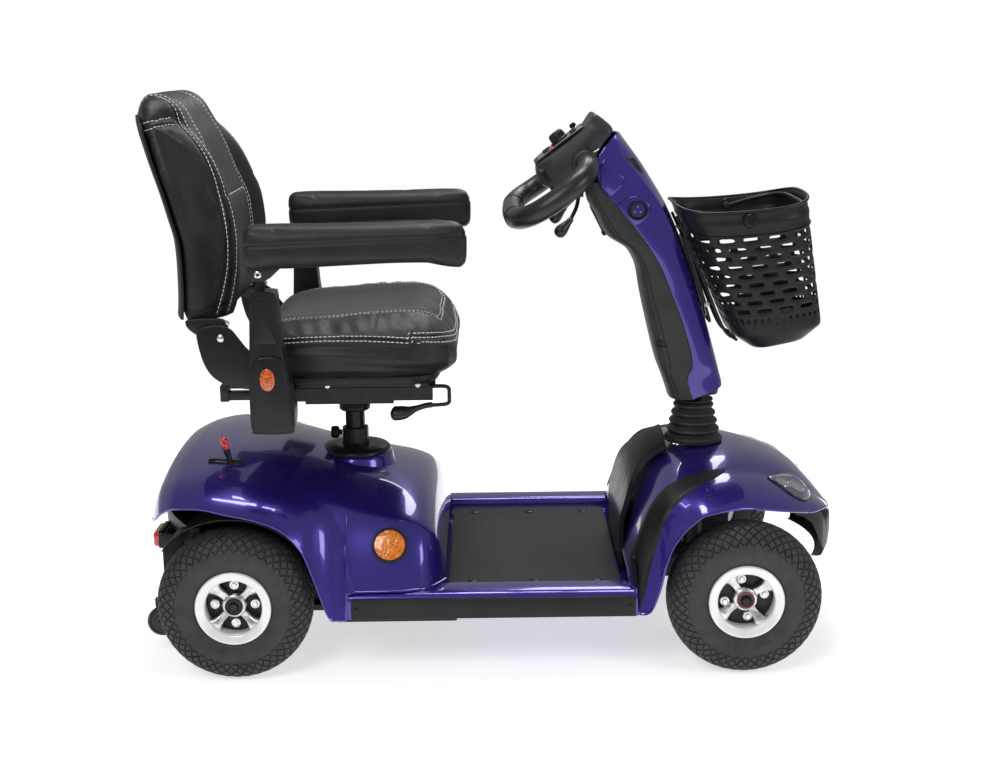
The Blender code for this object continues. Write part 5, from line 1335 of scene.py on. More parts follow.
def make_console_eyes():
    """Each side: an oval opening with a bright rim under the head, and the collar of the handlebar."""
    for word, side in SIDES:
        bm = bmesh.new()
        rings = []
        for grow, lift in ((1.12, -0.0020), (1.12, 0.0012), (1.0, 0.0016), (0.90, 0.0)):
            ring = []
            for k in range(32):
                a = 2 * math.pi * k / 32
                u, v = 0.0078 * math.cos(a) * grow, 0.0140 * math.sin(a) * grow
                tilt = math.radians(24)
                ring.append((0.6075 + u * math.cos(tilt) + v * math.sin(tilt), side * (0.0562 + lift),
                             0.8700 - u * math.sin(tilt) + v * math.cos(tilt)))
            rings.append(ring)
        surface(bm, rings, closed=True, cap_last=True)
        piece(f"console_eye_{word}", bm, MATT_BLACK, "tiller", angle=40)
        bm = bmesh.new()
        path = [(0.6005 + 0.018 * t, side * 0.0580, 0.8523 + 0.0050 * t + 0.003 * t * t)
                for t in np.linspace(0, 1, 10)]
        tube(bm, path, 0.0014, 10)
        piece(f"console_eye_rim_{word}", bm, BRIGHT, "tiller", angle=50)
        bm = bmesh.new()
        turned(bm, ((0.0195, -0.004), (0.0225, -0.002), (0.0230, 0.004), (0.0212, 0.009), (0.0190, 0.011)),
               (0.5950, side * 0.0550, 0.8370), (0, side, 0), 40)
        piece(f"bar_collar_{word}", bm, GREY_PLASTIC, "tiller", angle=50)


def make_dial():
    """Speed dial with finger ribs."""
    bm = bmesh.new()
    steps = 96
    rows = []
    for height, radius, rib in ((0.0008, 0.0162, 0), (0.0040, 0.0166, 0), (0.0055, 0.0158, 0),
                                (0.0062, 0.0148, 0.2), (0.0075, 0.0148, 1.0),
                                (0.0140, 0.0142, 1.0), (0.0170, 0.0132, 0.8), (0.0188, 0.0112, 0.3),
                                (0.0196, 0.0080, 0)):
        row = []
        for k in range(steps):
            angle = 2 * math.pi * k / steps
            dent = 0.0009 * rib * (0.5 + 0.5 * math.cos(16 * angle))
            spot = face_place(0.52, (radius - dent) * math.sin(angle), height + 0.0022)
            row.append(spot + FACE_ALONG * ((radius - dent) * math.cos(angle)))
        rows.append(row)
    loft(bm, rows)
    piece("dial_cap", bm, SATIN_BLACK, "dial", "speed_dial", angle=40)
    bm = bmesh.new()
    block(bm, (-0.0008, -0.0009, 0.0), (0.0105, 0.0009, 0.0008))
    bm.transform(Matrix.Translation(face_place(0.52, 0, 0.0212)) @ FACE_TURN)
    bevelled(piece("dial_mark", bm, THREAD, "dial"), 0.0003, 2)


def make_key_and_horn():
    """Ignition key and horn button."""
    bm = bmesh.new()
    turned(bm, ((0.0088, 0.0010), (0.0088, 0.0040), (0.0078, 0.0048), (0.0045, 0.0048), (0.0040, 0.0040)),
           face_place(0.86, 0.030, 0.0006), FACE_UP, 32)
    piece("key_barrel", bm, BRIGHT, "key", "ignition_key", angle=35)
    bm = bmesh.new()
    prism(bm, rounded((-0.0060, 0.0020), (0.0060, 0.0105), 0.0040, 6), -0.0011, 0.0011)
    bm.transform(Matrix.Translation(face_place(0.86, 0.030, 0.0032)) @ FACE_TURN)
    bevelled(piece("key_bow", bm, SATIN_BLACK, "key"), 0.0006, 2)
    bm = bmesh.new()
    turned(bm, ((0.0076, -0.0008), (0.0076, 0.0048), (0.0066, 0.0060), (0.0030, 0.0066), (0.0008, 0.0067)),
           face_place(0.30, -0.034, 0), FACE_UP, 40)
    piece("horn_cap", bm, RED, "horn", "horn_button", angle=45)


def make_handlebar():
    """Closed loop handlebar with a ring on each side of its rear middle."""
    half = [
        (0.5950, 0.0560, 0.8370), (0.5960, 0.1050, 0.8380), (0.5930, 0.1550, 0.8340),
        (0.5800, 0.1880, 0.8200),
        (0.5480, 0.2010, 0.7950), (0.5120, 0.1950, 0.7710), (0.4880, 0.1680, 0.7580),
        (0.4760, 0.1150, 0.7520),
    ]
    points = [(x, -y, z) for x, y, z in half] + [(0.4720, 0.0, 0.7500)] + half[::-1]
    path = spline(points, 180)
    bm = bmesh.new()
    tube(bm, path, 0.0180, 28)
    piece("handlebar_grip", bm, GRIP_RUBBER, "tiller", "handlebar", angle=60)
    for word, side in SIDES:
        bm = bmesh.new()
        spot = Vector((0.4752, side * 0.100, 0.7516))
        turned(bm, ((0.0178, -0.0100), (0.0190, -0.0090), (0.0190, -0.0030), (0.0183, -0.0020),
                    (0.0183, 0.0020), (0.0190, 0.0030),
                    (0.0190, 0.0090), (0.0178, 0.0100)), spot, (0.045, side, 0.012), 40)
        piece(f"grip_ring_{word}", bm, SATIN_BLACK, "tiller", angle=35)


def make_throttle():
    """Throttle lever under the bar."""
    bm = bmesh.new()
    block(bm, (0.5805, -0.0115, 0.7745), (0.5955, 0.0115, 0.7875))
    for _, side in SIDES:
        tube(bm, spline([(0.588, side * 0.004, 0.780), (0.580, side * 0.060, 0.762),
                         (0.566, side * 0.098, 0.742)], 16), 0.0034, 12)
    bevelled(piece("throttle_arms", bm, SATIN_BLACK, "throttle", "throttle_lever",
                   angle=40), 0.0008, 2, 50, 45)
    bm = bmesh.new()
    for _, side in SIDES:
        axis = Vector((-0.0155, side * 0.0045, -0.0165))
        turned(bm, ((0.0036, -0.003), (0.0050, 0.0), (0.0056, 0.0055), (0.0078, 0.0130), (0.0100, 0.0205),
                    (0.0106, 0.0262), (0.0094, 0.0318),
                    (0.0062, 0.0352), (0.0010, 0.0366)), (0.5685, side * 0.0955, 0.7450), axis, 36)
    piece("throttle_grips", bm, GRIP_RUBBER, "throttle", angle=60)


def make_tilt_lever():
    """A flat strip on a round foot."""
    bm = bmesh.new()
    low, high = Vector((0.6320, 0, 0.7110)), Vector((0.6075, 0, 0.7600))
    along = (high - low).normalized()
    across = Vector((along.z, 0, -along.x))
    rows = []
    for t, grow in ((0.0, 1.0), (0.9, 1.0), (1.0, 0.6)):
        spot = low.lerp(high, t)
        section = rounded((-0.0024, -0.0036), (0.0024, 0.0036), 0.0012, 3)
        rows.append([spot + across * (u * grow) + Vector((0, v * grow, 0)) for u, v in section])
    loft(bm, rows)
    turned(bm, ((0.0040, -0.0120), (0.0042, -0.0110), (0.0042, 0.0110), (0.0040, 0.0120)), low, (0, 1, 0),
           20)
    piece("tilt_strip", bm, SATIN_BLACK, "tilt_handle", "tilt_lever", angle=40)


def make_bellows():
    bottom, top = 0.3360, 0.4110
    profile = [(0.0500, bottom - 0.0005), (0.0528, bottom), (0.0532, bottom + 0.0030),
               (0.0505, bottom + 0.0045)]
    for i in range(91):
        t = i / 90
        wave = 0.5 + 0.5 * math.cos(2 * math.pi * 4.5 * t)
        radius = 0.0505 + (0.0345 - 0.0505) * t
        profile.append((radius - 0.0056 * (1 - wave ** 0.7), bottom + 0.0055 + (top - bottom - 0.0085) * t))
    profile += [(0.0352, top - 0.0018), (0.0348, top), (0.0300, top)]
    bm = bmesh.new()
    turned(bm, profile, (COLUMN_X, 0, 0), (0, 0, 1), 96)
    piece("column_boot", bm, SOFT_RUBBER, "column", "bellows", angle=55)


# ---------------------------------------------------------------- basket
# Levels from the floor up: rear and front points (x, z) and half width
BASKET_LEVELS = (
    ((0.884, 0.513), (0.984, 0.533), 0.084),
    ((0.850, 0.536), (1.012, 0.559), 0.103),
    ((0.749, 0.767), (0.977, 0.783), 0.130),
)
RIM_DIP = 0.015              # the rim is lower along the sides
BASKET_COLUMNS = 108         # cells round the wall
HANDLE_X = 0.866             # pivot of the carrying handle
HANDLE_Z = 0.744


def basket_ring(level, inset=0.0, count=BASKET_COLUMNS):
    """One ring of the wall; level runs 0 floor, 1 waist, 2 rim."""
    low = int(min(level, 0.9999 + (1 if level >= 1 else 0)))
    t = level - low
    a, b = BASKET_LEVELS[low], BASKET_LEVELS[low + 1]
    rear = [a[0][k] + (b[0][k] - a[0][k]) * t for k in (0, 1)]
    front = [a[1][k] + (b[1][k] - a[1][k]) * t for k in (0, 1)]
    half = a[2] + (b[2] - a[2]) * t
    middle = ((rear[0] + front[0]) / 2, (rear[1] + front[1]) / 2)
    slope = (front[1] - rear[1]) / (front[0] - rear[0])
    half_x = (front[0] - rear[0]) / 2
    # evenly spaced along the ring
    fine = []
    for k in range(1440):
        angle = 2 * math.pi * k / 1440
        x = math.copysign(abs(math.cos(angle)) ** 0.5, math.cos(angle)) * (half_x - inset)
        y = math.copysign(abs(math.sin(angle)) ** 0.5, math.sin(angle)) * (half - inset)
        fine.append((x, y))
    fine = np.array(fine + fine[:1])
    run = np.concatenate(([0], np.cumsum(np.hypot(*np.diff(fine, axis=0).T))))
    marks = np.linspace(0, run[-1], count, endpoint=False)
    xs, ys = np.interp(marks, run, fine[:, 0]), np.interp(marks, run, fine[:, 1])
    points = []
    for x, y in zip(xs, ys):
        dip = RIM_DIP * max(level - 1.0, 0.0) * abs(y / half) ** 2 * (1 - 0.30 * (x / half_x) ** 2)
        points.append((middle[0] + x, y, middle[1] + slope * x - dip))
    return points


def make_basket_wall():
    """Slotted wall and floor: long slots in staggered columns, with small holes in the band under them."""
    levels = [0.0, 0.35, 0.75, 0.92, 1.0, 1.10]
    first_slot = len(levels) - 1
    slot_rows = 19
    for k in range(1, slot_rows + 1):
        # the webs are taller than the slots between them
        share = (k + (-0.10 if k % 2 else 0.10) * (k < slot_rows)) / slot_rows
        levels.append(1.10 + (1.78 - 1.10) * share)
    levels += [1.84, 1.885, 1.90, 1.915, 1.96, 1.985]
    rings = []
    for level in levels:
        proud = -0.0016 if level in (1.885, 1.90, 1.985) else 0.0
        rings.append(basket_ring(level, 0.0030 + proud))
    bm = bmesh.new()
    made = surface(bm, rings, closed=True)
    # bottom with a rounded heel
    heel = [bm.verts.new(Vector(p) * 0.90 + Vector((0.0934, 0, 0.0497))) for p in rings[0]]
    for i in range(BASKET_COLUMNS):
        j = (i + 1) % BASKET_COLUMNS
        bm.faces.new((heel[i], heel[j], made[0][j], made[0][i]))
    bm.faces.new(heel)
    open_faces = []
    for row in range(slot_rows):
        lower, upper = made[first_slot + row], made[first_slot + row + 1]
        for i in range(BASKET_COLUMNS):
            j = (i + 1) % BASKET_COLUMNS
            place = (i + 2 * (row // 2)) % 6
            if row == 0:
                hole = i % 2 == 0
            else:
                hole = row % 2 == 0 and row > 1 and place < 4
            if hole:
                shared = [f for f in lower[i].link_faces if f in lower[j].link_faces
                          and f in upper[j].link_faces]
                open_faces += shared
    bmesh.ops.delete(bm, geom=list(set(open_faces)), context="FACES")
    wall = piece("basket_wall", bm, MATT_BLACK, "basket_body", "basket", angle=50)
    face_from(wall, Vector((0.90 + SHIFT, 0, 0.70)))
    solid = wall.modifiers.new("wall", "SOLIDIFY")
    solid.thickness = 0.0030
    solid.offset = -1.0
    solid.use_rim = True
    smoothing = wall.modifiers.new("smooth", "SUBSURF")
    smoothing.levels = 1
    applied(wall, 50)


def make_basket_rim():
    """Rolled rim with the rib below it, and ribs under the floor."""
    bm = bmesh.new()
    tube(bm, basket_ring(1.992, 0.0016, 160), 0.0026, 10, closed=True)
    tube(bm, basket_ring(1.80, 0.0022, 160), 0.0014, 8, closed=True)
    piece("basket_rolled_rim", bm, SATIN_BLACK, "basket_body", angle=60)
    bm = bmesh.new()
    for k in range(5):
        y = -0.052 + 0.026 * k
        tube(bm, [(0.895, y, 0.5170), (0.972, y, 0.5320)], 0.0022, 8)
    piece("basket_floor_ribs", bm, MATT_BLACK, "basket_body", angle=60)


def make_basket_handle():
    """Carrying handle with its pivot bosses."""
    bm = bmesh.new()
    for _, side in SIDES:
        turned(bm, ((0.0105, -0.0070), (0.0122, -0.0050), (0.0124, 0.0015), (0.0108, 0.0034),
                    (0.0060, 0.0040), (0.0052, 0.0022)),
               (HANDLE_X, side * 0.1290, HANDLE_Z), (0, side, 0), 40)
    piece("basket_bosses", bm, SATIN_BLACK, "basket_body", angle=40)
    half = [(HANDLE_X, 0.1190, HANDLE_Z), (0.8820, 0.1195, 0.7480), (0.9100, 0.1180, 0.7560),
            (0.9440, 0.1080, 0.7640), (0.9600, 0.0800, 0.7680), (0.9630, 0.0400, 0.7690)]
    path = spline([(x, -y, z) for x, y, z in half] + [(x, y, z) for x, y, z in half[::-1]], 90)
    bm = bmesh.new()
    tube(bm, path, 0.0029, 12)
    for _, side in SIDES:
        turned(bm, ((0.0060, -0.0020), (0.0070, -0.0010), (0.0070, 0.0024), (0.0055, 0.0034)),
               (HANDLE_X, side * 0.1190, HANDLE_Z), (0, side, 0), 28)
    piece("basket_bow_rod", bm, STEEL, "basket_bow", "basket_handle", angle=50)


def make_basket_rods():
    """Wire frame between the tiller and the basket, with its clamp."""
    bm = bmesh.new()
    for _, side in SIDES:
        y = side * 0.030
        tube(bm, spline([(0.7640, y, 0.7180), (0.7730, y, 0.7020), (0.7960, y, 0.6270), (0.8150, y, 0.5630),
                         (0.8160, y, 0.5560)], 24), 0.0027, 10)
    tube(bm, [(0.8160, -0.030, 0.5570), (0.8160, 0.030, 0.5570)], 0.0027, 10)
    tube(bm, [(0.7640, -0.030, 0.7180), (0.7640, 0.030, 0.7180)], 0.0027, 10)
    piece("tiller_hook_frame", bm, STEEL, "tiller", angle=50)
    bm = bmesh.new()
    for _, side in SIDES:
        y = side * 0.033
        tube(bm, spline([(0.7550, y, 0.7420), (0.7720, y, 0.7050), (0.8020, y, 0.6350), (0.8400, y, 0.5450),
                         (0.8640, y, 0.5230)], 24), 0.0027, 10)
    tube(bm, [(0.8640, -0.033, 0.5230), (0.8640, 0.033, 0.5230)], 0.0027, 10)
    piece("basket_hook_frame", bm, STEEL, "basket_body", angle=50)
    bm = bmesh.new()
    for _, side in SIDES:
        turned(bm, ((0.0045, -0.004), (0.0050, -0.003), (0.0050, 0.003), (0.0045, 0.004)),
               (0.8110, side * 0.0300, 0.5870), (0, 1, 0), 20)
        bolt(bm, (0.8110, side * 0.0335, 0.5870), (0, side, 0), 0.0030, 0.0025)
    piece("hook_clamps", bm, BRIGHT, "tiller", angle=35)


# ---------------------------------------------------------------- padded pieces
def coordinates(made):
    flat = np.empty(len(made.data.vertices) * 3)
    made.data.vertices.foreach_get("co", flat)
    return flat.reshape(-1, 3)


def set_coordinates(made, points):
    made.data.vertices.foreach_set("co", np.asarray(points, np.float32).ravel())
    made.data.update()


def normals(made):
    flat = np.empty(len(made.data.vertices) * 3, np.float32)
    made.data.vertex_normals.foreach_get("vector", flat)
    return flat.reshape(-1, 3).astype(float)


def puffed(made, voxel, cap, pressure=4.0):
    """Blows the cover of a cushion up as cloth, held to a small movement, then refines it once."""
    remesh = made.modifiers.new("remesh", "REMESH")
    remesh.mode = "VOXEL"
    remesh.voxel_size = voxel
    applied(made)
    if FULL:
        scene = bpy.context.scene
        start = coordinates(made)
        cloth = made.modifiers.new("cloth", "CLOTH")
        settings = cloth.settings
        settings.quality = 4
        settings.mass = 0.2
        settings.tension_stiffness = 12.0
        settings.compression_stiffness = 6.0
        settings.bending_stiffness = 0.4
        settings.use_pressure = True
        settings.uniform_pressure_force = pressure
        settings.effector_weights.gravity = 0.0
        cloth.point_cache.frame_start = 1
        cloth.point_cache.frame_end = 20
        for step in range(1, 21):
            scene.frame_set(step)
        depsgraph = bpy.context.evaluated_depsgraph_get()
        result = made.evaluated_get(depsgraph)
        flat = np.empty(len(result.data.vertices) * 3)
        result.data.vertices.foreach_get("co", flat)
        move = flat.reshape(-1, 3) - start
        made.modifiers.remove(cloth)
        scene.frame_set(1)
        length = np.linalg.norm(move, axis=1)
        move *= (np.minimum(length, cap) / np.maximum(length, 1e-9))[:, None]
        set_coordinates(made, start + move)
    finer = made.modifiers.new("finer", "SUBSURF")
    finer.levels = 1
    applied(made)
    smooth(made, 180)


def carve(made, lines, depth, width):
    """Presses grooves along lines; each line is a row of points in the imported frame."""
    points = coordinates(made)
    out = normals(made)
    tree = KDTree(sum(len(line) for line in lines))
    index = 0
    for line in lines:
        for point in line:
            tree.insert(point, index)
            index += 1
    tree.balance()
    far = np.array([tree.find(point)[2] for point in points])
    points -= out * (depth * np.exp(-(far / width) ** 2))[:, None]
    set_coordinates(made, points)


def surface_tree(made):
    return BVHTree.FromPolygons([v.co for v in made.data.vertices],
                                [p.vertices for p in made.data.polygons])


def draped(tree, pairs):
    """Where rays from outside points towards inner points meet a surface, with the normals there."""
    places = []
    for start, target in pairs:
        start, target = Vector(start), Vector(target)
        hit, normal, _, _ = tree.ray_cast(start, (target - start).normalized())
        if hit is not None:
            places.append((hit, normal))
    return places


def redraped(tree, group, reach=0.03):
    """The same lines laid onto a surface that has changed a little."""
    return [draped(tree, [(p + n * reach, p - n * reach) for p, n in places]) for places in group]


def resampled(places, step):
    """Even stations along draped places."""
    points = np.array([p for p, _ in places])
    vectors = np.array([n for _, n in places])
    run = np.concatenate(([0], np.cumsum(np.linalg.norm(np.diff(points, axis=0), axis=1))))
    marks = np.arange(step / 2, run[-1], step)
    return [(Vector([np.interp(m, run, points[:, k]) for k in range(3)]),
             Vector([np.interp(m, run, vectors[:, k]) for k in range(3)]).normalized()) for m in marks]


def stitch_row(bm, tree, places, offset=0.0, pitch=0.0074, length=0.0056, lift=0.0004):
    """Thread showing as short raised capsules along draped places."""
    stations = resampled(places, pitch)
    for i, (spot, normal) in enumerate(stations):
        after = stations[min(i + 1, len(stations) - 1)][0]
        before = stations[max(i - 1, 0)][0]
        along = (after - before).normalized()
        across = along.cross(normal).normalized()
        middle, normal, _, _ = tree.find_nearest(spot + across * offset + normal * 0.002)
        middle = middle + normal * lift
        points = [middle + along * (length * t) - normal * (0.0005 * (2 * t) ** 2)
                  for t in (-0.5, -0.3, 0.0, 0.3, 0.5)]
        tube(bm, points, [0.0004, 0.0008, 0.0009, 0.0008, 0.0004], 6)


def seam_piece(name, tree, rows, body, offsets=(0.0,)):
    bm = bmesh.new()
    for places in rows:
        for offset in offsets:
            stitch_row(bm, tree, places, offset)
    bm.transform(Matrix.Translation((-SHIFT, 0, 0)))
    return piece(name, bm, THREAD, body, angle=60)


def groove(places):
    """Close-set points along draped places."""
    return [spot for spot, _ in resampled(places, 0.002)]


def piping(name, rows, body, radius, material, lift=0.0):
    """A thin sewn bead along draped places."""
    bm = bmesh.new()
    for places in rows:
        stations = resampled(places, 0.006)
        tube(bm, [spot + normal * lift for spot, normal in stations], radius, 8)
    bm.transform(Matrix.Translation((-SHIFT, 0, 0)))
    return piece(name, bm, material, body, angle=70)


def paint_faces(made, chooser):
    for polygon in made.data.polygons:
        polygon.material_index = chooser(polygon.center.x - SHIFT, polygon.center.y, polygon.center.z,
                                         polygon.normal)


def ring_point(angle, half_x, half_y, squareness):
    power = 2 / squareness
    c, s = math.cos(angle), math.sin(angle)
    return half_x * math.copysign(abs(c) ** power, c), half_y * math.copysign(abs(s) ** power, s)


# Seat cushion stations: distance forward, top, bottom, half width
CUSHION = (
    (0.030, 0.556, 0.5080, 0.170), (0.036, 0.568, 0.5010, 0.188), (0.056, 0.580, 0.4960, 0.206),
    (0.100, 0.589, 0.4940, 0.221),
    (0.160, 0.592, 0.4930, 0.228), (0.220, 0.597, 0.4930, 0.229), (0.290, 0.599, 0.4940, 0.225),
    (0.330, 0.594, 0.4960, 0.213), (0.360, 0.572, 0.5000, 0.194), (0.379, 0.542, 0.5080, 0.158),
)
SEAM_HEIGHT = 0.563


def downward(x, y):
    """A ray straight down through the seat."""
    return (x + SHIFT, y, 0.75), (x + SHIFT, y, 0.45)


def seat_rings():
    """Sections of the seat cushion, with a dished middle."""
    table = np.array(CUSHION)
    rings = []
    for x in np.concatenate((np.linspace(0.030, 0.060, 8), np.linspace(0.075, 0.320, 20),
                             np.linspace(0.332, 0.379, 10))):
        top, bottom, half = (float(monotone(table[:, 0], table[:, k], x)) for k in (1, 2, 3))
        ring = []
        for i in range(64):
            y, z = ring_point(2 * math.pi * (i + 0.5) / 64, half, (top - bottom) / 2, 4.2)
            height = (top + bottom) / 2 + z
            # dished middle with firmer bolsters along the sides
            dish = (0.012 * float(step_up(0.15, 0.07, abs(y))) * float(step_up(0.57, 0.60, height))
                    * float(step_up(0.33, 0.26, x)))
            ring.append((x, y, height - dish))
        rings.append(ring)
    return rings


def press_seat_folds(seat):
    """Soft folds along the leather sides."""
    points = coordinates(seat)
    out = normals(seat)
    x, y, z = points[:, 0] - SHIFT, points[:, 1], points[:, 2]
    side_wall = step_up(0.17, 0.21, np.abs(y)) * step_up(0.554, 0.546, z) * step_up(0.500, 0.512, z)
    fold = (np.exp(-((z - 0.5300 - 0.012 * np.sin(9 * x + 0.4)) / 0.006) ** 2)
            - 0.7 * np.exp(-((z - 0.5160 - 0.008 * np.sin(11 * x)) / 0.005) ** 2))
    points += out * (side_wall * fold * 0.0034)[:, None]
    band = step_up(0.163, 0.175, np.abs(y)) * step_up(0.572, 0.578, z)
    points += out * (band * 0.0007 * np.sin(210 * x + 60 * y) * step_up(0.06, 0.12, x))[:, None]
    set_coordinates(seat, points)


def seat_region(x, y, z, normal):
    """Material of a face: 0 leather below the seam, 1 fabric in the middle, 2 grey bolsters."""
    edge = (SEAM_HEIGHT + 0.010 * math.sin(math.pi * min(max((x - 0.02) / 0.33, 0), 1))
            - 0.012 * float(step_up(0.30, 0.37, x)))
    if z < edge - 0.001:
        return 0
    limit = 0.146 + 0.012 * math.sin(math.pi * min(max((x - 0.045) / 0.255, 0), 1))
    if x < 0.300:
        inside = abs(y) < limit
    else:
        corner = ((x - 0.300) / 0.045) ** 2 + (max(abs(y) - 0.106, 0) / 0.040) ** 2
        inside = corner < 1 and x < 0.345
    return 1 if inside and normal.z > 0.3 else 2


def make_seat_cushion():
    bm = bmesh.new()
    loft(bm, seat_rings())
    seat = piece("seat_pad", bm, [LEATHER, FABRIC, GREY_LEATHER], "seat", "seat_cushion",
                 angle=180)
    puffed(seat, 0.0062, 0.007)
    tree = surface_tree(seat)
    upper, lower, under = [], [], []
    for _, side in SIDES:
        pairs = []
        for x in np.linspace(0.045, 0.300, 60):
            y = 0.146 + 0.012 * math.sin(math.pi * (x - 0.045) / 0.255)
            pairs.append(downward(x, side * y))
        for a in np.linspace(0, math.pi / 2, 30):
            x, y = 0.300 + 0.045 * math.sin(a), 0.106 + 0.040 * math.cos(a)
            pairs.append(downward(x, side * y))
        pairs.append(downward(0.345, 0))
        upper.append(draped(tree, pairs))
        for store, drop in ((lower, 0.0), (under, -0.0125)):
            pairs = []
            for x in np.linspace(0.045, 0.300, 60):
                z = SEAM_HEIGHT + drop + 0.010 * math.sin(math.pi * (x - 0.02) / 0.33)
                pairs.append(((x + SHIFT, side * 0.40, z + 0.02), (x + SHIFT, 0, z - 0.03)))
            for a in np.linspace(0, math.pi / 2, 60):
                x, y = 0.300 + 0.30 * math.sin(a), 0.30 * math.cos(a)
                z = (SEAM_HEIGHT + drop + 0.010 * math.sin(math.pi * 0.28 / 0.33)
                     - 0.012 * float(step_up(0, math.pi / 2, a)))
                pairs.append(((x + SHIFT, side * y, z + 0.02),
                              (0.300 - 0.06 * math.sin(a) + SHIFT, 0, z - 0.03)))
            store.append(draped(tree, pairs))
    cross = []
    for _, side in SIDES:
        cross.append(draped(tree, [downward(0.241, side * y) for y in np.linspace(0.158, 0.205, 24)]))
    carve(seat, [groove(places) for places in upper + lower], 0.0036, 0.0042)
    carve(seat, [groove(places) for places in under + cross], 0.0018, 0.0034)
    press_seat_folds(seat)
    paint_faces(seat, seat_region)
    tree = surface_tree(seat)
    upper, lower, under = (redraped(tree, group) for group in (upper, lower, under))
    seam_piece("seat_stitches_upper", tree, upper, "seat", offsets=(-0.0042, 0.0042))
    seam_piece("seat_stitches_lower", tree, lower, "seat", offsets=(-0.0042, 0.0042))
    seam_piece("seat_stitches_under", tree, [places[62:] for places in under], "seat")
    piping("seat_piping", lower + upper, "seat", 0.0011, SATIN_BLACK, -0.0004)


# Backrest levels: height, rear face in the middle, front face, half width
BACKREST = (
    (0.594, -0.1010, 0.0020, 0.2120), (0.618, -0.0985, 0.0070, 0.2140), (0.650, -0.0970, 0.0110, 0.2160),
    (0.685, -0.0965, 0.0140, 0.2180), (0.720, -0.0980, 0.0150, 0.2190),
    (0.765, -0.1080, 0.0110, 0.2200), (0.810, -0.1200, -0.0030, 0.2200), (0.850, -0.1330, -0.0200, 0.2150),
    (0.885, -0.1440, -0.0420, 0.2070),
    (0.920, -0.1550, -0.0680, 0.1970), (0.945, -0.1630, -0.0780, 0.1870), (0.968, -0.1660, -0.0820, 0.1720),
)
BACK_WRAP = 0.030
BACK_WALL = 0.004
RIDGE_Y = 0.145
INNER_SEAM_Y = 0.104
OUTER_SEAMS = (0.160, 0.180)


@lru_cache(maxsize=None)
def back_level(z):
    table = np.array(BACKREST)
    rear, front, half = (float(monotone(table[:, 0], table[:, k], z)) for k in (1, 2, 3))
    corner = min(max((z - 0.915) / 0.048, 0.0), 1.0)
    return rear, front, half - 0.040 * (1 - math.sqrt(1 - corner ** 2))


def back_front(z, y):
    """The face of the backrest: side bolsters stand forward of the middle panel."""
    _, front, half = back_level(z)
    reach = abs(y) * 0.220 / max(half, 0.19)
    recess = (0.022 * float(step_up(RIDGE_Y, INNER_SEAM_Y - 0.01, reach)) * float(step_up(0.925, 0.82, z))
              * (0.5 + 0.5 * float(step_up(0.62, 0.69, z))))
    shoulder = 0.034 * max(reach - RIDGE_Y, 0) ** 1.6 / 0.075 ** 1.6
    return front + 0.002 - recess - shoulder


def make_backrest_shell():
    """Moulded shell behind the cushion, with its brackets and bolts."""
    rows = []
    for z in np.linspace(0.600, 0.926, 44):
        rear, _, half = back_level(z)
        half -= 0.030 * (1 - math.sqrt(1 - min(max((z - 0.890) / 0.037, 0.0), 0.98) ** 2))
        row = []
        for share in np.linspace(-1, 1, 41):
            row.append((rear - 0.005 + BACK_WRAP * abs(share) ** 2.5, (half - 0.016) * share, z))
        rows.append(row)
    bm = bmesh.new()
    surface(bm, rows)
    shell = piece("backrest_tray", bm, MATT_BLACK, "backrest", "backrest_shell", angle=50)
    face_from(shell, Vector((0.30 + SHIFT, 0.0, 0.75)))
    thickened(shell, BACK_WALL, None, 50)
    bm = bmesh.new()
    for _, side in SIDES:
        outline = spline([(-0.062, 0.6020, 0), (-0.030, 0.6040, 0), (-0.004, 0.6020, 0),
                          (0.0035, 0.5860, 0), (0.0045, 0.5680, 0),
                          (-0.006, 0.5575, 0), (-0.0220, 0.5600, 0), (-0.042, 0.5720, 0),
                          (-0.060, 0.5850, 0), (-0.066, 0.5950, 0)], 66, closed=True)
        side_prism(bm, [(x, z) for x, z, _ in outline], side, 0.2045, 0.2115)
    bevelled(piece("recline_brackets", bm, SATIN_BLACK, "backrest"), 0.0015, 2)
    bm = bmesh.new()
    for _, side in SIDES:
        turned(bm, ((0.0050, 0.0), (0.0062, 0.0012), (0.0060, 0.0028), (0.0040, 0.0040), (0.0012, 0.0044)),
               (-0.008, side * 0.2190, 0.5730), (0, side, 0), 28)
        turned(bm, ((0.0040, 0.0), (0.0048, 0.0010), (0.0044, 0.0022), (0.0012, 0.0028)),
               (0.0010, side * 0.2085, 0.5960), (0, side, 0), 24)
    piece("recline_bolts", bm, BRIGHT, "backrest", angle=40)


def back_rings():
    """Levels of the backrest cushion, rounded over the top."""
    rings = []
    shares = np.concatenate((np.linspace(-1, -0.55, 14), np.linspace(-0.50, 0.50, 21),
                             np.linspace(0.55, 1, 14)))
    for z in np.concatenate((np.linspace(0.594, 0.640, 7), np.linspace(0.650, 0.930, 29),
                             np.linspace(0.935, 0.966, 9))):
        rear, _, half = back_level(z)
        half -= 0.005
        back, face = [], []
        for share in shares:
            y = half * share
            x_back = rear + BACK_WRAP * abs(share) ** 2.5 + BACK_WALL + 0.002
            x_edge = rear + BACK_WRAP + BACK_WALL + 0.016
            x_front = back_front(z, y) - 0.005
            round_off = abs(share) ** 12
            x_front = x_front + (x_edge - x_front) * round_off
            # rounded over the top
            x_front = max(x_front, x_back + 0.004)
            cap = math.sqrt(1 - min(max((z - 0.932) / 0.036, 0.0), 0.985) ** 2)
            inward = (x_front - x_back) / 2 * (1 - cap)
            back.append((x_back + inward * 0.6, y, z))
            face.append((x_front - inward * 1.2, y, z))
        rings.append(back + face[::-1])
    return rings


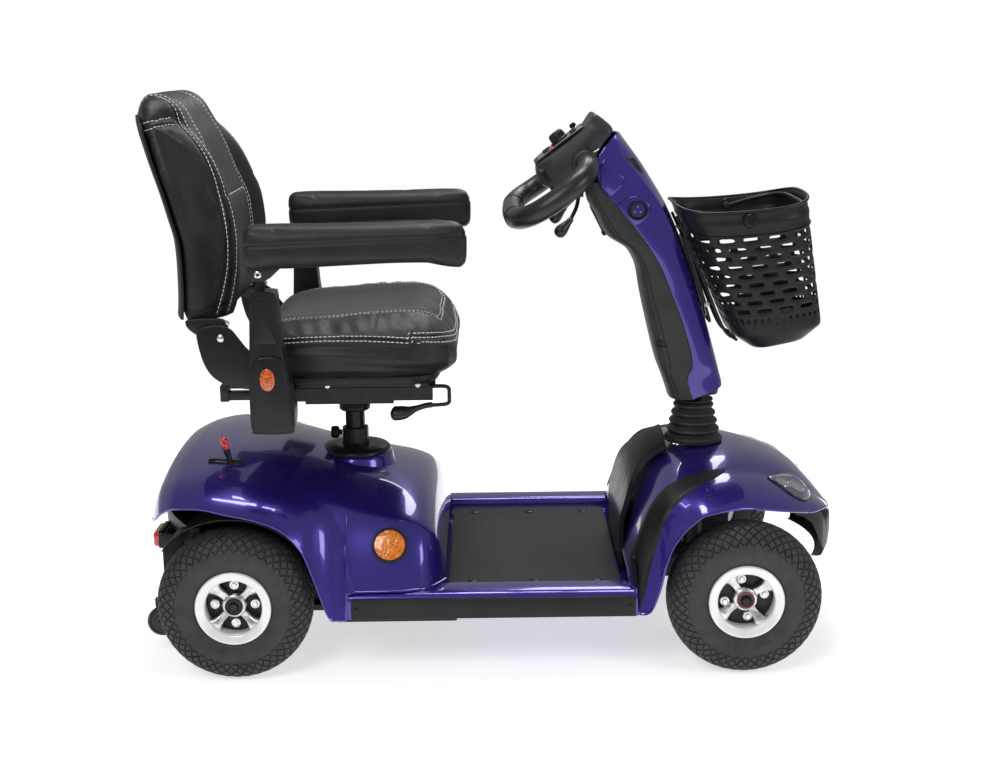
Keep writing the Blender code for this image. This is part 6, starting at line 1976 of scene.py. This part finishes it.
def press_back_folds(back):
    """Soft creases on the sides, below the strap and at the foot."""
    points = coordinates(back)
    out = normals(back)
    x, y, z = points[:, 0] - SHIFT, points[:, 1], points[:, 2]
    side_wall = step_up(0.150, 0.190, np.abs(y))
    crease = np.exp(-((z - (0.9124 - 0.72 * (x + 0.1057)))
                      / 0.005) ** 2) * step_up(-0.115, -0.095, x) * step_up(-0.040, -0.060, x)
    points += out * (side_wall * crease * 0.0022)[:, None]
    low_fold = np.exp(-((x + 0.030 - 0.15 * (z - 0.66)) / 0.010) ** 2) * step_up(0.700, 0.660, z)
    points += out * (side_wall * low_fold * 0.0030)[:, None]
    set_coordinates(back, points)


def back_region(x, y, z, normal):
    """Material of a face: 0 black leather, 1 grey panels, 2 the satin strip between the outer seams."""
    scale = 1 - 0.30 * float(step_up(0.76, 1.00, z))
    reach = abs(y) / scale
    if normal.x < -0.35 and x < -0.05 and normal.z < 0.8:
        return 0
    if reach < INNER_SEAM_Y:
        return 1
    if reach < RIDGE_Y:
        return 1 if z > 0.90 else 0
    if reach < OUTER_SEAMS[0]:
        return 1
    return 2 if reach < OUTER_SEAMS[1] and normal.x > -0.2 else 0


def make_back_cushion():
    """Padded cushion of the backrest: bolsters, middle panel, seams and piping."""
    bm = bmesh.new()
    loft(bm, back_rings())
    back = piece("back_pad", bm, [LEATHER, GREY_LEATHER, SATIN_BLACK], "backrest",
                 "backrest_cushion", angle=180)
    puffed(back, 0.0062, 0.007)
    tree = surface_tree(back)

    def over(y_of):
        """A line up the face and over the top."""
        pairs = []
        for z in np.linspace(0.606, 0.900, 74):
            y = y_of(z)
            pairs.append(((0.30 + SHIFT, y, z), (-0.30 + SHIFT, y, z)))
        for a in np.linspace(0, math.radians(115), 30):
            y = y_of(0.900 + 0.06 * math.sin(min(a, math.pi / 2)))
            centre = (-0.118 + SHIFT, y, 0.900)
            pairs.append(((centre[0] + 0.25 * math.cos(a), y, centre[2] + 0.25 * math.sin(a)), centre))
        return draped(tree, pairs)

    def seam_at(base, side):
        """A seam that leans inwards towards the top."""
        return over(lambda z: side * (base * (1 - 0.30 * float(step_up(0.76, 1.00, z)))))

    outer, inner, straps = [], [], []
    for _, side in SIDES:
        outer += [seam_at(base, side) for base in OUTER_SEAMS]
        inner.append(seam_at(INNER_SEAM_Y, side))
        for shift in (0.0, 0.012):
            pairs = []
            for t in np.linspace(0, 1, 26):
                x, z = -0.128 + 0.052 * t, 0.9130 + 0.0130 * t + shift * 0.9
                pairs.append(((x - shift * 0.5 + SHIFT, side * 0.35, z),
                              (x - shift * 0.5 + SHIFT, 0, z - 0.02)))
            straps.append(draped(tree, pairs))
    cross = [draped(tree, [((0.30 + SHIFT, y, 0.7890), (-0.30 + SHIFT, y, 0.7890))
                           for y in np.linspace(-0.098, 0.098, 50)])]
    base_line = [draped(tree, [((x + SHIFT, side * 0.35, 0.6180), (x + SHIFT, 0, 0.6180))
                               for x in np.linspace(-0.056, -0.004, 20)]) for _, side in SIDES]
    carve(back, [groove(places) for places in outer + inner], 0.0032, 0.0040)
    carve(back, [groove(places) for places in straps + cross + base_line], 0.0018, 0.0034)
    press_back_folds(back)
    paint_faces(back, back_region)
    tree = surface_tree(back)
    outer, inner, straps, cross = (redraped(tree, group) for group in (outer, inner, straps, cross))
    seam_piece("back_stitches_outer", tree, outer, "backrest", offsets=(0.0036,))
    seam_piece("back_stitches_inner", tree, inner, "backrest", offsets=(-0.0036, 0.0036))
    seam_piece("back_stitches_straps", tree, straps + cross, "backrest", offsets=(0.0,))
    piping("back_piping", inner + outer, "backrest", 0.0011, SATIN_BLACK, -0.0004)


ARMREST_Y = 0.265
PIVOT = (0.066, 0.685)


def arm_rings(side):
    """Sections of an armrest pad with rounded ends, fuller at the top of the front."""
    rows = []
    for i in range(44):
        t = i / 43
        x = 0.0460 + (0.3955 - 0.0460) * t
        low = 0.6945 + 0.0035 * float(step_up(0.10, 0.75, t)) - 0.0045 * float(step_up(0.80, 0.94, t))
        high = 0.7625 + 0.0040 * t
        nose = min((x - 0.0460) / 0.010, 1.0)
        high -= 0.008 * (1 - math.sqrt(max(1 - (1 - nose) ** 2, 0)))
        low += 0.008 * (1 - math.sqrt(max(1 - (1 - nose) ** 2, 0)))
        tip = min((0.3955 - x) / 0.026, 1.0)
        high -= 0.022 * (1 - math.sqrt(max(1 - (1 - tip) ** 2, 0)))
        blunt = min((0.3955 - x) / 0.010, 1.0)
        low += 0.009 * (1 - math.sqrt(max(1 - (1 - blunt) ** 2, 0)))
        half = 0.0262 - 0.006 * (1 - math.sqrt(max(1 - (1 - min(nose, blunt)) ** 2, 0)))
        ring = []
        for k in range(48):
            y, z = ring_point(2 * math.pi * (k + 0.5) / 48, half, (high - low) / 2, 4.2)
            ring.append((x, side * ARMREST_Y + y, (high + low) / 2 + z))
        rows.append(ring)
    return rows


def make_arm_ears(word, side, body):
    """Pivot ears under the pad, and their screw."""
    bm = bmesh.new()
    for y in ((0.2555, 0.2600), (0.2700, 0.2745)):
        outline = [(0.0500, 0.7040), (0.0495, 0.6900), (0.0545, 0.6770), (0.0620, 0.6730),
                   (0.0740, 0.6730), (0.0860, 0.6800), (0.1000, 0.6930), (0.1050, 0.7040)]
        side_prism(bm, outline, side, *y)
    bevelled(piece(f"arm_ears_{word}", bm, STEEL, body), 0.0008, 2)
    bm = bmesh.new()
    turned(bm, ((0.0040, 0.0), (0.0062, 0.0006), (0.0058, 0.0024), (0.0036, 0.0036), (0.0026, 0.0030),
                (0.0024, 0.0012)),
           (PIVOT[0], side * 0.2745, PIVOT[1]), (0, side, 0), 28)
    piece(f"arm_screw_{word}", bm, BRIGHT, body, angle=40)


def make_armrests():
    for word, side in SIDES:
        body = f"armrest_{word}_body"
        bm = bmesh.new()
        loft(bm, arm_rings(side))
        pad = piece(f"arm_pad_{word}", bm, LEATHER, body, f"armrest_{word}", angle=180)
        puffed(pad, 0.0050, 0.0030)
        tree = surface_tree(pad)
        middle = (0.0470 + 0.3985) / 2
        pairs = []
        for a in np.linspace(0, 2 * math.pi, 260):
            x, y = ring_point(a, 0.30, 0.20, 12)
            inner = (min(max(middle + x, 0.075), 0.370) + SHIFT, side * ARMREST_Y, 0)
            z = 0.7315 + 0.0115 * min(max((middle + x - 0.05) / 0.35, 0), 1)
            pairs.append(((middle + x + SHIFT, side * ARMREST_Y + y, z), (inner[0], inner[1], z)))
        seam = draped(tree, pairs)
        carve(pad, [groove(seam)], 0.0020, 0.0026)
        tree = surface_tree(pad)
        piping(f"arm_piping_{word}", redraped(tree, [seam], 0.02), body, 0.0010, MATT_BLACK, -0.0002)
        make_arm_ears(word, side, body)
        make_arm_post(word, side)


# Armrest post: outer face, and the inset panel's corners and middle (distance forward, height)
POST_FACE = 0.2880
PANEL_CORNERS = ((0.0575, 0.5760), (0.0925, 0.5760), (0.0885, 0.6500), (0.0585, 0.6500))
PANEL_MIDDLE = (0.0740, 0.6130)


def make_arm_post(word, side):
    body = f"arm_post_{word}"
    make_post_cover(word, side, body)
    make_post_trim(word, side, body)
    make_post_steel(word, side, body)


def make_post_cover(word, side, body):
    """Moulded cover of the post."""
    outline = spline([
        (0.0530, 0.4290, 0), (0.1080, 0.4290, 0), (0.1150, 0.4400, 0), (0.1165, 0.4700, 0),
        (0.1120, 0.5000, 0), (0.1050, 0.5400, 0),
        (0.0990, 0.5800, 0), (0.0950, 0.6300, 0), (0.0935, 0.6530, 0), (0.0880, 0.6590, 0),
        (0.0560, 0.6590, 0), (0.0525, 0.6530, 0),
        (0.0505, 0.6000, 0), (0.0480, 0.5500, 0), (0.0455, 0.5000, 0), (0.0455, 0.4500, 0),
        (0.0475, 0.4350, 0),
    ], 110, closed=True)
    bm = bmesh.new()
    side_prism(bm, [(x, z) for x, z, _ in outline], side, 0.2500, 0.2880)
    bevelled(piece(f"post_cover_{word}", bm, SATIN_BLACK, body, f"armrest_post_{word}"),
             0.0040, 4, 40, 35)


def make_post_trim(word, side, body):
    """Upper panel, raised boss and the reflector on it."""
    bm = bmesh.new()
    rows = []
    for grow, lift in ((1.0, -0.0010), (1.0, 0.0008), (0.94, 0.0014)):
        ring = []
        for x, z in PANEL_CORNERS:
            u = PANEL_MIDDLE[0] + (x - PANEL_MIDDLE[0]) * grow
            v = PANEL_MIDDLE[1] + (z - PANEL_MIDDLE[1]) * grow
            ring.append((u, side * (POST_FACE + lift), v))
        rows.append(ring)
    loft(bm, rows)
    bevelled(piece(f"post_panel_{word}", bm, SATIN_BLACK, body), 0.0006, 2)
    bm = bmesh.new()
    rows = []
    for grow, lift in ((1.0, -0.0015), (1.0, 0.0020), (0.96, 0.0032), (0.90, 0.0036)):
        ring = []
        for x, z in spline([(0.0530, 0.4330, 0), (0.1060, 0.4330, 0), (0.1130, 0.4500, 0),
                            (0.1110, 0.4900, 0), (0.1060, 0.5300, 0), (0.1000, 0.5480, 0),
                            (0.0900, 0.5550, 0), (0.0660, 0.5550, 0), (0.0560, 0.5480, 0),
                            (0.0510, 0.5280, 0), (0.0485, 0.4800, 0), (0.0490, 0.4450, 0)],
                           72, closed=True)[:, :2]:
            ring.append((0.0790 + (x - 0.0790) * grow, side * (0.2880 + lift),
                         0.4950 + (z - 0.4950) * (1 - (1 - grow) * 0.5)))
        rows.append(ring)
    loft(bm, rows)
    piece(f"post_boss_{word}", bm, SATIN_BLACK, body, angle=50)
    bm = bmesh.new()
    rows = []
    for grow, lift in ((1.0, 0.0), (1.0, 0.0012), (0.86, 0.0022), (0.55, 0.0028), (0.05, 0.0030)):
        ring = [(0.0755 + 0.0120 * grow * math.cos(a), side * (0.2905 + lift),
                 0.5185 + 0.0180 * grow * math.sin(a))
                 for a in np.linspace(0, 2 * math.pi, 40, endpoint=False)]
        rows.append(ring)
    loft(bm, rows)
    piece(f"post_reflector_{word}", bm, DEEP_AMBER, body, angle=60)


def make_post_steel(word, side, body):
    """Neck, lug and the round bar into the seat frame."""
    bm = bmesh.new()
    side_block(bm, side, (0.0610, 0.0745), (0.2621, 0.2679), (0.6550, 0.6850))
    turned(bm, ((0.0110, -0.0029), (0.0118, -0.0020), (0.0118, 0.0020), (0.0110, 0.0029)),
           (PIVOT[0], side * ARMREST_Y, PIVOT[1]), (0, 1, 0), 32)
    turned(bm, ((0.0036, -0.0110), (0.0040, -0.0100), (0.0040, 0.0100), (0.0036, 0.0110)),
           (PIVOT[0], side * ARMREST_Y, PIVOT[1]), (0, 1, 0), 20)
    tube(bm, [(0.0800, side * 0.1460, 0.4630), (0.0800, side * 0.2530, 0.4630)], 0.0094, 24)
    bevelled(piece(f"post_steel_{word}", bm, STEEL, body), 0.0006, 2)


def make_seat_tray():
    """Moulded tray under the cushion, with the side ears of the recline joint."""
    bm = bmesh.new()
    rows = []
    for z, inset in ((0.4835, 0.010), (0.4850, 0.004), (0.4920, 0.0), (0.4990, 0.001), (0.5025, 0.005)):
        ring = []
        for k in range(96):
            x, y = ring_point(2 * math.pi * k / 96, 0.160 - inset, 0.196 - inset, 7.0)
            ring.append((0.187 + x, y, z))
        rows.append(ring)
    loft(bm, rows)
    piece("seat_tray", bm, MATT_BLACK, "seat", "seat_pan", angle=40)
    bm = bmesh.new()
    for _, side in SIDES:
        outline = spline([
            (0.0700, 0.4880, 0), (0.0680, 0.5040, 0), (0.0600, 0.5200, 0), (0.0480, 0.5400, 0),
            (0.0320, 0.5560, 0), (0.0200, 0.5720, 0), (0.0080, 0.5870, 0), (-0.0080, 0.5935, 0),
            (-0.0280, 0.5930, 0), (-0.0450, 0.5880, 0), (-0.0480, 0.5760, 0), (-0.0440, 0.5500, 0),
            (-0.0370, 0.5270, 0), (-0.0250, 0.5080, 0),
            (-0.0060, 0.4950, 0), (0.0140, 0.4890, 0), (0.0400, 0.4860, 0),
        ], 100, closed=True)
        side_prism(bm, [(x, z) for x, z, _ in outline], side, 0.2130, 0.2188)
    bevelled(piece("recline_ears", bm, SATIN_BLACK, "seat"), 0.0018, 3)


def make_rails():
    """Slide rails, cross bar and the sleeves of the armrest posts."""
    bm = bmesh.new()
    for _, side in SIDES:
        side_block(bm, side, (-0.0180, 0.3350), (0.0862, 0.1138), (0.4635, 0.4700))
        side_block(bm, side, (-0.0180, 0.3350), (0.0900, 0.1100), (0.4690, 0.4840))
        side_block(bm, side, (0.0640, 0.0960), (0.1300, 0.2230), (0.4485, 0.4560))
        side_block(bm, side, (0.0640, 0.0960), (0.1300, 0.2230), (0.4705, 0.4775))
        side_block(bm, side, (0.0640, 0.0680), (0.1300, 0.2230), (0.4485, 0.4775))
        side_block(bm, side, (0.0920, 0.0960), (0.1300, 0.2230), (0.4485, 0.4775))
        side_block(bm, side, (-0.0350, 0.0600), (0.0900, 0.1100), (0.4420, 0.4560))
        side_block(bm, side, (-0.0350, -0.0200), (0.0880, 0.1120), (0.4400, 0.4680))
    block(bm, (0.0500, -0.2230, 0.4765), (0.1100, 0.2230, 0.4850))
    bevelled(piece("seat_rails", bm, STEEL, "seat"), 0.0010, 2)
    bm = bmesh.new()
    for _, side in SIDES:
        for x in (0.0100, 0.1500, 0.3050):
            bolt(bm, (x, side * 0.1138, 0.4668), (0, side, 0), 0.0030, 0.0022)
    piece("rail_bolts", bm, BRIGHT, "seat", angle=35)


def make_stem():
    """Seat stem with its collar and clamp knob."""
    bm = bmesh.new()
    turned(bm, ((0.0165, 0.1300), (0.0174, 0.1315), (0.0174, 0.3960), (0.0250, 0.3975), (0.0278, 0.4000),
                (0.0278, 0.4165), (0.0262, 0.4188)), (SEAT_X, 0, 0), (0, 0, 1), 64)
    piece("seat_column", bm, SATIN_BLACK, "post", "seat_stem", angle=40)
    bm = bmesh.new()
    rows = []
    for x, radius, rib in ((0.1560, 0.0060, 0), (0.1545, 0.0095, 0), (0.1530, 0.0110, 0.4),
                           (0.1500, 0.0114, 1), (0.1430, 0.0108, 1), (0.1412, 0.0095, 0.3),
                           (0.1410, 0.0050, 0)):
        rows.append([(x, (radius - 0.0010 * rib * (0.5 + 0.5 * math.cos(8 * a))) * math.cos(a),
                      0.3550 + (radius - 0.0010 * rib * (0.5 + 0.5 * math.cos(8 * a))) * math.sin(a))
                     for a in np.linspace(0, 2 * math.pi, 64, endpoint=False)])
    loft(bm, rows)
    tube(bm, [(0.1610, 0, 0.3550), (0.1540, 0, 0.3550)], 0.0048, 20)
    piece("clamp_knob", bm, SATIN_BLACK, "knob", "height_knob", angle=40)


def make_seat_levers():
    """Swivel lever on the left and slide lever on the right."""
    bm = bmesh.new()
    tube(bm, spline([(0.235, 0.048, 0.4250), (0.262, 0.110, 0.4220), (0.270, 0.150, 0.4200)], 20), 0.0034,
         14)
    turned(bm, ((0.0040, 0.0), (0.0066, 0.004), (0.0085, 0.014), (0.0082, 0.026), (0.0060, 0.034),
                (0.0015, 0.037)), (0.2700, 0.1480, 0.4202), (0.06, 0.99, -0.02), 28)
    piece("swivel_handle_bar", bm, SATIN_BLACK, "swivel_handle", "swivel_lever", angle=60)
    y = -0.1200
    bm = bmesh.new()
    bar = spline([(0.3250, y, 0.4655), (0.3500, y, 0.4655), (0.3580, y, 0.4620), (0.3590, y, 0.4560),
                  (0.3590, y, 0.4430), (0.3580, y, 0.4370), (0.3500, y, 0.4335), (0.3180, y, 0.4320)], 60)
    tube(bm, bar, 0.0034, 14)
    piece("slide_rod", bm, STEEL, "slide_handle", "slide_lever", angle=60)
    bm = bmesh.new()
    path = spline([(0.3300, y, 0.4330), (0.3180, y, 0.4315), (0.3000, y, 0.4260), (0.2880, y, 0.4215),
                   (0.2760, y, 0.4190), (0.2640, y, 0.4185), (0.2570, y, 0.4190)], 42)
    stations = np.linspace(0, 1, len(path))
    radii = monotone((0, 0.25, 0.45, 0.62, 0.80, 0.93, 1.0),
                     (0.0050, 0.0052, 0.0085, 0.0125, 0.0132, 0.0090, 0.0015), stations)
    tube(bm, path, list(radii), 24, flat=0.8)
    piece("slide_grip", bm, GRIP_RUBBER, "slide_handle", angle=70)


# ---------------------------------------------------------------- camera, lights and floor
def make_camera():
    camera = bpy.data.objects.new("camera", bpy.data.cameras.new("camera"))
    bpy.context.scene.collection.objects.link(camera)
    camera.data.lens = 52.37
    camera.data.sensor_width = 36.0
    camera.data.clip_end = 50.0
    yaw, pitch, roll = 0.005652, 0.225296, -0.010670
    ahead = Vector((math.sin(yaw) * math.cos(pitch), math.cos(yaw) * math.cos(pitch), -math.sin(pitch)))
    level = Vector((math.cos(yaw), -math.sin(yaw), 0.0))
    upright = level.cross(ahead)
    right = level * math.cos(roll) + upright * math.sin(roll)
    up = upright * math.cos(roll) - level * math.sin(roll)
    turn = Matrix((right, up, -ahead)).transposed()
    camera.matrix_world = Matrix.Translation((-0.006, -2.546, 1.031)) @ turn.to_4x4()
    bpy.context.scene.camera = camera


def area_light(name, place, target, size, power, height=None):
    data = bpy.data.lights.new(name, "AREA")
    data.shape = "RECTANGLE"
    data.size = size
    data.size_y = height or size
    data.energy = power
    lamp = bpy.data.objects.new(name, data)
    bpy.context.scene.collection.objects.link(lamp)
    direction = Vector(target) - Vector(place)
    lamp.matrix_world = Matrix.Translation(place) @ direction.to_track_quat("-Z", "Y").to_matrix().to_4x4()


def make_stage():
    bm = bmesh.new()
    bmesh.ops.create_circle(bm, cap_ends=True, segments=64, radius=2.3)
    mesh = bpy.data.meshes.new("floor")
    bm.to_mesh(mesh)
    bm.free()
    floor = bpy.data.objects.new("floor", mesh)
    bpy.context.scene.collection.objects.link(floor)
    floor.location.z = -0.0005
    pale = shader_of("pale_floor", (0.90, 0.90, 0.90), 0.75, Emission_Strength=0.60)
    pale.node_tree.nodes["Principled BSDF"].inputs["Emission Color"].default_value = (1.0, 1.0, 1.0, 1.0)
    mesh.materials.append(pale)
    world = bpy.data.worlds.new("studio")
    bpy.context.scene.world = world
    world.use_nodes = True
    nodes, links = world.node_tree.nodes, world.node_tree.links
    # a white backdrop behind a dimmer room, as in a studio with black flags
    room = nodes["Background"]
    room.inputs["Color"].default_value = (1.0, 1.0, 1.0, 1.0)
    room.inputs["Strength"].default_value = 0.30
    backdrop = nodes.new("ShaderNodeBackground")
    backdrop.inputs["Color"].default_value = (1.0, 1.0, 1.0, 1.0)
    mix = nodes.new("ShaderNodeMixShader")
    path = nodes.new("ShaderNodeLightPath")
    links.new(path.outputs["Is Camera Ray"], mix.inputs["Fac"])
    links.new(room.outputs["Background"], mix.inputs[1])
    links.new(backdrop.outputs["Background"], mix.inputs[2])
    links.new(mix.outputs["Shader"], nodes["World Output"].inputs["Surface"])
    area_light("key", (-1.2, -2.4, 2.4), (0.0, 0.0, 0.35), 1.3, 34.0)
    area_light("fill", (2.2, -1.6, 1.4), (0.2, 0.0, 0.4), 0.9, 14.0)
    area_light("top", (0.0, 0.3, 3.0), (0.0, 0.0, 0.4), 1.2, 34.0, 0.7)
    area_light("back", (0.6, 2.6, 2.6), (0.0, 0.0, 0.5), 1.0, 18.0)
    bpy.context.scene.view_settings.view_transform = "Standard"


def finish_kept_parts():
    """Better materials on the structural parts that are shown as modelled."""
    looks = {
        "main_frame": STEEL, "transaxle": CAST_ALLOY, "battery_pack": GREY_PLASTIC,
        "controller": CAST_ALLOY, "knuckle_right": STEEL,
        "knuckle_left": STEEL, "tie_rod_right": STEEL, "tie_rod_left": STEEL, "steering_stem": STEEL,
        "tiller_post": STEEL, "basket_bracket": STEEL, "swivel_base": STEEL,
    }
    for node, material in looks.items():
        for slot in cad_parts[node].material_slots:
            slot.material = material


make_camera()
make_stage()
make_covers()
make_fairing_wall()
make_post_boss()
make_fender_pads()
make_indicators()
make_headlights()
make_deck()
make_sill_strips()
make_mat()
make_wheels()
make_front_bumper()
make_rear_trim()
make_rear_lamps()
make_knee_panel()
make_cover_levers()
make_liners()
make_tiller_rear()
make_tiller_core()
make_tiller_front()
make_tiller_pads()
make_socket()
make_latch_slots()
make_console()
make_console_ring()
make_console_face()
make_console_keys()
make_console_eyes()
make_dial()
make_key_and_horn()
make_handlebar()
make_throttle()
make_tilt_lever()
make_bellows()
make_basket_wall()
make_basket_rim()
make_basket_handle()
make_basket_rods()
make_seat_cushion()
make_backrest_shell()
make_back_cushion()
make_armrests()
make_seat_tray()
make_rails()
make_stem()
make_seat_levers()
finish_kept_parts()
